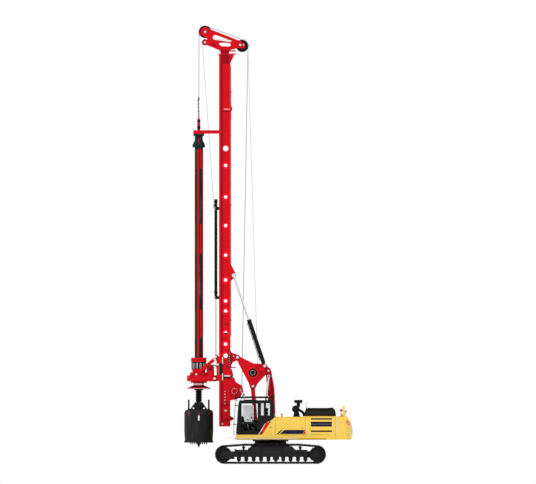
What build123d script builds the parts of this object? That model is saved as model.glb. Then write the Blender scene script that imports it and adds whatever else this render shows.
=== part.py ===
from build123d import *
import os
from math import atan2, degrees, hypot

os.makedirs("parts", exist_ok=True)

# Rotary piling rig, sizes in millimetres. +Z is up, the front of the machine points to -X and
# its left (cab) side to -Y. The origin is on the ground, on the slew axis. Side views are drawn
# on the XZ plane as (x, z); a plane offset of +y stands for the machine's left side.

pin_gap = 0.3          # running clearance on the radius of every pin, shaft and rod
track_gap = 0.8        # between the track chain and the wheels inside it
side_gap = 5           # clearance between the flanks of pieces that swing past each other
face_gap = 0.5         # sliding clearance at bearings and guides

# Crawler tracks
axle_distance = 4240   # idler shaft to sprocket shaft
track_gauge = 3500     # between the centre planes of the two tracks
wheel_height = 446     # idler and sprocket shafts above the ground
shoe_width = 700
shoe_thickness = 22
shoe_pitch = 203
grouser_height = 28
grouser_width = 30
link_height = 68
link_width = 240
run_height = 932       # outside of the shoe plates over the carrier rollers
carrier_bend = 180     # bend of the upper run over a carrier roller
carrier_x = (-1237, 1366)
carrier_radius = 75
roller_radius = 100
roller_half = 115      # half of a roller's length, between the ears of the frame
roller_count = 10
roller_inset = (196, 95)   # first and last roller from the ends of the frame's box
wheel_body_width = 200
frame_front = -axle_distance / 2 + 469     # ends of the track frame's box
frame_rear = axle_distance / 2 - 420
frame_width = 380      # track frame, across
frame_bottom = 331
frame_top = 667
frame_crown = 823
crown_x = (-900, 990)  # raised middle of the frame
frame_slots = ((-1495, -1118), (1205, 1550))
axle_blocks = ((-874, -405), (529, 994))   # front and rear axle beams: low x, high x

# Slew ring and upper frame
ring_radius = 692
ring_flange = 823
ring_base = 961
ring_top = 1118
deck_bottom = 1122
deck_top = 1352
deck_front = -1592
deck_rear = 2990
deck_half_width = 1500
deck_plate = 40
well_half_width = 540  # the open channel for the linkage, each side of the centre plane

# Superstructure
body_front = 198
body_top = 2180
weight_bottom = 1130
weight_top = 2194
weight_rear = 3781
weight_half_width = 1460
panel = 45             # thickness of doors and covers
shell_wall = 60
door_gap = 6
post_x = (1615, 1665)  # post between the two side doors

# Cab
cab_outer = deck_half_width - 30        # cab sides, distances to the left of the centre plane
cab_inner = well_half_width + 20
cab_wall = 45
cab_floor = 1366
cab_roof = 2939
cab_rear = 170

# Linkage pivots, as (x, z)
boom_foot = (69, 2201)
link_foot = (-644, 1474)
link_rise = (-175, 2100)               # foot pivot to head pivot, the same for boom and link
boom_head = (boom_foot[0] + link_rise[0], boom_foot[1] + link_rise[1])
link_head = (link_foot[0] + link_rise[0], link_foot[1] + link_rise[1])
luff_foot = (-383, 1480)
luff_head = (-83, 4043)
mast_hinge = (-1518, 4913)
mast_foot = (-271, 4513)               # foot of the mast cylinders, on the triangle
mast_eye = (-1684, 8685)               # head of the mast cylinders, on the mast
aux_winch = (-810, 4209)
mast_half_width = 300
plate_y = mast_half_width - 20         # inside of the triangle's inner plates
plate = 30
cylinder_y = plate_y + 140             # mast cylinders, each side of the centre plane
outer_plate_y = cylinder_y + 110
mast_eye_half = 75                     # half of the width of the mast cylinders' eyes
luff_y = plate_y + 120
luff_eye_half = 43
link_outer = plate_y - 26              # outside of the front link's bars
link_bar = 64

# Mast
mast_front = -2369
mast_rear = -1845
mast_bottom = 1734
mast_top = 18892
mast_wall = 16
mast_joint = 2647      # flange joint, below the mast's top
rail_depth = 106
rail_half_width = mast_half_width + 45
main_winch = (-1665, 3349)
crowd_x = -2514

# Rotary drive, kelly bar and drilling bucket
kelly_x = -3300
kelly_radius = 190
kelly_bore = 110
rib_radius = kelly_radius + 15
sleeve_bore = rib_radius + 7
drive_base = 3823
drive_top = 4071
collar_top = 4212
sleeve_radius = sleeve_bore + 18
drum_gap = 3           # clearance round the turning sleeve
skirt_radius = 557
drum_neck = sleeve_radius + 70
drum_radius = sleeve_radius + 106
kelly_head = 14568
kelly_square = 200     # stub that drives the bucket
spring_z = (2870.5, 3394.5)
spring_turns = 7
spring_radius = 155
spring_pitch = (spring_z[1] - spring_z[0]) / spring_turns
square_gap = 0.4
bucket_radius = 667
bucket_wall = 25
bucket_base = 1021
bucket_top = 2489
bucket_taper = (1490, 1090, 27)        # narrows from one height to the other, by this much
bucket_bevel = (120, 54)               # round the lid: height and depth


def loop_face(inset):
    # What the track encloses, drawn in from the outside of its shoe plates.
    for x in (-axle_distance / 2, axle_distance / 2):
        with Locations((x, wheel_height)):
            Circle(wheel_height - grouser_height - inset)
    for x in carrier_x:
        with Locations((x, run_height - carrier_bend)):
            Circle(carrier_bend - inset)
    make_hull()


def bar_face(*rounds):
    # Straight-sided outline round a row of circles, each as (x, z, radius).
    for x, z, radius in rounds:
        with Locations((x, z)):
            Circle(radius)
    make_hull()


def disc(x, z, radius):
    with Locations((x, z)):
        Circle(radius)


def block(x_low, x_high, z_low, z_high):
    with Locations(((x_low + x_high) / 2, (z_low + z_high) / 2)):
        Rectangle(x_high - x_low, z_high - z_low)


# ---------------------------------------------------------------- undercarriage
with BuildSketch() as loop_sketch:
    loop_face(0)
loop_wire = loop_sketch.sketch.faces()[0].outer_wire()
shoe_count = round(loop_wire.length / shoe_pitch)
grouser_places = []
for index in range(shoe_count):
    place = loop_wire @ (index / shoe_count)
    along = loop_wire % (index / shoe_count)
    grouser_places.append(Location((place.X, place.Y, 0), (0, 0, degrees(atan2(along.Y, along.X)))))

chain_inside = shoe_thickness + link_height
wheel_radius = wheel_height - grouser_height - chain_inside - track_gap
roller_z = grouser_height + chain_inside + track_gap + roller_radius
carrier_z = run_height - chain_inside - track_gap - carrier_radius
fork_inside = wheel_body_width / 2 + 20
idler_x = -axle_distance / 2
sprocket_x = axle_distance / 2
roller_first = frame_front + roller_inset[0]
roller_pitch = (frame_rear - roller_inset[1] - roller_first) / (roller_count - 1)
roller_x = [roller_first + roller_pitch * index for index in range(roller_count)]

for side, sign in (("left", 1), ("right", -1)):
    track_plane = Plane.XZ.offset(sign * track_gauge / 2)
    with BuildPart() as track:
        with BuildSketch(track_plane):
            loop_face(0)
        extrude(amount=shoe_width / 2, both=True)
        with BuildSketch(track_plane):
            with Locations(*grouser_places):
                Rectangle(grouser_width, 2 * grouser_height)
        extrude(amount=shoe_width / 2, both=True)
        with BuildSketch(track_plane):
            loop_face(shoe_thickness)
        extrude(amount=shoe_width, both=True, mode=Mode.SUBTRACT)
        with BuildSketch(track_plane):
            loop_face(shoe_thickness)
        extrude(amount=link_width / 2, both=True)
        with BuildSketch(track_plane):
            loop_face(chain_inside)
        extrude(amount=shoe_width, both=True, mode=Mode.SUBTRACT)
    track.part.label = "track_" + side
    export_step(track.part, "parts/track_" + side + ".step")

    with BuildPart() as track_frame:
        with BuildSketch(track_plane):
            with BuildLine():
                Polyline(
                    (frame_front, frame_bottom), (frame_front, frame_top), (crown_x[0] - 150, frame_top),
                    (crown_x[0], frame_crown), (crown_x[1], frame_crown), (crown_x[1] + 160, frame_top),
                    (frame_rear, frame_top), (frame_rear, frame_bottom), close=True,
                )
            make_face()
        extrude(amount=frame_width / 2, both=True)
        with BuildSketch(track_plane):
            block(idler_x - 120, frame_front, 235, 598)
        extrude(amount=frame_width / 2, both=True)
        with BuildSketch(track_plane):
            block(idler_x - 121, idler_x + wheel_radius + 25, 234, 599)
        extrude(amount=fork_inside, both=True, mode=Mode.SUBTRACT)
        # the final drive is carried on the inner cheek alone
        with BuildSketch(Plane.XZ.offset(sign * (track_gauge / 2 - frame_width / 2 + 35))):
            block(frame_rear - 1, sprocket_x + 120, 300, 600)
        extrude(amount=35, both=True)
        with BuildSketch(track_plane):
            for low, high in axle_blocks:
                block(low, high, frame_bottom + 9, frame_crown + 7)
        extrude(amount=frame_width / 2 + 25, both=True)
        with BuildSketch(track_plane):
            for x in roller_x:
                block(x - 50, x + 50, roller_z - 50, frame_bottom)
            for x in carrier_x:
                block(x - 45, x + 45, frame_top, carrier_z + 40)
        extrude(amount=165, both=True)
        with BuildSketch(track_plane):
            for x in roller_x:
                block(x - roller_radius - 8, x + roller_radius + 8, 100, frame_bottom)
            for x in carrier_x:
                block(x - 90, x + 90, frame_top, frame_crown + 60)
        extrude(amount=roller_half + pin_gap, both=True, mode=Mode.SUBTRACT)
        with BuildSketch(track_plane):
            disc(idler_x, wheel_height, 60 + pin_gap)
            disc(sprocket_x, wheel_height, 90 + pin_gap)
        extrude(amount=frame_width, both=True, mode=Mode.SUBTRACT)
        for face_y in (-frame_width / 2, frame_width / 2 - 60):
            with BuildSketch(Plane.XZ.offset(sign * track_gauge / 2 + face_y)):
                for x_low, x_high in frame_slots:
                    block(x_low, x_high, 423, 538)
            extrude(amount=60, mode=Mode.SUBTRACT)
    track_frame.part.label = "track_frame_" + side
    export_step(track_frame.part, "parts/track_frame_" + side + ".step")

with BuildPart() as track_rollers:
    for sign in (1, -1):
        with BuildSketch(Plane.XZ.offset(sign * track_gauge / 2)):
            for x in roller_x:
                disc(x, roller_z, roller_radius)
            for x in carrier_x:
                disc(x, carrier_z, carrier_radius)
        extrude(amount=roller_half, both=True)
track_rollers.part.label = "track_rollers"
export_step(track_rollers.part, "parts/track_rollers.step")

with BuildPart() as track_wheels:
    for sign in (1, -1):
        wheel_plane = Plane.XZ.offset(sign * track_gauge / 2)
        with BuildSketch(wheel_plane):
            disc(idler_x, wheel_height, wheel_radius)
            disc(sprocket_x, wheel_height, wheel_radius)
        extrude(amount=wheel_body_width / 2, both=True)
        with BuildSketch(wheel_plane):
            disc(idler_x, wheel_height, 60)
        extrude(amount=frame_width / 2, both=True)
        # drive hub outside, its shaft through the inner cheek
        with BuildSketch(wheel_plane):
            disc(sprocket_x, wheel_height, 175)
        extrude(amount=sign * 190)
        with BuildSketch(wheel_plane):
            disc(sprocket_x, wheel_height, 90)
        extrude(amount=-sign * 220)
track_wheels.part.label = "track_wheels"
export_step(track_wheels.part, "parts/track_wheels.step")

frame_inner_y = track_gauge / 2 - frame_width / 2 - 25
car_body_half = 1030
tow_eye = 35
tow_eye_x = 1123
tow_eye_z = 560
tow_lug = 40           # half of the lug's thickness
with BuildPart() as car_body:
    with BuildSketch(Plane.XY.offset(420)):
        Rectangle(2 * car_body_half, 1500)
        for low, high in axle_blocks:
            with Locations(((low + high) / 2, 0)):
                Rectangle(high - low - 40, 2 * frame_inner_y)
    extrude(amount=340)
    with BuildSketch(Plane.XY.offset(760)):
        Circle(ring_radius + 68)
    extrude(amount=ring_base - 760)
    # towing lugs, for an upright pin
    for sign in (-1, 1):
        with BuildSketch(Plane.XY.offset(tow_eye_z)):
            bar_face(
                (sign * tow_eye_x, 0, 2 * tow_eye),
                (sign * (car_body_half - 40), -90, 60),
                (sign * (car_body_half - 40), 90, 60),
            )
        extrude(amount=tow_lug, both=True)
        with BuildSketch(Plane.XY.offset(tow_eye_z)):
            disc(sign * tow_eye_x, 0, tow_eye)
        extrude(amount=tow_lug, both=True, mode=Mode.SUBTRACT)
car_body.part.label = "car_body"
export_step(car_body.part, "parts/car_body.step")

with BuildPart() as slew_ring:
    with BuildSketch(Plane.XZ):
        with BuildLine():
            Polyline(
                (480, ring_base), (ring_radius, ring_base), (ring_radius, ring_top - 51),
                (ring_flange, ring_top - 51), (ring_flange, ring_top), (480, ring_top), close=True,
            )
        make_face()
    revolve(axis=Axis.Z)
slew_ring.part.label = "slew_ring"
export_step(slew_ring.part, "parts/slew_ring.step")

# ---------------------------------------------------------------- upper frame
boom_ear_y = (200, 250)
link_ear_y = (link_outer + 11, link_outer + 56)
luff_ear_y = ((luff_y - 75, luff_y - 50), (luff_y + 50, luff_y + 75))
boom_pin = 70
link_pin = 55
luff_pin = 45
with BuildPart() as deck_frame:
    with BuildSketch(Plane.XY.offset(deck_bottom)):
        with Locations(((deck_front + deck_rear) / 2, 0)):
            Rectangle(deck_rear - deck_front, 2 * deck_half_width)
    extrude(amount=deck_top - deck_bottom)
    # open bays underneath, between the webs
    bay_long = (deck_rear - deck_front) / 4
    with BuildSketch(Plane.XY.offset(deck_bottom)):
        with Locations(((deck_front + deck_rear) / 2, 0)):
            with GridLocations(bay_long, 1000, 4, 3):
                Rectangle(bay_long - 50, 930)
    extrude(amount=deck_top - deck_bottom - deck_plate, mode=Mode.SUBTRACT)
    with BuildSketch(Plane.XY.offset(ring_top + face_gap)):
        Circle(ring_flange)
        Circle(420, mode=Mode.SUBTRACT)
    extrude(amount=deck_top - ring_top - face_gap - 10)
deck_frame.part.label = "deck_frame"
export_step(deck_frame.part, "parts/deck_frame.step")

bracket_plate = 12
bracket_top = deck_top + bracket_plate
# ears of each link: distances from the centre plane, then rounds (x, z, radius) of the outline
linkage_ears = (
    (boom_ear_y, (boom_foot[0], boom_foot[1], 165), (-220, bracket_top, 20), (520, bracket_top, 20)),
    (link_ear_y, (link_foot[0], link_foot[1], 105), (-790, bracket_top, 20), (-500, bracket_top, 20)),
    (luff_ear_y[0], (luff_foot[0], luff_foot[1], 95), (-470, bracket_top, 20), (-260, bracket_top, 20)),
    (luff_ear_y[1], (luff_foot[0], luff_foot[1], 95), (-470, bracket_top, 20), (-260, bracket_top, 20)),
)
with BuildPart() as linkage_bracket:
    with BuildSketch(Plane.XY.offset(deck_top)):
        with Locations((-325, 0)):
            Rectangle(990, 2 * (luff_ear_y[1][1] + 20))
        with Locations((160, 0)):
            Rectangle(780, 2 * (boom_ear_y[1] + 30))
    extrude(amount=bracket_plate)
    for sign in (1, -1):
        for ear_y, eye, front, rear in linkage_ears:
            with BuildSketch(Plane.XZ.offset(sign * sum(ear_y) / 2)):
                bar_face(eye, front, rear)
                with Locations((0, bracket_top - 100)):
                    Rectangle(3000, 200, mode=Mode.SUBTRACT)
            extrude(amount=(ear_y[1] - ear_y[0]) / 2, both=True)
        with BuildSketch(Plane.XZ.offset(sign * luff_y)):
            disc(luff_foot[0], luff_foot[1], luff_pin)
        extrude(amount=75, both=True)
    with BuildSketch(Plane.XZ):
        disc(boom_foot[0], boom_foot[1], boom_pin)
    extrude(amount=boom_ear_y[1] + 15, both=True)
    with BuildSketch(Plane.XZ):
        disc(link_foot[0], link_foot[1], link_pin)
    extrude(amount=link_ear_y[1] + 10, both=True)
linkage_bracket.part.label = "linkage_bracket"
export_step(linkage_bracket.part, "parts/linkage_bracket.step")

# ---------------------------------------------------------------- cab
hinge_radius = 14
knuckle = 40
cab_hinge = (-506, cab_outer + 32)      # x and distance to the left of the door's hinge line
cab_hinge_z = (1560, 2700)
cab_middle = (cab_outer + cab_inner) / 2
cab_half = (cab_outer - cab_inner) / 2
cab_outline = ((-1573, cab_floor), (-1458, 2884), (-1380, cab_roof), (cab_rear - 60, cab_roof),
               (cab_rear, 2880), (cab_rear, cab_floor))
door_outline = ((-1450, 1430), (-1385, 2850), (-520, 2850), (-520, 1430))
door_windows = (((-1352, 1950), (-1330, 2790), (-590, 2790), (-590, 1950)),
                ((-1375, 1520), (-1362, 1850), (-590, 1850), (-590, 1520)))
# side windows on the wall: x low, x high, z low, z high
outer_windows = ((-437, -313, 2250, 2806), (-205, -32, 2240, 2806))
inner_windows = ((-1330, -560, 1900, 2800), (-430, 50, 1950, 2800))
# windows across the cab: height low, height high, half of the width
front_windows = ((2010, 2800, 385), (1480, 1930, 385))
rear_window = (1950, 2780, 370)
with BuildPart() as cab_shell:
    with BuildSketch(Plane.XZ.offset(cab_middle)):
        with BuildLine():
            Polyline(*cab_outline, close=True)
        make_face()
    extrude(amount=cab_half, both=True)
    with BuildSketch(Plane.XZ.offset(cab_middle)):
        with BuildLine():
            Polyline(*cab_outline, close=True)
        make_face()
        offset(amount=-cab_wall, kind=Kind.INTERSECTION, mode=Mode.REPLACE)
    extrude(amount=cab_half - cab_wall, both=True, mode=Mode.SUBTRACT)
    with BuildSketch(Plane.XZ.offset(cab_outer - cab_wall - 1)):
        with BuildLine():
            Polyline(*door_outline, close=True)
        make_face()
        offset(amount=door_gap, kind=Kind.INTERSECTION, mode=Mode.REPLACE)
        for x_low, x_high, z_low, z_high in outer_windows:
            block(x_low, x_high, z_low, z_high)
    extrude(amount=cab_wall + 2, mode=Mode.SUBTRACT)
    with BuildSketch(Plane.XZ.offset(cab_inner - 1)):
        for x_low, x_high, z_low, z_high in inner_windows:
            block(x_low, x_high, z_low, z_high)
    extrude(amount=cab_wall + 2, mode=Mode.SUBTRACT)
    with BuildSketch(Plane.YZ.offset(-1650)):
        for z_low, z_high, half in front_windows:
            block(-cab_middle - half, -cab_middle + half, z_low, z_high)
    extrude(amount=300, mode=Mode.SUBTRACT)
    with BuildSketch(Plane.YZ.offset(cab_rear - cab_wall - 1)):
        block(-cab_middle - rear_window[2], -cab_middle + rear_window[2], *rear_window[:2])
    extrude(amount=cab_wall + 2, mode=Mode.SUBTRACT)
    # rubber-mount feet on the deck
    with BuildSketch(Plane.XY.offset(deck_top)):
        with Locations((-700, -cab_middle)):
            with GridLocations(1400, 700, 2, 2):
                Circle(60)
    extrude(amount=cab_floor - deck_top)
    # lift-off hinges: a knuckle under each of the door's
    for z in cab_hinge_z:
        with BuildSketch(Plane.XY.offset(z - knuckle - face_gap)):
            with Locations((cab_hinge[0], -cab_hinge[1])):
                Circle(hinge_radius)
            with Locations((cab_hinge[0] + 14, -cab_hinge[1] + 17)):
                Rectangle(28, 34)
        extrude(amount=knuckle)
cab_shell.part.label = "cab_shell"
export_step(cab_shell.part, "parts/cab_shell.step")

pane = 6
with BuildPart() as cab_glass:
    with BuildSketch(Plane.XZ.offset(cab_outer - cab_wall / 2)):
        for x_low, x_high, z_low, z_high in outer_windows:
            block(x_low, x_high, z_low, z_high)
    extrude(amount=pane)
    with BuildSketch(Plane.XZ.offset(cab_inner + cab_wall / 2)):
        for x_low, x_high, z_low, z_high in inner_windows:
            block(x_low, x_high, z_low, z_high)
    extrude(amount=pane)
    lean = (cab_outline[1][0] - cab_outline[0][0]) / (cab_outline[1][1] - cab_floor)
    with BuildSketch(Plane.XZ.offset(cab_middle)):
        for z_low, z_high, half in front_windows:
            x_low = cab_outline[0][0] + lean * (z_low - cab_floor) + cab_wall / 2
            x_high = cab_outline[0][0] + lean * (z_high - cab_floor) + cab_wall / 2
            with BuildLine():
                Polyline((x_low, z_low), (x_high, z_high), (x_high + pane, z_high),
                         (x_low + pane, z_low), close=True)
            make_face()
    extrude(amount=front_windows[0][2], both=True)
    with BuildSketch(Plane.YZ.offset(cab_rear - cab_wall / 2)):
        block(-cab_middle - rear_window[2], -cab_middle + rear_window[2], *rear_window[:2])
    extrude(amount=pane)
cab_glass.part.label = "cab_glass"
export_step(cab_glass.part, "parts/cab_glass.step")

with BuildPart() as cab_door:
    with BuildSketch(Plane.XZ.offset(cab_outer - cab_wall)):
        with BuildLine():
            Polyline(*door_outline, close=True)
        make_face()
        for window in door_windows:
            with BuildLine():
                Polyline(*window, close=True)
            make_face(mode=Mode.SUBTRACT)
    extrude(amount=cab_wall + 10)
    for z in cab_hinge_z:
        with BuildSketch(Plane.XY.offset(z)):
            with Locations((cab_hinge[0], -cab_hinge[1])):
                Circle(hinge_radius)
            with Locations((cab_hinge[0] - 22, -cab_hinge[1] + 12)):
                Rectangle(36, 30)
        extrude(amount=knuckle)
cab_door.part.label = "cab_door"
export_step(cab_door.part, "parts/cab_door.step")

with BuildPart() as cab_door_glass:
    with BuildSketch(Plane.XZ.offset(cab_outer - cab_wall / 2)):
        for window in door_windows:
            with BuildLine():
                Polyline(*window, close=True)
            make_face()
    extrude(amount=pane)
cab_door_glass.part.label = "cab_door_glass"
export_step(cab_door_glass.part, "parts/cab_door_glass.step")

guard_z = 3073
guard_bar = 22
with BuildPart() as roof_guard:
    for y in (cab_inner + 30, cab_outer - 30):
        with BuildSketch(Plane.XZ.offset(y)):
            block(-1661, 193, guard_z - guard_bar, guard_z + guard_bar)
            for x in (-1214, -216, -69):
                block(x - 20, x + 20, cab_roof, guard_z)
        extrude(amount=guard_bar, both=True)
    with BuildSketch(Plane.XY.offset(guard_z - guard_bar)):
        for x in range(-1639, 193, 131):
            with Locations((x, -cab_middle)):
                Rectangle(30, cab_outer - cab_inner - 60)
    extrude(amount=2 * guard_bar)
roof_guard.part.label = "roof_guard"
export_step(roof_guard.part, "parts/roof_guard.step")

with BuildPart() as operator_seat:
    with BuildSketch(Plane.XZ.offset(cab_middle)):
        with BuildLine():
            Polyline((-760, 1720), (-760, 1850), (-320, 1830), (-190, 2560), (-60, 2540),
                     (-200, 1700), close=True)
        make_face()
    extrude(amount=250, both=True)
    fillet(operator_seat.edges().filter_by(Axis.Y), 30)
    with BuildSketch(Plane.XY.offset(cab_floor + cab_wall)):
        with Locations((-450, -cab_middle)):
            Rectangle(380, 380)
    extrude(amount=1705 - cab_floor - cab_wall)
operator_seat.part.label = "operator_seat"
export_step(operator_seat.part, "parts/operator_seat.step")

with BuildPart() as control_console:
    for y in (cab_middle - 340, cab_middle + 340):
        with BuildSketch(Plane.XZ.offset(y)):
            block(-800, -300, cab_floor + cab_wall, 1960)
        extrude(amount=60, both=True)
        with BuildSketch(Plane.XY.offset(1960)):
            with Locations((-740, -y)):
                Circle(22)
        extrude(amount=170)
control_console.part.label = "control_console"
export_step(control_console.part, "parts/control_console.step")

# ---------------------------------------------------------------- superstructure
left_doors = (("service_door_left", body_front + 30, post_x[0]), ("radiator_door_left", post_x[1], 2975))
right_doors = (("pump_door_right", post_x[1], 2975),)
door_z = (deck_top + 30, body_top - 30)
door_hinge_z = (door_z[0] + 120, door_z[1] - 160)
hinge_proud = 20
hood = (1559, 3013, 2217, 2576)         # x low, x high, z low, z high
hood_half = 1050
panel_slant = ((-543, 1371), (-69, 1950), (193, 2144), (body_front, 2144), (body_front, deck_top),
               (-543, deck_top))
hood_hinge = (3012, 2212)              # hinge line across the machine, as (x, z)
hood_knuckle = 11
hood_leaf = (669.5, 730, 790.5)        # knuckles to each side: hood, housing, hood
leaf_half = 29
with BuildPart() as engine_housing:
    with BuildSketch(Plane.XY.offset(deck_top)):
        with Locations(((body_front + deck_rear) / 2, 0)):
            Rectangle(deck_rear - body_front, 2 * deck_half_width)
    extrude(amount=body_top - deck_top)
    with BuildSketch(Plane.XY.offset(deck_top)):
        with Locations(((body_front + deck_rear) / 2, 0)):
            Rectangle(deck_rear - body_front - 2 * shell_wall, 2 * (deck_half_width - shell_wall))
    extrude(amount=body_top - deck_top - shell_wall, mode=Mode.SUBTRACT)
    for sign, doors in ((1, left_doors), (-1, right_doors)):
        for name, low, high in doors:
            with BuildSketch(Plane.XZ.offset(sign * (deck_half_width - shell_wall / 2))):
                block(low - door_gap, high + door_gap, door_z[0] - door_gap, door_z[1] + door_gap)
            extrude(amount=shell_wall, both=True, mode=Mode.SUBTRACT)
            for z in door_hinge_z:
                with BuildSketch(Plane.XY.offset(z - knuckle - face_gap)):
                    with Locations((high - 6, -sign * (deck_half_width + hinge_proud))):
                        Circle(hinge_radius)
                    with Locations((high + 12, -sign * (deck_half_width + 5))):
                        Rectangle(18, 38)
                extrude(amount=knuckle)
    # engine bay, open under the hood, with a raised edge round it
    with BuildSketch(Plane.XY.offset(body_top)):
        with Locations(((hood[0] + hood[1]) / 2 - 13, 0)):
            Rectangle(hood[1] - hood[0] - 60, 2 * hood_half - 30)
            Rectangle(hood[1] - hood[0] - 120, 2 * hood_half - 90, mode=Mode.SUBTRACT)
    extrude(amount=hood[2] - body_top - face_gap)
    with BuildSketch(Plane.XY.offset(body_top - shell_wall)):
        with Locations((2286, 0)):
            Rectangle(1200, 1800)
    extrude(amount=shell_wall, mode=Mode.SUBTRACT)
    for sign in (1, -1):
        with BuildSketch(Plane.XZ.offset(sign * hood_leaf[1])):
            disc(*hood_hinge, hood_knuckle)
            block(deck_rear - 40, hood_hinge[0], weight_top + 8, hood[2] - 1)
        extrude(amount=leaf_half, both=True)
    # room for the foot of the boom
    with BuildSketch(Plane.XZ):
        block(body_front - 1, 640, deck_top, body_top)
    extrude(amount=330, both=True, mode=Mode.SUBTRACT)
engine_housing.part.label = "engine_housing"
export_step(engine_housing.part, "parts/engine_housing.step")

with BuildPart() as side_panel:
    with BuildSketch(Plane.XZ.offset(deck_half_width - 25)):
        with BuildLine():
            Polyline(*panel_slant, close=True)
        make_face()
        disc(0, 1665, 45)
    extrude(amount=25)
side_panel.part.label = "side_panel"
export_step(side_panel.part, "parts/side_panel.step")

for sign, doors in ((1, left_doors), (-1, right_doors)):
    for name, low, high in doors:
        with BuildPart() as service_door:
            with BuildSketch(Plane.XZ.offset(sign * (deck_half_width - panel / 2))):
                block(low, high, *door_z)
            extrude(amount=panel / 2, both=True)
            for z in door_hinge_z:
                with BuildSketch(Plane.XY.offset(z)):
                    with Locations((high - 6, -sign * (deck_half_width + hinge_proud))):
                        Circle(hinge_radius)
                    with Locations((high - 22, -sign * (deck_half_width + 8))):
                        Rectangle(30, 24)
                extrude(amount=knuckle)
            if name != "service_door_left":
                with BuildSketch(Plane.XZ.offset(sign * deck_half_width)):
                    for z_low, z_high in ((1481, 1555), (1730, 1955), (2047, 2116)):
                        block(1854, 2829, z_low, z_high)
                extrude(amount=-sign * 25, mode=Mode.SUBTRACT)
        service_door.part.label = name
        export_step(service_door.part, "parts/" + name + ".step")

with BuildPart() as engine_hood:
    with BuildSketch(Plane.XZ):
        with BuildLine():
            Polyline((1559, 2217), (1559, 2380), (1680, 2576), (2850, 2576), (2960, 2520), (3013, 2400),
                     (3013, 2217), close=True)
        make_face()
    extrude(amount=hood_half, both=True)
    fillet(engine_hood.edges().filter_by(Axis.X).group_by(Axis.Z)[-1], 60)
    with BuildSketch(Plane.XZ):
        with BuildLine():
            Polyline((1599, 2217), (1599, 2365), (1700, 2536), (2830, 2536), (2930, 2490), (2973, 2385),
                     (2973, 2217), close=True)
        make_face()
    extrude(amount=hood_half - 40, both=True, mode=Mode.SUBTRACT)
    with BuildSketch(Plane.XY.offset(2560)):
        with Locations((1740, 400)):
            Circle(25)
    extrude(amount=347)
    for sign in (1, -1):
        with BuildSketch(Plane.XZ.offset(sign * hood_leaf[1])):
            block(2972, 3014, 2216, hood_hinge[1] + hood_knuckle + 3)
        extrude(amount=leaf_half + 1.5, both=True, mode=Mode.SUBTRACT)
        for y in (hood_leaf[0], hood_leaf[2]):
            with BuildSketch(Plane.XZ.offset(sign * y)):
                disc(*hood_hinge, hood_knuckle)
            extrude(amount=leaf_half, both=True)
engine_hood.part.label = "engine_hood"
export_step(engine_hood.part, "parts/engine_hood.step")

with BuildPart() as engine_block:
    with BuildSketch(Plane.XY.offset(deck_top)):
        with Locations((2286, 0)):
            Rectangle(900, 900)
    extrude(amount=1000)
engine_block.part.label = "engine_block"
export_step(engine_block.part, "parts/engine_block.step")

with BuildPart() as air_cleaner:
    with BuildSketch(Plane.XZ.offset(500)):
        with BuildLine():
            Polyline((1035, body_top), (1375, body_top), (1290, 2420), (1100, 2420), close=True)
        make_face()
    extrude(amount=200, both=True)
    with BuildSketch(Plane.XZ.offset(500)):
        disc(1164, 2535, 166)
    extrude(amount=300, both=True)
    with BuildSketch(Plane.XY.offset(2640)):
        with Locations((1283, -500)):
            Circle(79)
    extrude(amount=180)
    with BuildSketch(Plane.XY.offset(2815)):
        with Locations((1283, -500)):
            Circle(184)
    extrude(amount=143)
    with BuildSketch(Plane.XY.offset(2580)):
        with Locations((1250, -500)):
            Rectangle(150, 200)
    extrude(amount=80)
air_cleaner.part.label = "air_cleaner"
export_step(air_cleaner.part, "parts/air_cleaner.step")

with BuildPart() as fuel_tank:
    with BuildSketch(Plane.XZ.offset(-1050)):
        with BuildLine():
            Polyline((-1500, deck_top), (-1500, 1700), (-760, 1700), (-760, 2060), (-720, 2120),
                     (body_front, 2120), (body_front, deck_top), close=True)
        make_face()
    extrude(amount=430, both=True)
    fillet(fuel_tank.edges().filter_by(Axis.Z), 40)
fuel_tank.part.label = "fuel_tank"
export_step(fuel_tank.part, "parts/fuel_tank.step")

lifting_bore = 45
lifting_x = 3200
lifting_y = 900
with BuildPart() as counterweight:
    with BuildSketch(Plane.XZ):
        with BuildLine():
            Polyline((deck_rear, weight_bottom), (3698, weight_bottom), (weight_rear, 1334), (3754, 1707),
                     (3675, 1996), (3514, weight_top), (deck_rear, weight_top), close=True)
        make_face()
    extrude(amount=weight_half_width, both=True)
    with BuildSketch(Plane.XY.offset(weight_bottom)):
        with Locations((0, 0)):
            Circle(weight_rear)
        with Locations((weight_rear / 2, 0)):
            Rectangle(2 * weight_rear, 2 * weight_half_width, mode=Mode.INTERSECT)
    extrude(amount=weight_top - weight_bottom, mode=Mode.INTERSECT)
    # rods for lifting the weight off pass right through it
    with BuildSketch(Plane.XY.offset(weight_bottom)):
        with Locations((lifting_x, -lifting_y), (lifting_x, lifting_y)):
            Circle(lifting_bore)
    extrude(amount=weight_top - weight_bottom, mode=Mode.SUBTRACT)
counterweight.part.label = "counterweight"
export_step(counterweight.part, "parts/counterweight.step")

with BuildPart() as rear_post:
    with BuildSketch(Plane.XY.offset(weight_top)):
        with Locations((3376, -1150)):
            Rectangle(92, 92)
    extrude(amount=488)
    with BuildSketch(Plane.XY.offset(2440)):
        with Locations((3300, -1150)):
            Rectangle(120, 40)
    extrude(amount=30)
    with BuildSketch(Plane.XY.offset(2440)):
        with Locations((3258, -1150)):
            Circle(55)
    extrude(amount=90)
rear_post.part.label = "rear_post"
export_step(rear_post.part, "parts/rear_post.step")

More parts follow.
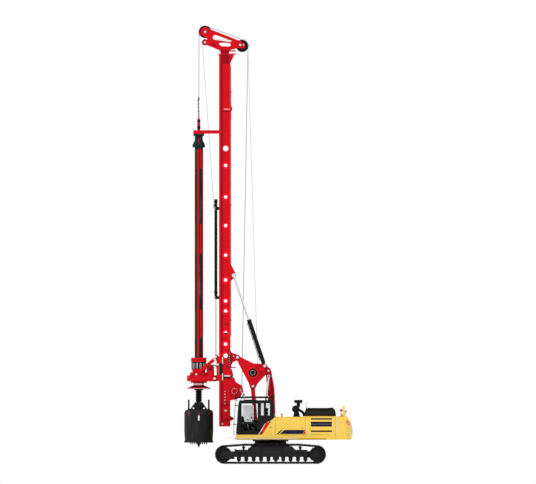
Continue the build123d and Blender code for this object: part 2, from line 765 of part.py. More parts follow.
# ---------------------------------------------------------------- luffing linkage
boom_half = 160
boom_sleeve = boom_ear_y[0] - side_gap
with BuildPart() as boom:
    with BuildSketch(Plane.XZ):
        bar_face((boom_head[0], boom_head[1], 135), (20, 3500, 160), (luff_head[0] + 20, luff_head[1], 140))
    extrude(amount=boom_half, both=True)
    with BuildSketch(Plane.XZ):
        bar_face((20, 3500, 160), (boom_foot[0], boom_foot[1], 150))
    extrude(amount=boom_half, both=True)
    with BuildSketch(Plane.XZ):
        disc(boom_head[0], boom_head[1], 120)
        disc(luff_head[0], luff_head[1], 85)
    extrude(amount=plate_y - side_gap, both=True)
    with BuildSketch(Plane.XZ):
        disc(luff_head[0], luff_head[1], 40)
    extrude(amount=luff_y - luff_eye_half - side_gap, both=True)
    with BuildSketch(Plane.XZ):
        disc(boom_foot[0], boom_foot[1], 130)
    extrude(amount=boom_sleeve, both=True)
    with BuildSketch(Plane.XZ):
        disc(boom_head[0], boom_head[1], 60 + pin_gap)
        disc(boom_foot[0], boom_foot[1], boom_pin + pin_gap)
    extrude(amount=500, both=True, mode=Mode.SUBTRACT)
boom.part.label = "boom"
export_step(boom.part, "parts/boom.step")

with BuildPart() as front_link:
    for sign in (1, -1):
        with BuildSketch(Plane.XZ.offset(sign * (link_outer - link_bar / 2))):
            bar_face((link_head[0], link_head[1], 95), (link_foot[0], link_foot[1], 85))
        extrude(amount=link_bar / 2, both=True)
    with BuildSketch(Plane.XZ):
        disc(link_head[0], link_head[1], 90)
        disc(link_foot[0], link_foot[1], 80)
        disc((link_head[0] + link_foot[0]) / 2, (link_head[1] + link_foot[1]) / 2, 60)
    extrude(amount=link_outer - link_bar / 2, both=True)
    with BuildSketch(Plane.XZ):
        disc(link_head[0], link_head[1], 50 + pin_gap)
        disc(link_foot[0], link_foot[1], link_pin + pin_gap)
    extrude(amount=500, both=True, mode=Mode.SUBTRACT)
front_link.part.label = "front_link"
export_step(front_link.part, "parts/front_link.step")

# Cylinders: node stem, foot, head, distance to the side, barrel radius, barrel length, rod radius,
# eye radius, half of the eye's width, pin radius at the foot, rod hidden in the barrel
cylinders = (
    ("luff", luff_foot, luff_head, luff_y, 80, 1760, 40, 75, luff_eye_half, luff_pin, 330),
    ("mast", mast_foot, mast_eye, cylinder_y, 95, 2250, 50, 95, mast_eye_half, 60, 290),
)
gland_length = 70
gland_proud = 10
for stem, foot, head, off, barrel_r, barrel_len, rod_r, eye_r, eye_half, foot_pin, hidden in cylinders:
    reach = hypot(head[0] - foot[0], head[1] - foot[1])
    along = ((head[0] - foot[0]) / reach, (head[1] - foot[1]) / reach)
    start = eye_r + 28              # where the tube begins, clear of the ears round its foot
    with BuildPart() as barrels:
        for sign in (1, -1):
            with BuildSketch(Plane.XZ.offset(sign * off)):
                bar_face((foot[0], foot[1], eye_r), (foot[0] + along[0] * start, foot[1] + along[1] * start, 40))
            extrude(amount=eye_half, both=True)
            stand = Plane(
                origin=(foot[0] + along[0] * start, -sign * off, foot[1] + along[1] * start),
                x_dir=(0, 1, 0), z_dir=(along[0], 0, along[1]),
            )
            with BuildSketch(stand):
                Circle(barrel_r)
            extrude(amount=barrel_len - start)
            with BuildSketch(stand.offset(barrel_len - start - gland_length)):
                Circle(barrel_r + gland_proud)
            extrude(amount=gland_length)
            with BuildSketch(stand.offset(10)):
                Circle(rod_r + pin_gap)
            extrude(amount=barrel_len, mode=Mode.SUBTRACT)
            with BuildSketch(Plane.XZ.offset(sign * off)):
                disc(foot[0], foot[1], foot_pin + pin_gap)
            extrude(amount=2 * eye_half, both=True, mode=Mode.SUBTRACT)
    barrels.part.label = stem + "_cylinder_barrels"
    export_step(barrels.part, "parts/" + stem + "_cylinder_barrels.step")
    with BuildPart() as rods:
        for sign in (1, -1):
            rod_start = barrel_len - hidden
            stand = Plane(
                origin=(foot[0] + along[0] * rod_start, -sign * off, foot[1] + along[1] * rod_start),
                x_dir=(0, 1, 0), z_dir=(along[0], 0, along[1]),
            )
            with BuildSketch(stand):
                Circle(rod_r)
            extrude(amount=reach - rod_start)
            with BuildSketch(Plane.XZ.offset(sign * off)):
                disc(head[0], head[1], eye_r)
            extrude(amount=eye_half, both=True)
    rods.part.label = stem + "_cylinder_rods"
    export_step(rods.part, "parts/" + stem + "_cylinder_rods.step")

triangle_outline = ((-1590, 5040), (-787, 4640), (-235, 4605), (-20, 4390), (0, 4237), (-200, 4130),
                    (-593, 3703), (-690, 3490), (-930, 3490), (-1010, 3740), (-1530, 4740))
with BuildPart() as triangle_frame:
    for sign in (1, -1):
        with BuildSketch(Plane.XZ.offset(sign * (plate_y + plate / 2))):
            with BuildLine():
                Polyline(*triangle_outline, close=True)
            make_face()
        extrude(amount=plate / 2, both=True)
        with BuildSketch(Plane.XZ.offset(sign * (outer_plate_y + plate / 2))):
            bar_face((mast_foot[0], mast_foot[1], 110), (-500, 4380, 60), (-300, 4350, 60))
        extrude(amount=plate / 2, both=True)
        with BuildSketch(Plane.XZ.offset(sign * (plate_y + outer_plate_y + plate) / 2)):
            block(-520, -300, 4290, 4330)
        extrude(amount=(outer_plate_y - plate_y + plate) / 2, both=True)
        with BuildSketch(Plane.XZ.offset(sign * cylinder_y)):
            disc(mast_foot[0], mast_foot[1], 60)
        extrude(amount=outer_plate_y + plate + 15 - cylinder_y, both=True)
        with BuildSketch(Plane.XZ.offset(sign * (plate_y + plate))):
            disc(mast_hinge[0], mast_hinge[1], 115)
            disc(boom_head[0], boom_head[1], 120)
            disc(link_head[0], link_head[1], 90)
            disc(aux_winch[0], aux_winch[1], 276)
        extrude(amount=sign * 20)
    with BuildSketch(Plane.XZ):
        disc(mast_hinge[0], mast_hinge[1], 60)
        disc(boom_head[0], boom_head[1], 60)
        disc(link_head[0], link_head[1], 50)
        disc(aux_winch[0], aux_winch[1], 60)
    extrude(amount=plate_y + plate, both=True)
    with BuildSketch(Plane.XZ):
        bar_face((-1290, 4860, 14), (-850, 4640, 14))
    extrude(amount=plate_y, both=True)
    with BuildSketch(Plane.XZ):
        bar_face((-1390, 4520, 14), (-1050, 3870, 14))
    extrude(amount=plate_y, both=True)
triangle_frame.part.label = "triangle_frame"
export_step(triangle_frame.part, "parts/triangle_frame.step")

# Winch drums: node, centre, core radius, flange radius, half width, shaft radius
drums = (
    ("aux_winch_drum", aux_winch, 200, 245, plate_y - side_gap, 60),
    ("main_winch_drum", main_winch, 290, 372, mast_half_width - 55, 80),
)
for name, centre, core, flange, half, shaft in drums:
    with BuildPart() as drum:
        with BuildSketch(Plane.XZ):
            disc(centre[0], centre[1], core)
        extrude(amount=half, both=True)
        for sign in (1, -1):
            with BuildSketch(Plane.XZ.offset(sign * (half - 12))):
                disc(centre[0], centre[1], flange)
            extrude(amount=12, both=True)
        with BuildSketch(Plane.XZ):
            disc(centre[0], centre[1], shaft + pin_gap)
        extrude(amount=2 * half, both=True, mode=Mode.SUBTRACT)
    drum.part.label = name
    export_step(drum.part, "parts/" + name + ".step")

# ---------------------------------------------------------------- mast
mast_mid = (mast_front + mast_rear) / 2
hole_x = -2063
# holes through the mast's sides: height, radius
mast_holes = ((14522, 105), (13740, 95), (12291, 95), (10976, 95), (9614, 95), (8473, 95), (7512, 95),
              (7047, 95), (6044, 95), (5525, 95), (4991, 110))
hinge_lug_y = (190, plate_y - side_gap)
winch_bulge = ((-1846, 4384), (-1780, 4384), (-1688, 4025), (-1592, 3786), (-1302, 3606), (-1237, 3317),
               (-1394, 3156), (-1812, 2930), (-1846, 2930))
mast_inside = mast_half_width - mast_wall
mast_flange = 50
top_flange = (-2407, -1552)            # front and rear edge of the flange under the head
# cheeks in line with the sides, as (x, z): flare under the head, stiffener of the flange joint
cheek_back = mast_rear - 10
top_flare = ((cheek_back, mast_top - 492), (-1781, mast_top - 306), (-1640, mast_top - 42),
             (cheek_back, mast_top - 42))
joint_z = mast_top - mast_joint
joint_cheek = ((cheek_back, joint_z - 455), (mast_rear + 38, joint_z - 355), (mast_rear + 38, joint_z + 375),
               (cheek_back, joint_z + 485))
low_bracket = (-1752, mast_bottom + 365)
with BuildPart() as mast_column:
    with BuildSketch(Plane.XY.offset(mast_bottom)):
        with Locations((mast_mid, 0)):
            Rectangle(mast_rear - mast_front, 2 * mast_half_width)
        with Locations((mast_front + rail_depth / 2, 0)):
            Rectangle(rail_depth, 2 * rail_half_width)
    extrude(amount=mast_top - mast_bottom)
    with BuildSketch(Plane.XY.offset(mast_bottom + mast_wall)):
        with Locations((mast_mid, 0)):
            Rectangle(mast_rear - mast_front - 2 * mast_wall, 2 * mast_inside)
    extrude(amount=mast_top - mast_bottom - 2 * mast_wall, mode=Mode.SUBTRACT)
    with BuildSketch(Plane.XZ):
        for z, radius in mast_holes:
            disc(hole_x, z, radius)
    extrude(amount=500, both=True, mode=Mode.SUBTRACT)
    with BuildSketch(Plane.XY.offset(mast_top - mast_flange)):
        with Locations((sum(top_flange) / 2, 0)):
            Rectangle(top_flange[1] - top_flange[0], 2 * rail_half_width)
    extrude(amount=mast_flange)
    # flange joint of the upper section
    with BuildSketch(Plane.XY.offset(joint_z)):
        with Locations(((mast_front + rail_depth + mast_rear + 40) / 2, 0)):
            Rectangle(mast_rear + 40 - mast_front - rail_depth, 2 * mast_half_width + 60)
        with Locations((mast_mid, 0)):
            Rectangle(mast_rear - mast_front - 2 * mast_wall, 2 * mast_inside, mode=Mode.SUBTRACT)
    extrude(amount=mast_flange)
    # recess in the rear wall for the main winch, and its side plates
    with BuildSketch(Plane.YZ.offset(mast_rear - mast_wall - 1)):
        block(-mast_inside, mast_inside, 2940, 3760)
    extrude(amount=mast_wall + 2, mode=Mode.SUBTRACT)
    for sign in (1, -1):
        for cheek in (winch_bulge, top_flare, joint_cheek):
            with BuildSketch(Plane.XZ.offset(sign * (mast_half_width - 20))):
                with BuildLine():
                    Polyline(*cheek, close=True)
                make_face()
            extrude(amount=20, both=True)
        with BuildSketch(Plane.XZ.offset(sign * 90)):
            bar_face((low_bracket[0], low_bracket[1], 62), (cheek_back, low_bracket[1] + 110, 10),
                     (cheek_back, low_bracket[1] - 110, 10))
        extrude(amount=14, both=True)
        with BuildSketch(Plane.XZ.offset(sign * sum(hinge_lug_y) / 2)):
            bar_face((mast_hinge[0], mast_hinge[1], 120), (mast_rear - 10, 5150, 10),
                     (mast_rear - 10, 4640, 10))
        extrude(amount=(hinge_lug_y[1] - hinge_lug_y[0]) / 2, both=True)
        with BuildSketch(Plane.XZ.offset(sign * (mast_half_width - 20))):
            bar_face((mast_eye[0], mast_eye[1], 110), (mast_rear - 10, 9250, 10), (mast_rear - 10, 8420, 10))
        extrude(amount=20, both=True)
        with BuildSketch(Plane.XZ.offset(sign * mast_half_width)):
            disc(mast_eye[0], mast_eye[1], 80)
        extrude(amount=sign * (cylinder_y - mast_eye_half - side_gap - mast_half_width))
    with BuildSketch(Plane.XZ):
        disc(main_winch[0], main_winch[1], 80)
    extrude(amount=mast_half_width, both=True)
    with BuildSketch(Plane.XZ):
        disc(low_bracket[0], low_bracket[1], 35)
    extrude(amount=115, both=True)
    with BuildSketch(Plane.XZ):
        disc(mast_hinge[0], mast_hinge[1], 60 + pin_gap)
    extrude(amount=500, both=True, mode=Mode.SUBTRACT)
mast_column.part.label = "mast_column"
export_step(mast_column.part, "parts/mast_column.step")

main_sheave = (-3013, mast_top + 998)
aux_sheave = (-3013, mast_top + 515)
rear_sheave = (-1302, mast_top + 350)
# side plates of the head, as (x, height above the mast's top)
head_outline = ((-2979, 408), (-3117, 514), (-3060, 598), (-2900, 668), (-3150, 850), (-3013, 998),
                (-2938, 1190), (-2733, 1104), (-1393, 576), (-1180, 438), (-1180, 288), (-1517, 241),
                (-1904, 144), (-2345, 144))
head_hubs = ((main_sheave, 206), (aux_sheave, 106), (rear_sheave, 122))
cut_long = ((-2539, 735, 112), (-1830, 566, 28))
cut_low = ((-2424, 487), (-2239, 329), (-1887, 329), (-1816, 399), (-1904, 487))
cut_round = 35
sheave_half = 45
head_plate_y = 60
with BuildPart() as mast_head:
    for sign in (1, -1):
        cheek_plane = Plane((0, -sign * (head_plate_y + 12), mast_top), (1, 0, 0), (0, -1, 0))
        with BuildSketch(cheek_plane):
            with BuildLine():
                Polyline(*head_outline, close=True)
            make_face()
            for hub, radius in head_hubs:
                disc(hub[0], hub[1] - mast_top, radius)
        extrude(amount=12, both=True)
        with BuildSketch(cheek_plane):
            bar_face(*cut_long)
        extrude(amount=12, both=True, mode=Mode.SUBTRACT)
        with BuildSketch(cheek_plane) as low_window:
            with BuildLine():
                Polyline(*cut_low, close=True)
            make_face()
            fillet(low_window.vertices(), cut_round)
        extrude(amount=12, both=True, mode=Mode.SUBTRACT)
    with BuildSketch(Plane.XZ):
        disc(main_sheave[0], main_sheave[1], 45)
        disc(aux_sheave[0], aux_sheave[1], 35)
        disc(rear_sheave[0], rear_sheave[1], 45)
    extrude(amount=head_plate_y + 30, both=True)
    with BuildSketch(Plane.XY.offset(mast_top + 88)):
        with Locations((-1970, 0)):
            Rectangle(760, 560)
    extrude(amount=60)
    with BuildSketch(Plane.XY.offset(mast_top)):
        with Locations((-2100, 0)):
            Rectangle(400, 400)
    extrude(amount=90)
mast_head.part.label = "mast_head"
export_step(mast_head.part, "parts/mast_head.step")

# Head sheaves: node, centre, outer radius, groove radius, shaft radius
sheaves = (
    ("main_sheave", main_sheave, 290, 255, 45),
    ("aux_sheave", aux_sheave, 143, 118, 35),
    ("rear_sheaves", rear_sheave, 285, 250, 45),
)
for name, centre, rim, groove, shaft in sheaves:
    with BuildPart() as sheave:
        with BuildSketch(Plane.XZ):
            disc(centre[0], centre[1], rim)
        extrude(amount=sheave_half, both=True)
        with BuildSketch(Plane.XZ):
            disc(centre[0], centre[1], rim + 5)
            with Locations(centre):
                Circle(groove, mode=Mode.SUBTRACT)
        extrude(amount=sheave_half - 15, both=True, mode=Mode.SUBTRACT)
        with BuildSketch(Plane.XZ):
            disc(centre[0], centre[1], shaft + pin_gap)
        extrude(amount=100, both=True, mode=Mode.SUBTRACT)
    sheave.part.label = name
    export_step(sheave.part, "parts/" + name + ".step")

crowd_radius = 67
crowd_rod_radius = 24
crowd_pin_z = 5005
crowd_bottom = 7595
crowd_top = 12195
rod_top = 9820
with BuildPart() as crowd_cylinder:
    with BuildSketch(Plane.XY.offset(crowd_bottom)):
        with Locations((crowd_x, 0)):
            Circle(crowd_radius)
    extrude(amount=crowd_top - crowd_bottom)
    for z in (crowd_bottom, crowd_top - 500):
        with BuildSketch(Plane.XY.offset(z)):
            with Locations(((crowd_x + mast_front) / 2, 0)):
                Rectangle(mast_front - crowd_x, 200)
        extrude(amount=140)
    with BuildSketch(Plane.XY.offset(crowd_bottom - 1)):
        with Locations((crowd_x, 0)):
            Circle(crowd_rod_radius + pin_gap)
    extrude(amount=crowd_top - crowd_bottom - 40, mode=Mode.SUBTRACT)
crowd_cylinder.part.label = "crowd_cylinder"
export_step(crowd_cylinder.part, "parts/crowd_cylinder.step")

# ---------------------------------------------------------------- rotary drive
shoe_inner = rail_half_width + face_gap
carriage_back = mast_front - side_gap
brace_y = rail_half_width + 95
with BuildPart() as drive_carriage:
    with BuildSketch(Plane.XZ):
        block(-2484, carriage_back, drive_base, 4959)
    extrude(amount=rail_half_width + 45, both=True)
    for sign in (1, -1):
        with BuildSketch(Plane.XZ.offset(sign * (shoe_inner + 22))):
            for z in (drive_base, 4659):
                block(carriage_back - 1, mast_front + rail_depth + 45, z, z + 300)
        extrude(amount=22, both=True)
        with BuildSketch(Plane.XZ.offset(sign * (shoe_inner - 15))):
            for z in (drive_base, 4659):
                block(mast_front + rail_depth + face_gap, mast_front + rail_depth + 45, z, z + 300)
        extrude(amount=20, both=True)
        # slanted braces to the gearbox
        with BuildSketch(Plane.XZ.offset(sign * brace_y)):
            bar_face((-2571, 4830, 80), (-3413, drive_top + 80, 80))
        extrude(amount=20, both=True)
        with BuildSketch(Plane.XZ.offset(sign * (brace_y - 40))):
            disc(-2571, 4830, 60)
            block(-2560, -2480, 4760, 4900)
        extrude(amount=20, both=True)
    # clevis for the eye of the crowd cylinder's rod
    with BuildSketch(Plane.XZ):
        bar_face((crowd_x, crowd_pin_z, 40), (-2440, crowd_pin_z - 45, 40))
    extrude(amount=60, both=True)
    with BuildSketch(Plane.XZ):
        disc(crowd_x, crowd_pin_z, 46)
    extrude(amount=26, both=True, mode=Mode.SUBTRACT)
    with BuildSketch(Plane.XZ):
        disc(crowd_x, crowd_pin_z, 16)
    extrude(amount=60, both=True)
drive_carriage.part.label = "drive_carriage"
export_step(drive_carriage.part, "parts/drive_carriage.step")

with BuildPart() as drive_gearbox:
    with BuildSketch(Plane.XY.offset(drive_base)):
        with Locations((kelly_x, 0)):
            Circle(541)
        with Locations((-2550, 0)):
            Rectangle(132, 700)
        make_hull()
    extrude(amount=drive_top - drive_base)
    with BuildSketch(Plane.XY.offset(drive_top)):
        with Locations((kelly_x, 0)):
            Circle(412)
    extrude(amount=collar_top - drive_top)
    with BuildSketch(Plane.XY.offset(drive_top)):
        with Locations((-2767, -260), (-2767, 260)):
            Circle(177)
    extrude(amount=419)
    with BuildSketch(Plane.XY.offset(drive_base - 1)):
        with Locations((kelly_x, 0)):
            Circle(sleeve_radius + drum_gap)
    extrude(amount=1000, mode=Mode.SUBTRACT)
drive_gearbox.part.label = "drive_gearbox"
export_step(drive_gearbox.part, "parts/drive_gearbox.step")

with BuildPart() as crowd_rod:
    with BuildSketch(Plane.XY.offset(crowd_pin_z)):
        with Locations((crowd_x, 0)):
            Circle(crowd_rod_radius)
    extrude(amount=rod_top - crowd_pin_z)
    with BuildSketch(Plane.XZ):
        disc(crowd_x, crowd_pin_z, 38)
    extrude(amount=25, both=True)
    with BuildSketch(Plane.XZ):
        disc(crowd_x, crowd_pin_z, 16 + pin_gap)
    extrude(amount=60, both=True, mode=Mode.SUBTRACT)
crowd_rod.part.label = "crowd_rod"
export_step(crowd_rod.part, "parts/crowd_rod.step")

with BuildPart() as drive_sleeve:
    with BuildSketch(Plane.XZ):
        with BuildLine():
            Polyline(
                (kelly_x + sleeve_bore, 3464), (kelly_x + skirt_radius, 3464), (kelly_x + skirt_radius, 3490),
                (kelly_x + sleeve_radius + 10, 3634), (kelly_x + sleeve_radius + 10, 3735),
                (kelly_x + sleeve_radius + 143, drive_base - 6), (kelly_x + sleeve_radius, drive_base - 6),
                (kelly_x + sleeve_radius, collar_top + face_gap), (kelly_x + drum_neck, collar_top + face_gap),
                (kelly_x + drum_neck, 4333), (kelly_x + drum_radius, 4333), (kelly_x + drum_radius, 4715),
                (kelly_x + drum_radius + 19, 4715), (kelly_x + drum_radius + 19, 4894),
                (kelly_x + sleeve_bore, 4894), close=True,
            )
        make_face()
    revolve(axis=Axis((kelly_x, 0, 0), (0, 0, 1)))
    with BuildSketch(Plane.XY.offset(4379)):
        with Locations((kelly_x, 0)):
            with PolarLocations(drum_radius - 18, 12):
                Rectangle(60, 70)
    extrude(amount=290, mode=Mode.SUBTRACT)
    # driving keys, one beside each rib of the kelly bar
    with BuildSketch(Plane.XY.offset(3900)):
        with Locations((kelly_x, 0)):
            with PolarLocations((rib_radius + sleeve_bore) / 2, 3, start_angle=12):
                Rectangle(sleeve_bore - rib_radius + 26, 40)
            Circle(kelly_radius + face_gap, mode=Mode.SUBTRACT)
    extrude(amount=300)
drive_sleeve.part.label = "drive_sleeve"
export_step(drive_sleeve.part, "parts/drive_sleeve.step")

# ---------------------------------------------------------------- kelly bar
guide_z = (15203, 15364)
with BuildPart() as kelly_guide:
    with BuildSketch(Plane.XY.offset(guide_z[0] + face_gap)):
        with Locations((kelly_x, 0)):
            Circle(kelly_radius + 66)
        for sign in (1, -1):
            with Locations(((kelly_x - 2470) / 2 + 60, sign * 190)):
                Rectangle(720, 90)
            with Locations(((-2560 + mast_front + rail_depth + 45) / 2, sign * (shoe_inner + 20))):
                Rectangle(mast_front + rail_depth + 45 + 2560, 40)
        with Locations((-2530, 0)):
            Rectangle(60, 2 * shoe_inner + 80)
        with Locations((crowd_x, 0)):
            Rectangle(320, 260, mode=Mode.SUBTRACT)
    extrude(amount=guide_z[1] - guide_z[0])
    for sign in (1, -1):
        with BuildSketch(Plane.XZ.offset(sign * (shoe_inner - 15))):
            block(mast_front + rail_depth + face_gap, mast_front + rail_depth + 45,
                  guide_z[0] + face_gap, guide_z[1])
        extrude(amount=20, both=True)
    with BuildSketch(Plane.XY.offset(guide_z[1])):
        with Locations((kelly_x, 0)):
            Circle(67)
    extrude(amount=15893 - guide_z[1])
kelly_guide.part.label = "kelly_guide"
export_step(kelly_guide.part, "parts/kelly_guide.step")

with BuildPart() as kelly_bar:
    with BuildSketch(Plane.XZ):
        with BuildLine():
            Polyline(
                (kelly_x, 2600), (kelly_x + 70, 2600), (kelly_x + 70, 3395), (kelly_x + kelly_radius + 12, 3395),
                (kelly_x + kelly_radius + 12, 3455), (kelly_x + kelly_radius, 3455), (kelly_x + kelly_radius, kelly_head),
                (kelly_x + kelly_radius + 100, kelly_head), (kelly_x + kelly_radius + 100, 14700),
                (kelly_x + kelly_radius - 4, 14900), (kelly_x + kelly_radius - 4, 15100),
                (kelly_x + kelly_radius + 60, 15100), (kelly_x + kelly_radius + 60, guide_z[0]),
                (kelly_x + kelly_bore, guide_z[0]), (kelly_x + kelly_bore, 3460), (kelly_x, 3460),
                close=True,
            )
        make_face()
    revolve(axis=Axis((kelly_x, 0, 0), (0, 0, 1)))
    with BuildSketch(Plane.XY.offset(3500)):
        with Locations((kelly_x, 0)):
            with PolarLocations(rib_radius - 15, 3):
                Rectangle(30, 40)
    extrude(amount=kelly_head - 3500)
    with BuildSketch(Plane.XY.offset(2500)):
        with Locations((kelly_x, 0)):
            Rectangle(kelly_square, kelly_square)
    extrude(amount=370)
kelly_bar.part.label = "kelly_bar"
export_step(kelly_bar.part, "parts/kelly_bar.step")

with BuildPart() as kelly_spring:
    flanks = []
    for index in range(spring_turns):
        low = spring_z[0] + index * spring_pitch
        flanks += [(kelly_x + 112, low), (kelly_x + spring_radius, low + spring_pitch * 0.35),
                   (kelly_x + spring_radius, low + spring_pitch * 0.65)]
    with BuildSketch(Plane.XZ):
        with BuildLine():
            Polyline((kelly_x + 70 + pin_gap, spring_z[0]), *flanks, (kelly_x + 112, spring_z[1]),
                     (kelly_x + 70 + pin_gap, spring_z[1]), close=True)
        make_face()
    revolve(axis=Axis((kelly_x, 0, 0), (0, 0, 1)))
kelly_spring.part.label = "kelly_spring"
export_step(kelly_spring.part, "parts/kelly_spring.step")

lid = 50
taper_top, taper_foot, taper = bucket_taper
bevel_height, bevel_depth = bucket_bevel
bucket_inside = bucket_radius - bucket_wall
gate_hinge = (bucket_radius + 25, 1005)   # distance to the right of the axis, and height
gate_knuckle = 16
knuckle_half = 20
with BuildPart() as bucket_shell:
    with BuildSketch(Plane.XZ):
        with BuildLine():
            Polyline(
                (kelly_x, bucket_top), (kelly_x + bucket_radius - bevel_depth, bucket_top),
                (kelly_x + bucket_radius, bucket_top - bevel_height), (kelly_x + bucket_radius, taper_top),
                (kelly_x + bucket_radius - taper, taper_foot), (kelly_x + bucket_radius, taper_foot),
                (kelly_x + bucket_radius, bucket_base), (kelly_x + bucket_inside - taper, bucket_base),
                (kelly_x + bucket_inside - taper, taper_foot), (kelly_x + bucket_inside, taper_top),
                (kelly_x + bucket_inside, bucket_top - bevel_height),
                (kelly_x + bucket_inside - bevel_depth * 0.6, bucket_top - lid),
                (kelly_x, bucket_top - lid), close=True,
            )
        make_face()
    revolve(axis=Axis((kelly_x, 0, 0), (0, 0, 1)))
    with BuildSketch(Plane.XY.offset(bucket_top)):
        with Locations((kelly_x, 0)):
            Rectangle(320, 320)
    extrude(amount=370)
    # gussets of the drive stub, each with a lightening hole
    for plane, middle in ((Plane.XZ, kelly_x), (Plane.YZ.offset(kelly_x), 0)):
        with BuildSketch(plane):
            with BuildLine():
                Polyline((middle - 430, bucket_top - 1), (middle - 170, 2850), (middle + 170, 2850),
                         (middle + 430, bucket_top - 1), close=True)
            make_face()
            with Locations((middle - 245, 2575), (middle + 245, 2575)):
                Circle(38, mode=Mode.SUBTRACT)
        extrude(amount=15, both=True)
    with BuildSketch(Plane.XY.offset(bucket_top + 1)):
        with Locations((kelly_x, 0)):
            Rectangle(kelly_square + 2 * square_gap, kelly_square + 2 * square_gap)
    extrude(amount=400, mode=Mode.SUBTRACT)
    with BuildSketch(Plane.XY.offset(bucket_top)):
        with Locations((kelly_x - 460, 0), (kelly_x + 460, 0)):
            Circle(40)
    extrude(amount=480)
    with BuildSketch(Plane.XZ.offset(bucket_radius - 60)):
        with Locations((kelly_x, 2125)):
            SlotOverall(276, 80, rotation=90)
    extrude(amount=120, mode=Mode.SUBTRACT)
    # fixed knuckles of the gate's hinge
    for sign in (-1, 1):
        with BuildSketch(Plane.YZ.offset(kelly_x + sign * (2 * knuckle_half + 1.5))):
            disc(*gate_hinge, gate_knuckle)
            block(gate_hinge[0] - gate_knuckle, gate_hinge[0] + gate_knuckle, gate_hinge[1], bucket_base + 45)
            block(bucket_radius - 15, gate_hinge[0], bucket_base, bucket_base + 45)
        extrude(amount=knuckle_half, both=True)
bucket_shell.part.label = "bucket_shell"
export_step(bucket_shell.part, "parts/bucket_shell.step")

with BuildPart() as bucket_gate:
    with BuildSketch(Plane.XY.offset(bucket_base - 31)):
        with Locations((kelly_x, 0)):
            Circle(bucket_radius)
    extrude(amount=31 - face_gap)
    with BuildSketch(Plane.XZ):
        for index in range(-4, 5):
            if index != 0:
                block(kelly_x + index * 90 - 25, kelly_x + index * 90 + 25, 915, 991)
    extrude(amount=50, both=True)
    with BuildSketch(Plane.XZ):
        with BuildLine():
            Polyline((kelly_x, 752), (kelly_x + 60, 880), (kelly_x + 60, 991), (kelly_x, 991), close=True)
        make_face()
    revolve(axis=Axis((kelly_x, 0, 0), (0, 0, 1)))
    with BuildSketch(Plane.YZ.offset(kelly_x)):
        disc(*gate_hinge, gate_knuckle)
        block(bucket_radius - 20, gate_hinge[0], bucket_base - 30, bucket_base - 2)
    extrude(amount=knuckle_half, both=True)
bucket_gate.part.label = "bucket_gate"
export_step(bucket_gate.part, "parts/bucket_gate.step")
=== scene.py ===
import bpy, bmesh
from math import acos, atan2, cos, degrees, hypot, pi, radians, sin
from mathutils import Matrix, Vector


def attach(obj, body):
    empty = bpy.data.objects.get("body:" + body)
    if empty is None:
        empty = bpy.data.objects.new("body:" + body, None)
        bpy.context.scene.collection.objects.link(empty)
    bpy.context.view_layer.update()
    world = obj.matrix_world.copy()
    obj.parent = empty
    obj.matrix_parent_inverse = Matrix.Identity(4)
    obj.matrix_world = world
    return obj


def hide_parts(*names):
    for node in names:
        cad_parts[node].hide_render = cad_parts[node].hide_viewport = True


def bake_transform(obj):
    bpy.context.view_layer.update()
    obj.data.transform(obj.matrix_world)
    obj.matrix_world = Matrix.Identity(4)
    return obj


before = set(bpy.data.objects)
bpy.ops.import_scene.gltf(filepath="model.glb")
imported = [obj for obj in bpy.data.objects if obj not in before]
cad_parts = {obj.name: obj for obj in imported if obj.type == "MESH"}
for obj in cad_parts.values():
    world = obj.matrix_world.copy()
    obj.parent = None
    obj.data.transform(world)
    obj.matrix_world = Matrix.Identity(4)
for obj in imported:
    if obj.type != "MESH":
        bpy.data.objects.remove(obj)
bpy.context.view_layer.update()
print("frame loaded", len(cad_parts), "nodes")
mirrorSides = (-1, 1)  # left of the machine is -Y, where the cab stands
up = (0, 0, 1)


# helpers for shapes
def vec(*numbers):
    return Vector(numbers)


def around(angle):
    return vec(cos(angle), sin(angle), 0)


def paintFaces(shape, verts, material):
    for vert in verts:
        for face in vert.link_faces:
            face.material_index = material


def finishEdges(shape, verts, bevel, segments, material):
    if bevel:
        edges = list({edge for vert in verts for edge in vert.link_edges})
        verts = bmesh.ops.bevel(shape, geom=edges, offset=bevel, offset_type="OFFSET", segments=segments,
                                profile=0.5, affect="EDGES", material=-1)["verts"]
    paintFaces(shape, verts, material)
    return verts


def addBlock(shape, low, high, bevel=0.0, material=0, segments=2):
    # a box between two opposite corners, given in either order
    low, high = (Vector(corner) for corner in zip(*map(sorted, zip(low, high))))
    verts = bmesh.ops.create_cube(shape, size=1)["verts"]
    bmesh.ops.scale(shape, vec=high - low, verts=verts)
    bmesh.ops.translate(shape, vec=(low + high) / 2, verts=verts)
    return finishEdges(shape, verts, bevel, segments, material)


def addBox(shape, centre, size, *edges):
    half = Vector(size) / 2
    return addBlock(shape, Vector(centre) - half, Vector(centre) + half, *edges)


def alongMatrix(start, end):
    start, end = Vector(start), Vector(end)
    turn = (end - start).to_track_quat("Z", "Y").to_matrix().to_4x4()
    return Matrix.Translation((start + end) / 2) @ turn, (end - start).length


def addRod(shape, start, end, radius, sides=16, material=0, endRadius=None):
    matrix, length = alongMatrix(start, end)
    verts = bmesh.ops.create_cone(shape, cap_ends=True, cap_tris=False, segments=sides, radius1=radius,
                                  radius2=radius if endRadius is None else endRadius, depth=length,
                                  matrix=matrix)["verts"]
    paintFaces(shape, verts, material)
    return verts


def addPin(shape, x, z, fromY, toY, *settings):
    # a rod straight across the machine
    return addRod(shape, (x, fromY, z), (x, toY, z), *settings)


def addPost(shape, x, y, fromZ, toZ, *settings):
    # an upright rod
    return addRod(shape, (x, y, fromZ), (x, y, toZ), *settings)


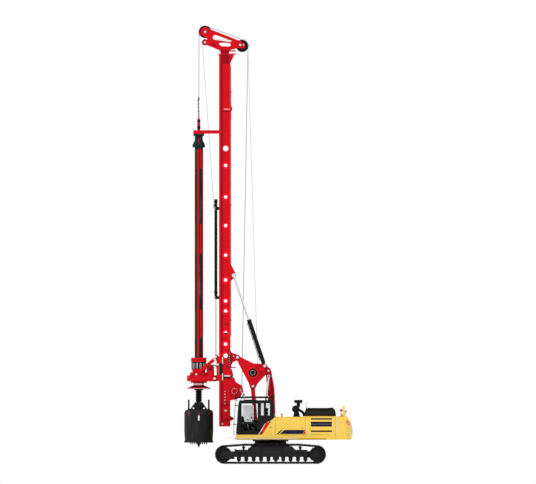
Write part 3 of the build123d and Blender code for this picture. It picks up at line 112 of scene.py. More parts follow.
def addLathe(shape, profile, centre, axis, sides=24, material=0, closed=False):
    # profile holds pairs of radius and distance along the axis; it's a loop unless it starts on the axis
    closed = closed or profile[0][0] > 0
    verts = [shape.verts.new((radius, 0, along)) for radius, along in profile]
    pairs = list(zip(verts, verts[1:]))
    if closed:
        pairs.append((verts[-1], verts[0]))
    edges = [shape.edges.new(pair) for pair in pairs]
    bmesh.ops.spin(shape, geom=verts + edges, cent=(0, 0, 0), axis=up, angle=2 * pi, steps=sides,
                   use_merge=True)
    verts = collect(verts)
    if not closed:
        bmesh.ops.remove_doubles(shape, verts=[v for v in verts if hypot(v.co.x, v.co.y) < 1e-6], dist=1e-5)
        verts = collect([v for v in verts if v.is_valid][:1])
    turn = Vector(axis).to_track_quat("Z", "Y").to_matrix().to_4x4()
    bmesh.ops.transform(shape, matrix=Matrix.Translation(Vector(centre)) @ turn, verts=verts)
    paintFaces(shape, verts, material)
    return verts


def collect(verts):
    # every vertex joined to these by edges
    found, queue = set(verts), list(verts)
    while queue:
        for edge in queue.pop().link_edges:
            for vert in edge.verts:
                if vert not in found:
                    found.add(vert)
                    queue.append(vert)
    return list(found)


def addRing(shape, centre, axis, inner, outer, low, high, sides=24, material=0):
    return addLathe(shape, ((inner, low), (outer, low), (outer, high), (inner, high)), centre, axis, sides,
                    material, closed=True)


def addPlate(shape, outline, low, high, plane="XZ", bevel=0.0, material=0, segments=1):
    # outline is a list of pairs in the plane, low and high are the two sides across it, in either order
    low, high = sorted((low, high))
    places = {"XZ": lambda a, b: (a, low, b), "XY": lambda a, b: (a, b, low), "YZ": lambda a, b: (low, a, b)}
    across = {"XZ": (0, 1, 0), "XY": up, "YZ": (1, 0, 0)}[plane]
    verts = [shape.verts.new(places[plane](a, b)) for a, b in outline]
    face = shape.faces.new(verts)
    made = bmesh.ops.extrude_face_region(shape, geom=[face])["geom"]
    moved = [item for item in made if isinstance(item, bmesh.types.BMVert)]
    bmesh.ops.translate(shape, vec=Vector(across) * (high - low), verts=moved)
    verts = verts + moved
    return finishEdges(shape, verts, bevel, segments, material)


def addBolts(shape, places, axis, size=0.018, height=0.014, material=0):
    # hexagon heads on washers, each with its foot at its place
    axis = Vector(axis)
    for place in places:
        place = Vector(place)
        addRod(shape, place, place + axis * height * 0.25, size * 0.75, 10, material)
        addRod(shape, place, place + axis * height, size * 0.55, 6, material)


def ringPlaces(centre, axis, radius, count, start=0.0):
    axis = Vector(axis).normalized()
    side = axis.orthogonal().normalized()
    other = axis.cross(side)
    turns = [start + 2 * pi * index / count for index in range(count)]
    return [Vector(centre) + (side * cos(turn) + other * sin(turn)) * radius for turn in turns]


def ringBolts(shape, centre, axis, radius, count, size, height, material=0, start=0.0):
    addBolts(shape, ringPlaces(centre, axis, radius, count, start), axis, size, height, material)


def arcPoints(x, z, radius, fromAngle, toAngle, count):
    steps = [fromAngle + (toAngle - fromAngle) * index / (count - 1) for index in range(count)]
    return [(x + radius * cos(radians(step)), z + radius * sin(radians(step))) for step in steps]


def stampCopies(shape, template, matrices):
    # a copy of the template's mesh under each matrix
    stamp = bpy.data.meshes.new("stamp")
    template.to_mesh(stamp)
    template.free()
    for matrix in matrices:
        before = len(shape.verts)
        shape.from_mesh(stamp)
        shape.verts.ensure_lookup_table()
        bmesh.ops.transform(shape, matrix=matrix, verts=shape.verts[before:])
    bpy.data.meshes.remove(stamp)


def hullPath(rounds, step=6.0):
    # points along the outside of circles (x, z, radius) listed counter-clockwise
    normals = []
    for (x, z, radius), (nextX, nextZ, nextRadius) in zip(rounds, rounds[1:] + rounds[:1]):
        length = hypot(nextX - x, nextZ - z)
        alongX, alongZ = (nextX - x) / length, (nextZ - z) / length
        lean = (radius - nextRadius) / length
        side = (1 - lean * lean) ** 0.5
        normals.append(degrees(atan2(lean * alongZ - side * alongX, lean * alongX + side * alongZ)))
    points = []
    for index, (x, z, radius) in enumerate(rounds):
        first, last = normals[index - 1], normals[index]
        last += 360 * (last < first)
        points += arcPoints(x, z, radius, first, last, max(int((last - first) / step), 1) + 1)
    return points


def alongPath(points, count):
    # evenly spaced places round a closed path, each with its direction
    corners = [Vector((x, 0, z)) for x, z in points]
    corners.append(corners[0])
    lengths = [(b - a).length for a, b in zip(corners, corners[1:])]
    pitch = sum(lengths) / count
    places, leg, done = [], 0, 0.0
    for index in range(count):
        wanted = (index + 0.5) * pitch
        while done + lengths[leg] < wanted:
            done += lengths[leg]
            leg += 1
        direction = (corners[leg + 1] - corners[leg]).normalized()
        places.append((corners[leg] + direction * (wanted - done), direction))
    return places, pitch


def makePiece(name, shape, body, slotName, *finishes, smoothAngle=38):
    bmesh.ops.remove_doubles(shape, verts=shape.verts, dist=1e-6)
    bmesh.ops.recalc_face_normals(shape, faces=shape.faces)
    for edge in shape.edges:
        edge.smooth = edge.calc_face_angle(0.0) < radians(smoothAngle)
    for face in shape.faces:
        face.smooth = True
    mesh = bpy.data.meshes.new(name)
    shape.to_mesh(mesh)
    shape.free()
    piece = bpy.data.objects.new(name, mesh)
    bpy.context.scene.collection.objects.link(piece)
    for finish in finishes:
        mesh.materials.append(finish)
    if body:
        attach(piece, body)
    return piece


def makeTubes(name, routes, radius, body, slotName, finish, sides=8):
    # smooth tubes through lists of points, turned into one mesh
    curve = bpy.data.curves.new(name + "Line", "CURVE")
    curve.dimensions = "3D"
    curve.bevel_depth = radius
    curve.bevel_resolution = max(sides // 4 - 1, 0)
    curve.use_fill_caps = True
    curve.resolution_u = 6
    for route in routes:
        spline = curve.splines.new("NURBS")
        spline.points.add(len(route) - 1)
        for point, place in zip(spline.points, route):
            point.co = (*place, 1)
        spline.order_u = 3
        spline.use_endpoint_u = True
    holder = bpy.data.objects.new(name + "Line", curve)
    bpy.context.scene.collection.objects.link(holder)
    mesh = bpy.data.meshes.new_from_object(holder.evaluated_get(bpy.context.evaluated_depsgraph_get()))
    bpy.data.objects.remove(holder)
    shape = bmesh.new()
    shape.from_mesh(mesh)
    bpy.data.meshes.remove(mesh)
    return makePiece(name, shape, body, slotName, finish, smoothAngle=60)


# finishes
def tint(red, green, blue):
    # screen values to the renderer's linear ones
    parts = [value / 255 for value in (red, green, blue)]
    return tuple(p / 12.92 if p <= 0.04045 else ((p + 0.055) / 1.055) ** 2.4 for p in parts) + (1.0,)


def newGroup(name, inputs, outputs):
    tree = bpy.data.node_groups.new(name, "ShaderNodeTree")
    for label, kind, value in inputs:
        entry = tree.interface.new_socket(label, in_out="INPUT", socket_type="NodeSocket" + kind)
        entry.default_value = value
    for label, kind in outputs:
        tree.interface.new_socket(label, in_out="OUTPUT", socket_type="NodeSocket" + kind)
    return tree, tree.nodes.new("NodeGroupInput"), tree.nodes.new("NodeGroupOutput")


def addNode(tree, kind, settings=(), **values):
    node = tree.nodes.new("ShaderNode" + kind)
    for key, value in dict(settings).items():
        setattr(node, key, value)
    for key, value in values.items():
        node.inputs[key.replace("_", " ")].default_value = value
    return node


def feed(tree, *pairs):
    # links each input to its socket, or sets its value
    for entry, value in pairs:
        if isinstance(value, bpy.types.NodeSocket):
            tree.links.new(value, entry)
        else:
            entry.default_value = value


def mixColours(tree, factor, first, second, blend="MIX"):
    node = addNode(tree, "Mix", {"data_type": "RGBA", "blend_type": blend})
    feed(tree, (node.inputs[0], factor), (node.inputs[6], first), (node.inputs[7], second))
    return node.outputs[2]


def mathNode(tree, operation, first, second=0.0):
    node = addNode(tree, "Math", {"operation": operation, "use_clamp": True})
    feed(tree, (node.inputs[0], first), (node.inputs[1], second))
    return node.outputs[0]


def rangeNode(tree, value, low, high, outLow=0.0, outHigh=1.0):
    node = addNode(tree, "MapRange")
    labels = ("Value", "From Min", "From Max", "To Min", "To Max")
    numbers = (value, low, high, outLow, outHigh)
    feed(tree, *((node.inputs[label], number) for label, number in zip(labels, numbers)))
    return node.outputs["Result"]


def makeMottleGroup():
    # slow variation of a paint or casting's colour and gloss, with a fine skin for the bump
    tree, start, end = newGroup(
        "surfaceMottle",
        (("Colour", "Color", (0.5, 0.5, 0.5, 1)), ("Amount", "Float", 0.1), ("Patch Scale", "Float", 1.5),
         ("Skin Scale", "Float", 60.0), ("Roughness", "Float", 0.4)),
        (("Colour", "Color"), ("Roughness", "Float"), ("Height", "Float")),
    )
    place = addNode(tree, "TexCoord").outputs["Object"]
    patches = addNode(tree, "TexNoise", Detail=4.0, Roughness=0.55)
    skin = addNode(tree, "TexNoise", Detail=3.0, Roughness=0.6)
    for noise, scale in ((patches, "Patch Scale"), (skin, "Skin Scale")):
        tree.links.new(place, noise.inputs["Vector"])
        tree.links.new(start.outputs[scale], noise.inputs["Scale"])
    mask = rangeNode(tree, patches.outputs["Fac"], 0.32, 0.68)
    dark = mixColours(tree, 1.0, start.outputs["Colour"], (0.62, 0.6, 0.6, 1), "MULTIPLY")
    weight = mathNode(tree, "MULTIPLY", mask, start.outputs["Amount"])
    tree.links.new(mixColours(tree, weight, start.outputs["Colour"], dark), end.inputs["Colour"])
    spread = mathNode(tree, "MULTIPLY", rangeNode(tree, skin.outputs["Fac"], 0.3, 0.7), 0.12)
    tree.links.new(mathNode(tree, "ADD", spread, start.outputs["Roughness"]), end.inputs["Roughness"])
    tree.links.new(skin.outputs["Fac"], end.inputs["Height"])
    return tree


def makeDustGroup():
    # pale dust that lies on upward faces and gathers near the ground
    tree, start, end = newGroup(
        "groundDust",
        (("Colour", "Color", (0.5, 0.5, 0.5, 1)), ("Dust Colour", "Color", tint(120, 112, 100)),
         ("Amount", "Float", 0.2), ("Reach", "Float", 1.2)),
        (("Colour", "Color"), ("Mask", "Float")),
    )
    coordinates = addNode(tree, "TexCoord")
    height = addNode(tree, "SeparateXYZ")
    upward = addNode(tree, "SeparateXYZ")
    cloud = addNode(tree, "TexNoise", Scale=4.0, Detail=6.0, Roughness=0.65)
    tree.links.new(coordinates.outputs["Object"], height.inputs[0])
    tree.links.new(coordinates.outputs["Normal"], upward.inputs[0])
    tree.links.new(coordinates.outputs["Object"], cloud.inputs["Vector"])
    low = rangeNode(tree, height.outputs["Z"], start.outputs["Reach"], 0.0, 0.15, 0.7)
    top = rangeNode(tree, upward.outputs["Z"], 0.3, 1.0, 0.0, 0.6)
    speckle = rangeNode(tree, cloud.outputs["Fac"], 0.38, 0.66)
    spread = mathNode(tree, "MULTIPLY", mathNode(tree, "ADD", low, top), speckle)
    mask = mathNode(tree, "MULTIPLY", spread, start.outputs["Amount"])
    tree.links.new(mixColours(tree, mask, start.outputs["Colour"], start.outputs["Dust Colour"]),
                   end.inputs["Colour"])
    tree.links.new(mask, end.inputs["Mask"])
    return tree


def makeScuffGroup():
    # thin bright scratches where paint has rubbed on steel
    tree, start, end = newGroup(
        "scuffMarks",
        (("Colour", "Color", (0.5, 0.5, 0.5, 1)), ("Steel Colour", "Color", tint(150, 148, 145)),
         ("Amount", "Float", 0.3), ("Scale", "Float", 9.0), ("Stretch", "Vector", (1, 1, 0.12))),
        (("Colour", "Color"), ("Mask", "Float")),
    )
    place = addNode(tree, "TexCoord").outputs["Object"]
    stretch = addNode(tree, "VectorMath", {"operation": "MULTIPLY"})
    streaks = addNode(tree, "TexNoise", Detail=8.0, Roughness=0.72)
    zones = addNode(tree, "TexNoise", Scale=1.3, Detail=2.0)
    tree.links.new(place, stretch.inputs[0])
    tree.links.new(start.outputs["Stretch"], stretch.inputs[1])
    tree.links.new(stretch.outputs[0], streaks.inputs["Vector"])
    tree.links.new(start.outputs["Scale"], streaks.inputs["Scale"])
    tree.links.new(place, zones.inputs["Vector"])
    fine = rangeNode(tree, streaks.outputs["Fac"], 0.56, 0.7)
    wide = rangeNode(tree, zones.outputs["Fac"], 0.42, 0.62)
    mask = mathNode(tree, "MULTIPLY", mathNode(tree, "MULTIPLY", fine, wide), start.outputs["Amount"])
    tree.links.new(mixColours(tree, mask, start.outputs["Colour"], start.outputs["Steel Colour"]),
                   end.inputs["Colour"])
    tree.links.new(mask, end.inputs["Mask"])
    return tree


effectGroups = {"mottle": makeMottleGroup(), "dust": makeDustGroup(), "scuff": makeScuffGroup()}


def placeGroup(tree, effect, **values):
    node = tree.nodes.new("ShaderNodeGroup")
    node.node_tree = effectGroups[effect]
    for key, value in values.items():
        node.inputs[key.replace("_", " ")].default_value = value
    return node


def makeFinish(name, colour, roughness=0.35, metallic=0.0, coat=0.0, mottle=0.12, patchScale=1.5,
               skinScale=60.0, bump=0.05, dust=0.0, dustReach=1.2, scuff=0.0, scuffStretch=(1, 1, 0.12),
               specular=0.18):
    finish = bpy.data.materials.new(name)
    finish.use_nodes = True
    tree = finish.node_tree
    shader = tree.nodes["Principled BSDF"]
    shader.inputs["Metallic"].default_value = metallic
    shader.inputs["Coat Weight"].default_value = coat
    shader.inputs["Coat Roughness"].default_value = 0.08
    shader.inputs["Specular IOR Level"].default_value = specular
    base = placeGroup(tree, "mottle", Colour=tint(*colour), Amount=mottle, Patch_Scale=patchScale,
                      Skin_Scale=skinScale, Roughness=roughness)
    shade = base.outputs["Colour"]
    if scuff:
        marks = placeGroup(tree, "scuff", Amount=scuff, Stretch=scuffStretch)
        tree.links.new(shade, marks.inputs["Colour"])
        shade = marks.outputs["Colour"]
    if dust:
        film = placeGroup(tree, "dust", Amount=dust, Reach=dustReach)
        tree.links.new(shade, film.inputs["Colour"])
        shade = film.outputs["Colour"]
    tree.links.new(shade, shader.inputs["Base Color"])
    tree.links.new(base.outputs["Roughness"], shader.inputs["Roughness"])
    relief = addNode(tree, "Bump", Strength=bump, Distance=0.002)
    tree.links.new(base.outputs["Height"], relief.inputs["Height"])
    tree.links.new(relief.outputs["Normal"], shader.inputs["Normal"])
    return finish


gloss = {"roughness": 0.38, "coat": 0.02, "mottle": 0.06, "bump": 0.03, "specular": 0.1}
satin = {"roughness": 0.48, "mottle": 0.15, "bump": 0.08, "specular": 0.12}
redPaint = makeFinish("redPaint", (206, 2, 22), dust=0.05, **gloss)
# deep red: the paint's own colour on the weight's thin stroke and a cab knob, and painted shade on the mast,
# the boom's panels, pin collars and the head's foot
deepRedAndShadePaint = makeFinish("deepRedAndShadePaint", (146, 4, 18), **gloss)
# bright red: the paint's own colour on the panel and door stripes, and painted highlight on the mast's rear
# edge, the boom's edge strips and rims of the red steelwork
brightRedAndHighlightPaint = makeFinish("brightRedAndHighlightPaint", (240, 8, 32), **gloss)
yellowPaint = makeFinish("yellowPaint", (248, 207, 92), dust=0.08, dustReach=1.6, **gloss)
darkYellowPaint = makeFinish("darkYellowPaint", (203, 160, 8), **gloss)
weightPaint = makeFinish("weightPaint", (246, 205, 92), roughness=0.42, specular=0.16, mottle=0.1,
                         patchScale=2.2, skinScale=26.0, bump=0.14, dust=0.1, dustReach=1.6)
whitePaint = makeFinish("whitePaint", (236, 238, 238), **gloss)
navyPaint = makeFinish("navyPaint", (17, 24, 62), **gloss)
paleTrim = makeFinish("paleTrim", (222, 214, 186), dust=0.1, dustReach=1.8, **gloss)
hoodGrey = makeFinish("hoodGrey", (42, 42, 42), **satin)
whipGrey = makeFinish("whipGrey", (176, 180, 184), **satin)
bronzePaint = makeFinish("bronzePaint", (128, 98, 20), **satin)
grilleGrey = makeFinish("grilleGrey", (96, 100, 112), **satin)
cabPaint = makeFinish("cabPaint", (25, 26, 27), **satin)
blackPaint = makeFinish("blackPaint", (15, 15, 16), **satin)
coverPaint = makeFinish("coverPaint", (34, 34, 34), **satin)
chassisPaint = makeFinish("chassisPaint", (22, 22, 22), roughness=0.5, mottle=0.3, bump=0.12, dust=0.08,
                          dustReach=1.0)
trackSteel = makeFinish("trackSteel", (21, 21, 21), roughness=0.55, metallic=0.25, mottle=0.3, skinScale=35.0,
                        bump=0.3, dust=0.12, dustReach=1.0, scuff=0.3, scuffStretch=(1, 0.2, 1))
rodChrome = makeFinish("rodChrome", (212, 214, 218), roughness=0.14, metallic=1.0, mottle=0.04, bump=0.01)
pinSteel = makeFinish("pinSteel", (222, 228, 230), roughness=0.3, metallic=0.35, mottle=0.1, bump=0.05)
# pale steel with a pink tint: the pink is a painted reflection of the red paint round the pins and bolts, and
# a painted highlight on top of the winch cradle's band
redReflectionSteel = makeFinish("redReflectionSteel", (232, 196, 200), roughness=0.35, metallic=0.2, mottle=0.1, bump=0.05)
ropeSteel = makeFinish("ropeSteel", (168, 168, 170), roughness=0.5, metallic=0.5, mottle=0.25,
                       skinScale=160.0, bump=0.3)
springSteel = makeFinish("springSteel", (20, 20, 21), roughness=0.45, metallic=0.3, mottle=0.15, bump=0.1)
kellySteel = makeFinish("kellySteel", (13, 34, 31), roughness=0.45, metallic=0.3, mottle=0.25, bump=0.12,
                        scuff=0.35, scuffStretch=(1, 1, 0.04))
bucketSteel = makeFinish("bucketSteel", (29, 29, 30), roughness=0.55, metallic=0.25, mottle=0.3,
                         skinScale=30.0, bump=0.22, scuff=0.3, dust=0.05, dustReach=1.6)
seatFabric = makeFinish("seatFabric", (38, 40, 44), roughness=0.85, mottle=0.15, skinScale=320.0, bump=0.4)
rubber = makeFinish("rubber", (20, 20, 21), roughness=0.75, mottle=0.1, skinScale=120.0, bump=0.15)


def makeLens(name, colour, glow=0.15):
    # moulded lamp cover with fine ribs; its glow is lamp light on lamps and painted light on the reflector
    # strokes, sight glass, camera lens and blind cloth
    finish = makeFinish(name, colour, roughness=0.12, coat=0.4, mottle=0.05, skinScale=180.0, bump=0.25,
                        specular=0.4)
    shader = finish.node_tree.nodes["Principled BSDF"]
    shader.inputs["Emission Color"].default_value = tint(*colour)
    shader.inputs["Emission Strength"].default_value = glow
    return finish


redLens = makeLens("redLens", (222, 20, 34))
amberLens = makeLens("amberLens", (240, 180, 30))
blueLens = makeLens("blueLens", (176, 182, 222))
clearLens = makeLens("clearLens", (225, 232, 236), 0.05)


def makeGlass():
    finish = bpy.data.materials.new("windowGlass")
    finish.use_nodes = True
    tree = finish.node_tree
    shader = tree.nodes["Principled BSDF"]
    shader.inputs["Base Color"].default_value = tint(244, 247, 247)
    shader.inputs["Roughness"].default_value = 0.03
    shader.inputs["Transmission Weight"].default_value = 1.0
    shader.inputs["IOR"].default_value = 1.05
    return finish


windowGlass = makeGlass()
# grey and white cloth of the sun blinds glows: painted light standing for the light seen through the far
# windows
blindClothPaintedLight = makeLens("blindClothPaintedLight", (206, 206, 206), 0.55)
whiteClothPaintedLight = makeLens("whiteClothPaintedLight", (240, 236, 236), 0.7)
screenBlue = makeLens("screenBlue", (46, 74, 110), 0.2)
print("finishes made")

nodeFinishes = {
    redPaint: "boom front_link triangle_frame mast_column mast_head drive_carriage drive_gearbox "
              "drive_sleeve kelly_guide",
    yellowPaint: "deck_frame linkage_bracket engine_housing side_panel fuel_tank rear_post "
                 "service_door_left radiator_door_left pump_door_right",
    weightPaint: "counterweight",
    cabPaint: "cab_shell cab_door roof_guard",
    blackPaint: "engine_hood engine_block air_cleaner luff_cylinder_barrels mast_cylinder_barrels "
                "crowd_cylinder aux_winch_drum main_winch_drum main_sheave aux_sheave rear_sheaves "
                "kelly_spring",
    chassisPaint: "car_body slew_ring track_frame_left track_frame_right track_rollers track_wheels",
    trackSteel: "track_left track_right",
    rodChrome: "luff_cylinder_rods mast_cylinder_rods crowd_rod",
    kellySteel: "kelly_bar",
    bucketSteel: "bucket_shell bucket_gate",
    seatFabric: "operator_seat",
    rubber: "control_console",
    windowGlass: "cab_glass cab_door_glass",
}
for finish, names in nodeFinishes.items():
    for nodeName in names.split():
        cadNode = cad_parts[nodeName]
        for materialSlot in cadNode.material_slots:
            materialSlot.material = finish
print("frame painted")

# crawler tracks: shoes, links and pins round each loop
track = {
    "rounds": [(2.12, 0.446, 0.417), (1.366, 0.752, 0.179), (-1.237, 0.752, 0.179), (-2.12, 0.446, 0.417)],
    "shoes": 58, "halfWidth": 0.35, "thickness": 0.02, "gauge": 1.75, "boltX": 0.034, "boltY": (0.085, 0.14),
    "grousers": ((0.0, 0.0275, 0.021), (-0.068, 0.0265, 0.018), (0.068, 0.0265, 0.018)),
}
shoePlaces, shoePitch = alongPath(hullPath(track["rounds"]), track["shoes"])


def makeShoe(odd):
    shape = bmesh.new()
    half, wide, cut = shoePitch / 2 - 0.001, track["halfWidth"], 0.035
    outline = [(-half, -wide + cut), (-half + cut, -wide), (half - cut, -wide), (half, -wide + cut),
               (half, wide - cut), (half - cut, wide), (-half + cut, wide), (-half, wide - cut)]
    addPlate(shape, outline, -track["thickness"], 0, plane="XY", bevel=0.003)
    for along, height, thick in track["grousers"]:
        verts = addBlock(shape, (along - thick, -wide + 0.02, -0.001), (along + thick, wide - 0.02, height))
        tops = [vert for vert in verts if vert.co.z > height / 2]
        bmesh.ops.scale(shape, vec=(0.6, 1, 1), space=Matrix.Translation((-along, 0, 0)), verts=tops)
    for y in track["boltY"]:
        places = [(x * track["boltX"], side * y, 0) for x in mirrorSides for side in mirrorSides]
        addBolts(shape, places, up, 0.026, 0.011, material=1)
    reach, tall = shoePitch / 2 + 0.032, 0.069
    low, high = -track["thickness"] - tall, -track["thickness"]
    link = [(-reach, low + 0.02), (-reach + 0.02, low), (reach - 0.02, low), (reach, low + 0.02),
            (reach, high - 0.016), (reach - 0.03, high + 0.002), (-reach + 0.03, high + 0.002),
            (-reach, high - 0.016)]
    y = 0.082 if odd else 0.106
    for side in mirrorSides:
        addPlate(shape, link, side * y - 0.0115, side * y + 0.0115, bevel=0.002, material=1)
    pinZ = low + tall / 2
    addPin(shape, shoePitch / 2, pinZ, -0.119, 0.119, 0.019, 12, 1)
    addPin(shape, shoePitch / 2, pinZ, -0.07, 0.07, 0.03, 14, 1)
    return shape


for side, sideName in zip(mirrorSides, ("Left", "Right")):
    shape = bmesh.new()
    for odd in (0, 1):
        matrices = []
        for place, along in shoePlaces[odd::2]:
            turn = Matrix((along, (0, -1, 0), (along.z, 0, -along.x))).transposed().to_4x4()
            matrices.append(Matrix.Translation(place + vec(0, side * track["gauge"], 0)) @ turn)
        stampCopies(shape, makeShoe(odd), matrices)
    for vert in shape.verts:
        vert.co.z = max(vert.co.z, 0.0)
    chain = makePiece("trackChain" + sideName, shape, "undercarriage", "track_steel", trackSteel,
                      chassisPaint)
    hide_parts("track_" + sideName.lower())

# wheels, rollers and frames of the crawlers
crawler = {"wheelX": 2.12, "wheelZ": 0.446, "teeth": 11, "hubFace": 0.19, "faceY": 0.19, "capY": 0.165,
           "rollerZ": 0.2188, "rollerX": (-1.455, 1.605), "rollers": 10, "carrierX": (-1.237, 1.366),
           "carrierZ": 0.766, "axleX": ((-0.874, -0.405), (0.529, 0.994)),
           "welds": ((-1.6, -0.9), (-0.38, 0.5), (1.02, 1.66)),
           "covers": ((-2.2, -1.7, 0.275, 0.56, 2), (-0.2, 0.33, 0.44, 0.58, 2), (0.1, 0.4, 0.2, 0.33, 0))}
firstX, lastX = crawler["rollerX"]
rollerPlaces = [firstX + (lastX - firstX) * index / (crawler["rollers"] - 1)
                for index in range(crawler["rollers"])]
for side, sideName in zip(mirrorSides, ("Left", "Right")):
    y = side * track["gauge"]
    shape = bmesh.new()
    for index in range(crawler["teeth"]):
        tooth = bmesh.new()
        addPlate(tooth, [(-0.05, 0.315), (0.05, 0.315), (0.022, 0.37), (-0.022, 0.37)], -0.035, 0.035,
                 bevel=0.006)
        place = Matrix.Translation((crawler["wheelX"], y, crawler["wheelZ"]))
        stampCopies(shape, tooth, [place @ Matrix.Rotation(2 * pi * index / crawler["teeth"], 4, "Y")])
    for wheelX in (-crawler["wheelX"], crawler["wheelX"]):
        for face in mirrorSides:
            outwards, centre = (0, face, 0), (wheelX, y, crawler["wheelZ"])
            addRing(shape, centre, outwards, 0.288, 0.316, 0.1, 0.112, 40)
            addRing(shape, centre, outwards, 0.32, 0.343, 0.01, 0.064, 64)
            foot = (wheelX, y + face * 0.1, crawler["wheelZ"])
            ringBolts(shape, foot, outwards, 0.25, 20, 0.024, 0.016, 1)
            addRing(shape, centre, outwards, 0.19, 0.222, 0.1, 0.118, 40)
    # planet gear cover of the final drive
    hub = (crawler["wheelX"], y + side * crawler["hubFace"], crawler["wheelZ"])
    outwards = (0, side, 0)
    addLathe(shape, ((0, 0.012), (0.085, 0.012), (0.1, 0.006), (0.104, -0.004), (0, -0.004)), hub, outwards,
             32, 2)
    addRing(shape, hub, outwards, 0.1, 0.174, -0.05, 0.005, 40, 2)
    ringBolts(shape, (hub[0], y + side * 0.112, hub[2]), outwards, 0.302, 12, 0.034, 0.016, 2)
    ringBolts(shape, hub, outwards, 0.128, 16, 0.022, 0.016, 1)
    for turn in (-0.6, 2.2):
        plug = Vector(hub) + vec(0.05 * cos(turn), side * 0.012, 0.05 * sin(turn))
        addRod(shape, plug, plug + vec(0, side * 0.014, 0), 0.014, 6, 1)
    idler = (-crawler["wheelX"], y + side * crawler["faceY"], crawler["wheelZ"])
    addLathe(shape, ((0, 0.016), (0.05, 0.014), (0.072, 0.004), (0.086, 0.004), (0.086, -0.002), (0, -0.002)),
             idler, outwards, 28)
    ringBolts(shape, idler, outwards, 0.105, 6, 0.022, 0.016, 1, start=0.5)
    for face in mirrorSides:
        capY, outwards = y + face * crawler["capY"], (0, face, 0)
        for rollerX in rollerPlaces:
            addLathe(shape, ((0, 0.014), (0.03, 0.012), (0.036, 0), (0, -0.004)),
                     (rollerX, capY, crawler["rollerZ"] + 0.008), outwards, 16)
            places = [(rollerX + shift, capY, crawler["rollerZ"] + 0.075) for shift in (-0.03, 0.03)]
            addBolts(shape, places, outwards, 0.02, 0.012, 1)
        for carrierX in crawler["carrierX"]:
            addLathe(shape, ((0, 0.016), (0.028, 0.013), (0.034, 0), (0, -0.004)),
                     (carrierX, capY, crawler["carrierZ"]), outwards, 16)
    makePiece("wheelDetails" + sideName, shape, "undercarriage", "black_steel", chassisPaint, blackPaint,
              coverPaint)

    shape = bmesh.new()
    for face in mirrorSides:
        flank = y + face * crawler["faceY"]
        cover, outwards = flank + face * 0.008, (0, face, 0)
        # covers over the idler yoke and the box, axle flanges, weld strips along the box
        for lowX, highX, lowZ, highZ, material in crawler["covers"]:
            addBlock(shape, (lowX, flank, lowZ), (highX, cover, highZ), 0.004, material)
        addBolts(shape, [(x, cover, z) for x in (-2.17, -1.95, -1.73) for z in (0.305, 0.53)], outwards,
                 0.022, 0.014, 1)
        for lowX, highX in crawler["axleX"]:
            axleY = y + face * 0.215
            rimY = axleY + face * 0.006
            addBlock(shape, (lowX + 0.015, axleY, 0.36), (highX - 0.015, rimY, 0.815), 0.004, 2)
            rim = [(x, rimY, z) for z in (0.4, 0.53, 0.66, 0.77) for x in (lowX + 0.06, highX - 0.06)]
            addBolts(shape, rim, outwards, 0.024, 0.014, 1)
        for z in (0.345, 0.652):
            for lowX, highX in crawler["welds"]:
                addBlock(shape, (lowX, flank, z - 0.01), (highX, flank + face * 0.007, z + 0.01), 0.003)
        for x in rollerPlaces:
            addPlate(shape, [(x - 0.12, 0.345), (x - 0.06, 0.215), (x + 0.06, 0.215), (x + 0.12, 0.345)],
                     y + face * 0.15, y + face * 0.166, bevel=0.003)
        addBolts(shape, [(x, cover, z) for x in (-0.16, 0.065, 0.29) for z in (0.465, 0.555)], outwards, 0.02,
                 0.012, 1)
    # grease valve and cover of the track tensioner, steps on the crown
    for stepX in (-0.3, 0.12):
        for bar in range(4):
            addBlock(shape, (stepX, y - 0.13 + bar * 0.075, 0.823),
                     (stepX + 0.3, y - 0.1 + bar * 0.075, 0.832), 0.003)
    addPost(shape, -1.62, y, 0.667, 0.69, 0.05, 20)
    addPost(shape, -1.62, y, 0.69, 0.705, 0.018, 6, 1)
    makePiece("frameDetails" + sideName, shape, "undercarriage", "black_steel", chassisPaint, blackPaint,
              coverPaint)

# car body: ring bolts, gussets and the hose joint in the middle
carBody = {"ringZ": 0.961, "bolts": 40, "boltRadius": 0.727, "gussets": 16, "gussetFoot": 0.95, "teeth": 96}
shape = bmesh.new()
ringBolts(shape, (0, 0, carBody["ringZ"]), up, carBody["boltRadius"], carBody["bolts"], 0.034, 0.024, 1)
for index in range(carBody["gussets"]):
    turn = 2 * pi * (index + 0.5) / carBody["gussets"]
    if abs(sin(turn)) * carBody["gussetFoot"] < 0.72:
        gusset = bmesh.new()
        addPlate(gusset, [(0.755, 0.76), (carBody["gussetFoot"], 0.76), (carBody["gussetFoot"], 0.785),
                          (0.79, 0.93), (0.755, 0.93)], -0.012, 0.012, bevel=0.003)
        stampCopies(shape, gusset, [Matrix.Rotation(turn, 4, "Z")])
addRing(shape, (0, 0, 0), up, 0.76, 0.778, 0.925, 0.961, 64)
addPost(shape, 0, 0, 0.76, 1.05, 0.16, 28)
addRing(shape, (0, 0, 0), up, 0.16, 0.2, 0.94, 0.97, 28)
for side in mirrorSides:
    for x in (-0.63, 0.76):
        places = [(x + dx, side * dy, 0.76) for dx in (-0.14, 0.14) for dy in (0.85, 1.15, 1.45)]
        addBolts(shape, places, up, 0.034, 0.022, 1)
    for end in mirrorSides:
        addRing(shape, (end * 1.123, 0, 0.56), (0, 0, side), 0.036, 0.062, 0.04, 0.046)
makePiece("carBodyDetails", shape, "undercarriage", "black_steel", chassisPaint, blackPaint)
shape = bmesh.new()
for index in range(carBody["teeth"]):
    turn = 2 * pi * index / carBody["teeth"]
    foot = around(turn)
    across = vec(-sin(turn), cos(turn), 0)
    corners = [foot * 0.69 - across * 0.016, foot * 0.69 + across * 0.016, foot * 0.722 + across * 0.008,
               foot * 0.722 - across * 0.008]
    addPlate(shape, [(corner.x, corner.y) for corner in corners], 0.975, 1.058, plane="XY")
addBolts(shape, ringPlaces((0, 0, 1.067), up, 0.785, 44), (0, 0, -1), 0.03, 0.022, 1)
makePiece("slewRingDetails", shape, "undercarriage", "black_steel", chassisPaint, blackPaint)
print("crawlers made")

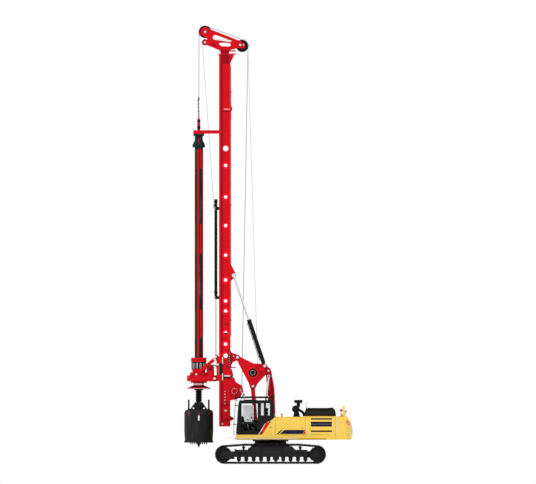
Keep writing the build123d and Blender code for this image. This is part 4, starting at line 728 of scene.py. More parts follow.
# upper deck and superstructure
deck = {
    "half": 1.5, "front": -1.592, "stripZ": (1.16, 1.2), "stripEnd": 1.262, "bandZ": (1.124, 1.192),
    "bandX": (1.265, 2.567), "lamps": (-1.497, -0.581, 0.334, 1.245), "lampZ": 1.152, "walkZ": 1.352,
}
shape = bmesh.new()
for side in mirrorSides:
    face = side * deck["half"]
    low, high = face - side * 0.004, face + side * 0.006
    addBlock(shape, (deck["front"] + 0.01, low, deck["stripZ"][0]),
             (deck["stripEnd"], high, deck["stripZ"][1]), 0.002)
    # bronze band under the pale strip: painted shade below the strip
    addBlock(shape, (deck["front"] + 0.012, low, 1.1225), (deck["stripEnd"], high, 1.142), 0.002, 4)
    addBlock(shape, (deck["bandX"][0], low, deck["bandZ"][0]), (deck["bandX"][1], high, deck["bandZ"][1]),
             0.002, 1)
    for x in deck["lamps"]:
        addPin(shape, x, deck["lampZ"], face, face + side * 0.014, 0.036, 16, 4)
        addPin(shape, x, deck["lampZ"], face, face + side * 0.02, 0.031, 16, 3)
    for index in range(12):
        x = deck["front"] + 0.12 + index * 0.38
        addBolts(shape, [(x, face, 1.325)], (0, side, 0), 0.016, 0.01, 1)
addBlock(shape, (deck["front"] - 0.006, -1.49, 1.16), (deck["front"] + 0.004, 1.49, 1.2), 0.002)
# feeler rod and its bracket at the front corner
addRod(shape, (-1.95, -1.46, 1.191), (-1.6, -1.46, 1.191), 0.008, 10)
addBlock(shape, (-1.625, -1.485, 1.165), (-1.59, -1.435, 1.217), 0.004, 2)
makePiece("deckTrim", shape, "upper", "yellow", paleTrim, darkYellowPaint, blackPaint, blueLens, bronzePaint)

# walkway plates with raised studs on the deck's front, between the cab and the tank
shape = bmesh.new()
for lowX, lowY, highX, highY in ((-1.57, -0.55, -0.88, -0.5), (-1.57, 0.5, -0.9, 0.6),
                                 (-1.57, -0.48, -0.86, 0.48)):
    addBlock(shape, (lowX, lowY, deck["walkZ"]), (highX, highY, deck["walkZ"] + 0.006), 0.002)
studs = [(x * 0.06 - 1.53, y * 0.06 - 0.45) for x in range(11) for y in range(16)]
for x, y in studs:
    addPost(shape, x, y, deck["walkZ"] + 0.005, deck["walkZ"] + 0.012, 0.014, 8, 0, 0.009)
# tie plates on the deck's front edge
for side in mirrorSides:
    addBlock(shape, (-1.588, side * 0.62 - 0.09, 1.24), (-1.6, side * 0.62 + 0.09, 1.33), 0.003, 1)
    addBolts(shape, [(-1.6, side * 0.62 + dy, 1.285) for dy in (-0.06, 0.06)], (-1, 0, 0), 0.02, 0.012, 1)
makePiece("deckWalk", shape, "upper", "black_steel", blackPaint, chassisPaint)

# side panel behind the cab: flange over the cab's edge, slanted stripes, vent ring, screws
panel = {"face": -1.5, "wall": -1.4705, "ventZ": 1.69,
         "flange": [(-0.56, 1.366), (-0.38, 1.366), (0.0, 1.95), (0.0, 2.0), (-0.13, 1.945), (-0.262, 1.858)],
         "white": [(-0.558, 1.368), (-0.506, 1.368), (-0.222, 1.886), (-0.262, 1.86)],
         "red": [(-0.506, 1.368), (-0.368, 1.368), (-0.045, 1.925), (-0.13, 1.935), (-0.222, 1.886)]}
shape = bmesh.new()
addPlate(shape, panel["flange"], panel["face"], panel["wall"], material=4)
for band, material in (("white", 0), ("red", 1)):
    addPlate(shape, panel[band], panel["face"] + 0.001, panel["face"] - 0.002, material=material)
vent = (0, panel["face"], panel["ventZ"])
addRing(shape, vent, (0, -1, 0), 0.05, 0.08, -0.002, 0.006, 28, 2)
for bar in range(-2, 3):
    wide = (0.05 ** 2 - (bar * 0.018) ** 2) ** 0.5
    addBlock(shape, (-wide, -1.502, panel["ventZ"] - 0.003 + bar * 0.018),
             (wide, -1.499, panel["ventZ"] + 0.003 + bar * 0.018), 0, 3)
addBolts(shape, [(0.089, -1.5, 1.882), (0.053, -1.5, 1.387)], (0, -1, 0), 0.018, 0.008, 3)
makePiece("panelTrim", shape, "upper", "yellow", whitePaint, brightRedAndHighlightPaint, yellowPaint, bronzePaint,
          yellowPaint)

# doors: navy band with a red tip on the service door, slats in the others, latches
door = {"face": 1.5, "bottom": 1.39, "rise": 0.186, "latch": (1.465, 1.66), "slatLatch": (1.832, 1.644),
        "slatX": (1.856, 2.827), "rows": ((1.481, 1.555), (1.73, 1.955), (2.047, 2.116)), "slatPitch": 0.025}
shape = bmesh.new()
for lowX, highX, leanLow, leanHigh, material in ((0.288, 0.375, 1.05, 0.96, 0), (0.438, 1.47, 1.05, 0.62, 0),
                                                 (1.482, 1.611, 0.58, 0, 1)):
    low, high = door["bottom"], door["bottom"] + door["rise"]
    outline = [(lowX, low), (highX, low), (highX + leanHigh * door["rise"], high),
               (lowX + leanLow * door["rise"], high)]
    addPlate(shape, outline, -door["face"] + 0.001, -door["face"] - 0.002, material=material)
x, z = door["latch"]
addBox(shape, (x, -1.5025, z), (0.052, 0.007, 0.036), 0.003, 2)
addPin(shape, x, z, -1.505, -1.511, 0.01, 12, 3)
makePiece("serviceDoorTrim", shape, "service_door_left", "yellow", navyPaint, brightRedAndHighlightPaint, blackPaint,
          pinSteel)
for name, side in (("radiator_door_left", -1), ("pump_door_right", 1)):
    shape = bmesh.new()
    lowX, highX = door["slatX"]
    for row, (lowZ, highZ) in enumerate(door["rows"]):
        addBlock(shape, (lowX, side * 1.4745, lowZ + 0.001), (highX, side * 1.477, highZ - 0.001))
        if row == 1:
            addBlock(shape, (lowX, side * 1.4765, 1.812), (highX, side * 1.4785, 1.872), 0, 1)
        count = round((highZ - lowZ) / door["slatPitch"])
        step = (highZ - lowZ) / count
        for index in range(count):
            z = lowZ + (index + 0.5) * step
            outline = [(side * 1.4765, z + 0.001), (side * 1.4935, z - 0.007), (side * 1.4935, z - 0.0035),
                       (side * 1.4765, z + 0.0055)]
            middle = row == 1 and abs(index - (count - 1) / 2) < 1.6
            addPlate(shape, outline, lowX, highX, plane="YZ", material=1 if middle else 0)
        for x in (lowX + 0.32, lowX + 0.65):
            addBlock(shape, (x - 0.006, side * 1.476, lowZ), (x + 0.006, side * 1.495, highZ))
    x, z = door["slatLatch"]
    addBlock(shape, (x - 0.02, side * 1.499, z - 0.018), (x + 0.02, side * 1.506, z + 0.018), 0.003, 2)
    addPin(shape, x, z, side * 1.505, side * 1.511, 0.01, 12, 3)
    makePiece("slats" + name.title().replace("_", ""), shape, name, "yellow", navyPaint, grilleGrey,
              blackPaint, pinSteel)

# top of the housing: filler cap, lifting eyes, seams
house = {"top": 2.18, "capX": 0.52, "capY": -1.1, "seams": (0.215, 1.622)}
shape = bmesh.new()
capX, capY = house["capX"], house["capY"]
addLathe(shape, ((0, 0.147), (0.03, 0.144), (0.046, 0.13), (0.048, 0.09), (0.04, 0.084), (0, 0.084)),
         (capX, capY, house["top"]), up, 24, 1)
addLathe(shape, ((0, 0.086), (0.034, 0.086), (0.034, 0.014), (0.056, 0.01), (0.056, -0.002), (0, -0.002)),
         (capX, capY, house["top"]), up, 24, 1)
addBlock(shape, (capX - 0.075, capY - 0.012, house["top"] + 0.118),
         (capX - 0.03, capY + 0.012, house["top"] + 0.142), 0.003, 3)
for x in (0.35, 1.45):
    for side in mirrorSides:
        addBox(shape, (x, side * 1.25, house["top"] + 0.004), (0.12, 0.06, 0.012), 0.003)
        addRing(shape, (x, side * 1.25, house["top"] + 0.024), (1, 0, 0), 0.014, 0.026, -0.008, 0.008, 20)
for x in house["seams"]:
    for side in mirrorSides:
        addBlock(shape, (x - 0.004, side * 1.4995, 1.36), (x + 0.004, side * 1.5025, 2.16), 0, 1)
for side in mirrorSides:
    addBlock(shape, (0.2, side * 1.4995, 1.3555), (2.985, side * 1.503, 1.3635), 0, 1)
# grip strips on the roof
for strip in range(3):
    addBlock(shape, (0.75, 0.35 + strip * 0.28, house["top"] - 0.001),
             (1.45, 0.53 + strip * 0.28, house["top"] + 0.003), 0.001, 2)
places = [(0.27 + 0.2 * index, side * 1.46, house["top"]) for index in range(6) for side in mirrorSides]
addBolts(shape, places, up, 0.018, 0.01, 2)
makePiece("housingTrim", shape, "upper", "yellow", yellowPaint, darkYellowPaint, blackPaint, whipGrey)


# engine hood: shell, side grilles, latches, ribs across the top
hood = {"half": 1.05, "ribX": (1.66, 2.9), "ribs": 31,
        "crown": [(1.559, 2.217), (1.575, 2.4), (1.63, 2.54), (1.68, 2.576), (2.86, 2.576), (2.94, 2.54),
                  (2.995, 2.4), (3.013, 2.217)],
        "lining": [(2.983, 2.217), (2.966, 2.39), (2.917, 2.517), (2.85, 2.548), (1.69, 2.548), (1.654, 2.52),
                   (1.604, 2.39), (1.589, 2.217)]}
shape = bmesh.new()
addPlate(shape, hood["crown"] + hood["lining"], -hood["half"] + 0.028, hood["half"] - 0.028)
for side in mirrorSides:
    addPlate(shape, hood["crown"], side * hood["half"], side * (hood["half"] - 0.03), bevel=0.008)
for y in (-0.6, 0.0, 0.6):
    addPlate(shape, [(1.66, 2.549), (2.88, 2.549), (2.88, 2.525), (1.66, 2.525)], y - 0.02, y + 0.02)
for side in mirrorSides:
    addBlock(shape, (2.984, side * 0.67, 2.2), (3.012, side * 0.79, 2.25), 0.003)
for side in mirrorSides:
    face = side * hood["half"]
    low, high = face - side * 0.002, face + side * 0.012
    for index in range(hood["ribs"]):
        x = hood["ribX"][0] + (hood["ribX"][1] - hood["ribX"][0]) * index / (hood["ribs"] - 1)
        addBlock(shape, (x - 0.009, low, 2.285), (x + 0.009, high, 2.44), 0.003, 2)
    addBlock(shape, (1.64, face - 0.002, 2.28), (2.92, face + 0.004, 2.45), 0.002, 2)
    for lowX, highX, lowZ, highZ, material in ((1.62, 2.95, 2.268, 2.282, 0), (1.64, 2.95, 2.445, 2.459, 0),
                                               (1.6, 2.99, 2.222, 2.24, 1)):
        addBlock(shape, (lowX, low, lowZ), (highX, high, highZ), 0.003, material)
    for x in (1.85, 2.7):
        addBlock(shape, (x - 0.03, low, 2.215), (x + 0.03, high + side * 0.004, 2.262), 0.004, 1)
for index in range(9):
    y = -0.8 + index * 0.2
    addBlock(shape, (1.74, y - 0.03, 2.572), (2.8, y + 0.03, 2.588), 0.006)
# low grille box near the rear
addBlock(shape, (2.68, -0.42, 2.57), (2.9, 0.42, 2.6), 0.014, 2)
for index in range(10):
    addBlock(shape, (2.695, -0.38 + index * 0.08, 2.597), (2.885, -0.35 + index * 0.08, 2.605), 0.002, 1)
for index in range(8):
    z = 2.25 + index * 0.02
    addBlock(shape, (3.011, -0.62, z), (3.019, 0.62, z + 0.009), 0.002, 1)
addLathe(shape, ((0, 0), (0.03, 0), (0.03, 0.03), (0, 0.03)), (1.74, 0.4, 2.576), up, 16, 1)
hoodPiece = makePiece("hoodPanels", shape, "engine_hood", "black_steel", blackPaint, rubber, hoodGrey)
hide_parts("engine_hood")
# whip aerial and its foot
shape = bmesh.new()
for low, high, *rod in ((2.18, 2.24, 0.018, 12, 1, 0.012), (2.24, 2.62, 0.02, 10, 1, 0.018),
                        (2.62, 2.889, 0.018, 10, 0, 0.012)):
    addPost(shape, 1.638, -0.9, low, high, *rod)
makePiece("aerial", shape, "upper", "black_steel", whipGrey, blackPaint)

# air cleaner: clamps, end cover, finned rain cap, feet, hose to the engine
cleaner = {"x": 1.164, "z": 2.535, "near": -0.8, "far": -0.2, "stackX": 1.283}
shape = bmesh.new()
for y in (cleaner["near"] + 0.1, -0.5, cleaner["far"] - 0.1):
    addRing(shape, (cleaner["x"], y, cleaner["z"]), (0, 1, 0), 0.16, 0.174, -0.014, 0.014, 36, 1)
    addBox(shape, (cleaner["x"] - 0.177, y, cleaner["z"]), (0.026, 0.04, 0.06), 0.004, 1)
addLathe(shape, ((0, 0.03), (0.07, 0.026), (0.13, 0.012), (0.158, 0), (0.158, -0.01), (0, -0.01)),
         (cleaner["x"], cleaner["near"], cleaner["z"]), (0, -1, 0), 36)
addPin(shape, cleaner["x"], cleaner["z"], cleaner["near"] - 0.02, cleaner["near"] - 0.055, 0.02, 6, 1)
for z, radius in ((2.66, 0.088), (2.79, 0.088)):
    addRing(shape, (cleaner["stackX"], -0.5, z), up, 0.076, radius, -0.012, 0.012, 32, 1)
for index in range(22):
    turn = 2 * pi * index / 22
    fin = bmesh.new()
    addBlock(fin, (0.178, -0.006, 2.83), (0.188, 0.006, 2.93), 0.002)
    place = Matrix.Translation((cleaner["stackX"], -0.5, 0))
    stampCopies(shape, fin, [place @ Matrix.Rotation(turn, 4, "Z")])
addLathe(shape, ((0, 0), (0.12, -0.002), (0.18, -0.012), (0.186, -0.024), (0.17, -0.024), (0, -0.02)),
         (cleaner["stackX"], -0.5, 2.9575), up, 36)
for x, y in ((1.07, -0.66), (1.07, -0.34), (1.34, -0.66), (1.34, -0.34)):
    addBox(shape, (x, y, 2.185), (0.1, 0.06, 0.014), 0.003, 1)
    addBolts(shape, [(x, y, 2.192)], up, 0.024, 0.014, 1)
makePiece("cleanerTrim", shape, "upper", "black_steel", blackPaint, rubber)
makeTubes("intakeHose", [[(1.2, -0.36, 2.5), (1.32, -0.34, 2.49), (1.42, -0.3, 2.44), (1.5, -0.26, 2.37),
                          (1.54, -0.24, 2.3), (1.545, -0.24, 2.2)]], 0.062, "upper", "black_steel", rubber,
          sides=16)

# counterweight: reflectors, lamps, lifting caps, parting grooves
weight = {"radius": 3.781, "half": 1.46, "top": 2.194, "lugX": 3.585,
          "strokes": (((3.47, 1.965), (3.548, 1.845), 0.05, 1), ((3.53, 1.862), (3.69, 1.785), 0.036, 1),
                      ((3.506, 1.974), (3.65, 1.921), 0.016, 5))}


def weightPoint(x, z, lift, side):
    # a place on the curved back, or on the flat flank ahead of it
    y = min((weight["radius"] ** 2 - x * x) ** 0.5, weight["half"])
    outwards = vec(x, y, 0).normalized() if y < weight["half"] - 1e-6 else vec(0, 1, 0)
    spot = vec(x, y, z) + outwards * lift
    return vec(spot.x, side * spot.y, spot.z)


shape = bmesh.new()
for side in mirrorSides:
    # bent reflector: a steep arm, a long low arm and a thin dark one
    # the red arms use the lens finish, whose glow is painted light
    for (fromX, fromZ), (toX, toZ), tall, finish in weight["strokes"]:
        rows = []
        for step in range(7):
            part = step / 6
            x, z = fromX + (toX - fromX) * part, fromZ + (toZ - fromZ) * part
            rows.append([shape.verts.new(weightPoint(x, z + dz, lift, side)) for dz, lift in
                         ((-tall, -0.01), (-tall, 0.007), (tall, 0.007), (tall, -0.01))])
        for near, far in zip(rows, rows[1:]):
            for index in range(4):
                face = shape.faces.new((near[index], near[(index + 1) % 4], far[(index + 1) % 4], far[index]))
                face.material_index = finish
        for row in (rows[0], rows[-1]):
            shape.faces.new(row).material_index = finish
    addBlock(shape, (2.996, side * 1.4595, 1.4), (3.052, side * 1.4625, 2.13), 0, 4)
    spot = weightPoint(weight["lugX"], 1.34, 0, side)
    outwards = vec(spot.x, spot.y, 0).normalized()
    addRing(shape, spot, outwards, 0.026, 0.044, -0.02, 0.006, 24, 2)
    addRod(shape, spot - outwards * 0.02, spot + outwards * 0.003, 0.026, 20, 6)
    addBlock(shape, (2.994, side * 1.4595, 1.14), (3.004, side * 1.4625, 1.4), 0, 2)
    addRing(shape, (3.2, side * 0.9, weight["top"]), up, 0.046, 0.085, -0.002, 0.014, 32)
    turn = Matrix.Rotation(side * 0.11, 4, "Z")
    lamp = bmesh.new()
    addBlock(lamp, (3.74, -0.13, 1.52), (3.788, 0.13, 1.6), 0.01, 1)
    addBlock(lamp, (3.74, -0.15, 1.505), (3.782, 0.15, 1.615), 0.006, 3)
    stampCopies(shape, lamp, [turn])
addBlock(shape, (3.05, -1.3, weight["top"] - 0.001), (3.42, -1.0, weight["top"] + 0.004), 0.001, 3)
addBlock(shape, (3.05, 1.0, weight["top"] - 0.001), (3.42, 1.3, weight["top"] + 0.004), 0.001, 3)
makePiece("weightTrim", shape, "upper", "cast_weight", weightPaint, redLens, darkYellowPaint, blackPaint,
          paleTrim, deepRedAndShadePaint, bronzePaint)

# rear post: warning lamp, camera, foot
post = {"x": 3.376, "y": -1.15, "foot": 2.194}
shape = bmesh.new()
addLathe(shape, ((0, 0.05), (0.035, 0.046), (0.058, 0.03), (0.06, 0), (0.06, -0.05), (0.052, -0.058),
                 (0, -0.058)), (3.258, post["y"], 2.486), up, 28, 1)
lens = bmesh.ops.create_uvsphere(shape, u_segments=24, v_segments=14, radius=0.056,
                                 matrix=Matrix.Translation((3.236, post["y"] - 0.012, 2.486)))["verts"]
paintFaces(shape, lens, 0)
addRing(shape, (3.262, post["y"], 2.2), up, 0.0, 0.022, 0.0, 0.165, 16, 4)
addRing(shape, (3.262, post["y"], 2.196), up, 0.0, 0.036, 0.0, 0.04, 16, 4)
for end in mirrorSides:
    x = post["x"] + end * 0.04
    addPlate(shape, [(x, 2.194), (x + end * 0.055, 2.194), (x + end * 0.01, 2.35), (x, 2.35)],
             post["y"] - 0.008, post["y"] + 0.008, bevel=0.002, material=3)
ball = bmesh.ops.create_uvsphere(shape, u_segments=20, v_segments=12, radius=0.042,
                                 matrix=Matrix.Translation((3.462, post["y"], 2.425)))["verts"]
paintFaces(shape, ball, 1)
addRod(shape, (3.41, post["y"], 2.44), (3.46, post["y"], 2.43), 0.016, 10, 1)
addRod(shape, (3.462, post["y"], 2.41), (3.5, post["y"], 2.4), 0.022, 16, 2)
addBlock(shape, (3.3, post["y"] - 0.075, post["foot"]), (3.45, post["y"] + 0.075, post["foot"] + 0.014),
         0.003, 3)
addBolts(shape, [(3.375 + dx, post["y"] + dy, post["foot"] + 0.014) for dx in (-0.058, 0.058)
                 for dy in (-0.058, 0.058)], up, 0.02, 0.012, 1)
addBlock(shape, (3.215, post["y"] - 0.045, post["foot"] + 0.08), (3.3, post["y"] + 0.045, post["foot"] + 0.2),
         0.008, 3)
makePiece("postTrim", shape, "upper", "yellow", redLens, blackPaint, clearLens, yellowPaint, bronzePaint)
makeTubes("postCable", [[(3.45, -1.14, 2.42), (3.44, -1.12, 2.36), (3.432, -1.1, 2.3), (3.43, -1.1, 2.2)]],
          0.006, "upper", "black_steel", rubber)


# tank and steps on the right side: filler cap, tread plates, grab rail, strap seams, sight glass
tank = {"front": -1.5, "rear": 0.198, "inner": 0.62, "outer": 1.48, "top": 2.12, "stepX": -0.76,
        "stepTop": 1.7}
shape = bmesh.new()
capPlace = (tank["rear"] - 0.22, 1.28, tank["top"])
addLathe(shape, ((0, 0.052), (0.05, 0.05), (0.062, 0.042), (0.064, 0.016), (0.078, 0.01), (0.078, -0.002),
                 (0, -0.002)), capPlace, up, 32, 1)
ringBolts(shape, (capPlace[0], capPlace[1], tank["top"] + 0.009), up, 0.07, 8, 0.012, 0.006, 1)
treads = (((tank["stepX"] + 0.06, tank["rear"] - 0.34), tank["top"]),
          ((tank["front"] + 0.06, tank["stepX"] - 0.04), tank["stepTop"]))
for (lowX, highX), z in treads:
    addBlock(shape, (lowX, tank["inner"] + 0.08, z - 0.001), (highX, tank["outer"] - 0.06, z + 0.006), 0.002,
             1)
    across, along = 12, max(int((highX - lowX) / 0.055), 2)
    for row in range(along):
        for column in range(across):
            x = lowX + (highX - lowX) * (row + 0.5) / along
            y = tank["inner"] + 0.1 + (tank["outer"] - tank["inner"] - 0.18) * (column + 0.5) / across
            addBox(shape, (x, y, z + 0.00675), (0.026, 0.008, 0.0035), 0.001, 1)
for x in (tank["stepX"] + 0.2, tank["rear"] - 0.16):
    addBlock(shape, (x - 0.025, tank["outer"] - 0.002, 1.37),
             (x + 0.025, tank["outer"] + 0.006, tank["top"] - 0.05), 0.002)
    addBolts(shape, [(x, tank["outer"] + 0.006, z) for z in (1.41, 2.03)], (0, 1, 0), 0.018, 0.008, 1)
addBlock(shape, (-0.17, tank["outer"] - 0.002, 1.5), (-0.12, tank["outer"] + 0.008, 1.98), 0.003, 1)
addBlock(shape, (-0.157, tank["outer"] + 0.006, 1.53), (-0.133, tank["outer"] + 0.011, 1.95), 0.002, 2)
makePiece("tankTrim", shape, "upper", "yellow", yellowPaint, blackPaint, clearLens)
railY = tank["outer"] - 0.035
makeTubes("tankRail", [[(tank["stepX"] + 0.05, railY, tank["top"] - 0.001),
                        (tank["stepX"] + 0.05, railY, tank["top"] + 0.16),
                        (tank["stepX"] + 0.1, railY, tank["top"] + 0.2),
                        (tank["rear"] - 0.42, railY, tank["top"] + 0.2),
                        (tank["rear"] - 0.37, railY, tank["top"] + 0.16),
                        (tank["rear"] - 0.37, railY, tank["top"] - 0.001)]], 0.016, "upper", "black_steel",
          blackPaint, 12)
print("superstructure made")


# cab: frames round its panes and its door
def offsetOutline(outline, width):
    # the outline moved outwards by the width, with mitred corners
    count = len(outline)
    area = sum(outline[i][0] * outline[(i + 1) % count][1] - outline[(i + 1) % count][0] * outline[i][1]
               for i in range(count))
    sign = 1 if area > 0 else -1
    moved = []
    for index in range(count):
        before, here, after = (Vector(outline[(index + step) % count]) for step in (-1, 0, 1))
        first, second = (here - before).normalized(), (after - here).normalized()
        normals = [sign * Vector((line.y, -line.x)) for line in (first, second)]
        mitre = (normals[0] + normals[1]).normalized()
        moved.append(tuple(here + mitre * width / max(mitre.dot(normals[0]), 0.3)))
    return moved


def addBand(shape, outline, width, low, high, plane="XZ", material=0):
    # a flat frame between the outline and its outward copy
    places = {"XZ": lambda a, b, c: (a, c, b), "YZ": lambda a, b, c: (c, a, b)}[plane]
    loops = [[shape.verts.new(places(a, b, level)) for a, b in line]
             for line, level in ((outline, low), (offsetOutline(outline, width), low),
                                 (offsetOutline(outline, width), high), (outline, high))]
    for near, far in zip(loops, loops[1:] + loops[:1]):
        for index in range(len(outline)):
            face = shape.faces.new((near[index - 1], near[index], far[index], far[index - 1]))
            face.material_index = material


cab = {"outer": -1.47, "inner": -0.56, "middle": -1.015, "doorFace": -1.48,
       "door": [(-1.45, 1.43), (-1.385, 2.85), (-0.52, 2.85), (-0.52, 1.43)],
       "doorPanes": ([(-1.352, 1.95), (-1.33, 2.79), (-0.59, 2.79), (-0.59, 1.95)],
                     [(-1.375, 1.52), (-1.362, 1.85), (-0.59, 1.85), (-0.59, 1.52)]),
       "sidePanes": ((-0.437, -0.313, 2.25, 2.806), (-0.205, -0.032, 2.24, 2.806)),
       "innerPanes": ((-1.33, -0.56, 1.9, 2.8), (-0.43, 0.05, 1.95, 2.8)),
       "frontPanes": ((2.01, 2.8), (1.48, 1.93)), "frontHalf": 0.385, "rearPane": (1.95, 2.78),
       "rearHalf": 0.37, "frontFoot": (-1.573, 1.366), "frontHead": (-1.458, 2.884)}
shape = bmesh.new()
for pane in cab["doorPanes"]:
    addBand(shape, pane, 0.03, cab["doorFace"] + 0.001, cab["doorFace"] - 0.007)
# handle, lock, and a pressed rib along the foot of the door
addBlock(shape, (-1.325, -1.489, 1.878), (-1.225, -1.479, 1.918), 0.004, 1)
addRod(shape, (-1.315, -1.497, 1.905), (-1.235, -1.497, 1.905), 0.009, 10, 1)
for x in (-1.31, -1.24):
    addPin(shape, x, 1.905, -1.48, -1.498, 0.007, 8, 1)
addBlock(shape, (-1.36, -1.484, 1.452), (-0.6, -1.479, 1.492), 0.004, 2)
makePiece("doorTrim", shape, "cab_door", "cab_grey", rubber, grilleGrey, cabPaint)

shape = bmesh.new()
addBand(shape, offsetOutline(cab["door"], 0.004), 0.016, cab["outer"] + 0.001, cab["outer"] - 0.005)
for lowX, highX, lowZ, highZ in cab["sidePanes"]:
    addBand(shape, [(lowX, lowZ), (highX, lowZ), (highX, highZ), (lowX, highZ)], 0.026, cab["outer"] + 0.001,
            cab["outer"] - 0.006)
for lowX, highX, lowZ, highZ in cab["innerPanes"]:
    addBand(shape, [(lowX, lowZ), (highX, lowZ), (highX, highZ), (lowX, highZ)], 0.026, cab["inner"] - 0.001,
            cab["inner"] + 0.006)
lowZ, highZ = cab["rearPane"]
near, far = cab["middle"] - cab["rearHalf"], cab["middle"] + cab["rearHalf"]
addBand(shape, [(near, lowZ), (far, lowZ), (far, highZ), (near, highZ)], 0.026, 0.1695, 0.176, plane="YZ")
# fittings of the slanted front, made upright and then leaned back
front = bmesh.new()
for lowZ, highZ in cab["frontPanes"]:
    near, far = cab["middle"] - cab["frontHalf"], cab["middle"] + cab["frontHalf"]
    addBand(front, [(near, lowZ), (far, lowZ), (far, highZ), (near, highZ)], 0.026, 0.0005, -0.007,
            plane="YZ")
for pivotY, tipY, pivotZ, tipZ in ((-0.72, -1.12, 1.955, 2.52), (-1.3, -1.02, 1.44, 1.72)):
    addRod(front, (-0.014, pivotY, pivotZ), (-0.002, pivotY, pivotZ), 0.022, 14, 1)
    addRod(front, (-0.018, pivotY, pivotZ), (-0.016, tipY, tipZ), 0.007, 8, 1, 0.005)
    along = (vec(0, tipY, tipZ) - vec(0, pivotY, pivotZ)).normalized() * 0.22
    addRod(front, vec(-0.009, tipY, tipZ) - along, vec(-0.009, tipY, tipZ) + along, 0.006, 8)
(footX, footZ), (headX, headZ) = cab["frontFoot"], cab["frontHead"]
lean = (headX - footX) / (headZ - footZ)
leanBack = Matrix(((1, 0, lean, footX - lean * footZ), (0, 1, 0, 0), (0, 0, 1, 0), (0, 0, 0, 1)))
stampCopies(shape, front, [leanBack])
# roof: hatch, ribs, vent box behind
addBlock(shape, (-1.2, -1.34, 2.937), (-0.62, -0.69, 2.968), 0.012, 2)
addBlock(shape, (-1.14, -1.28, 2.966), (-0.68, -0.75, 2.974), 0.004, 2)
for y in (-1.24, -1.09, -0.94, -0.79):
    addBlock(shape, (-0.5, y - 0.02, 2.936), (0.06, y + 0.02, 2.946), 0.004, 2)
for x in (-1.16, -0.66):
    for y in (-1.3, -0.73):
        addBolts(shape, [(x, y, 2.967)], up, 0.016, 0.01, 1)
# rain strip over the door, step under it
addBlock(shape, (-1.4, -1.488, 2.874), (-0.46, -1.469, 2.888), 0.003, 2)
addBlock(shape, (-1.35, -1.497, 1.372), (-0.75, -1.47, 1.4), 0.004, 1)
makePiece("cabTrim", shape, "upper", "cab_grey", rubber, blackPaint, cabPaint)

# rail ahead of the windscreen with its clamps
rail = {"y": (-1.42, -0.61), "radius": 0.021,
        "line": ((-1.578, 2.985), (-1.585, 2.9), (-1.6, 2.8), (-1.655, 2.3), (-1.684, 1.9), (-1.684, 1.5),
                 (-1.682, 1.362))}
makeTubes("frontRail", [[(x, y, z) for x, z in rail["line"]] for y in rail["y"]], rail["radius"], "upper",
          "rod_chrome", whipGrey, sides=12)
shape = bmesh.new()
for y in rail["y"]:
    for z, railX in ((2.697, -1.611), (1.838, -1.684)):
        wallX = footX + lean * (z - footZ) + 0.004
        addRing(shape, (railX, y, z), up, 0.018, 0.034, -0.024, 0.024, 16)
        addBlock(shape, (railX + 0.018, y - 0.014, z - 0.016), (wallX, y + 0.014, z + 0.016), 0.003)
        addBox(shape, (wallX - 0.004, y, z), (0.008, 0.07, 0.09), 0.002)
    addBlock(shape, (-1.7, y - 0.035, 1.352), (-1.585, y + 0.035, 1.368), 0.003)
    addBlock(shape, (-1.594, y - 0.035, 1.27), (-1.585, y + 0.035, 1.368), 0.002)
for z in (1.62, 2.22):
    railX = -1.684 if z < 2 else -1.661
    addPin(shape, railX, z, rail["y"][0], rail["y"][1], 0.012, 10)
makePiece("railClamps", shape, "upper", "black_steel", blackPaint)

# guard over the roof: rims, drooping front bracket, braces, lamps, mirror arm, stub aerial
guard = {"y": (-1.44, -0.59), "frontX": -1.653}
shape = bmesh.new()
for y in guard["y"]:
    addRod(shape, (guard["frontX"] + 0.3, y, 3.104), (0.17, y, 3.104), 0.016, 10)
    addRod(shape, (guard["frontX"] + 0.02, y, 3.046), (0.17, y, 3.046), 0.013, 10)
    addPlate(shape, [(-1.655, 3.045), (-1.345, 3.045), (-1.345, 3.112), (-1.42, 3.112), (-1.655, 3.08)],
             y - 0.03, y + 0.03, bevel=0.004)
    addPlate(shape, [(-1.615, 3.05), (-1.5, 3.05), (-1.55, 2.99), (-1.576, 2.962), (-1.598, 2.985)],
             y - 0.026, y + 0.026, bevel=0.004)
    addRod(shape, (-1.279, y, 3.06), (-1.425, y, 2.9), 0.013, 10)
    for x in (-1.214, -0.216, -0.069):
        addBox(shape, (x, y, 2.9435), (0.06, 0.06, 0.017), 0.003)
        addBolts(shape, [(x + dx * 0.022, y + dy * 0.022, 2.952) for dx in mirrorSides for dy in mirrorSides],
                 up, 0.012, 0.008)
    for x in (-1.202, -0.09):
        side = -1 if y < cab["middle"] else 1
        addPin(shape, x, 3.1, y + side * 0.018, y + side * 0.034, 0.021, 14, 1)
addPin(shape, -1.63, 3.062, -1.44, -0.59, 0.022, 12)
for y in (-1.38, -0.67):
    # round work lamp on a stalk
    addPost(shape, -1.21, y, 3.09, 3.17, 0.012, 8)
    addLathe(shape, ((0, -0.04), (0.03, -0.038), (0.052, -0.01), (0.056, 0.03), (0.05, 0.034), (0.048, 0.022),
                     (0, 0.022)), (-1.222, y, 3.208), (-1, 0, 0))
    addRod(shape, (-1.244, y, 3.208), (-1.25, y, 3.208), 0.047, 24, 2)
addPost(shape, 0.152, -1.2, 3.06, 3.14, 0.018, 12)
addPost(shape, 0.152, -1.2, 3.14, 3.222, 0.028, 14, 0, 0.024)
makePiece("guardFittings", shape, "upper", "black_steel", blackPaint, amberLens, clearLens)
makeTubes("mirrorArm", [[(-1.25, -1.4, 3.08), (-1.262, -1.41, 3.12), (-1.33, -1.43, 3.3),
                         (-1.38, -1.44, 3.43), (-1.389, -1.44, 3.47)]], 0.017, "upper", "rod_chrome",
          whipGrey, sides=12)

# inside: seat cushions, controls, monitor, pedals, sun blinds that glow as painted light
seat = {"middle": -1.015, "lean": radians(-81)}


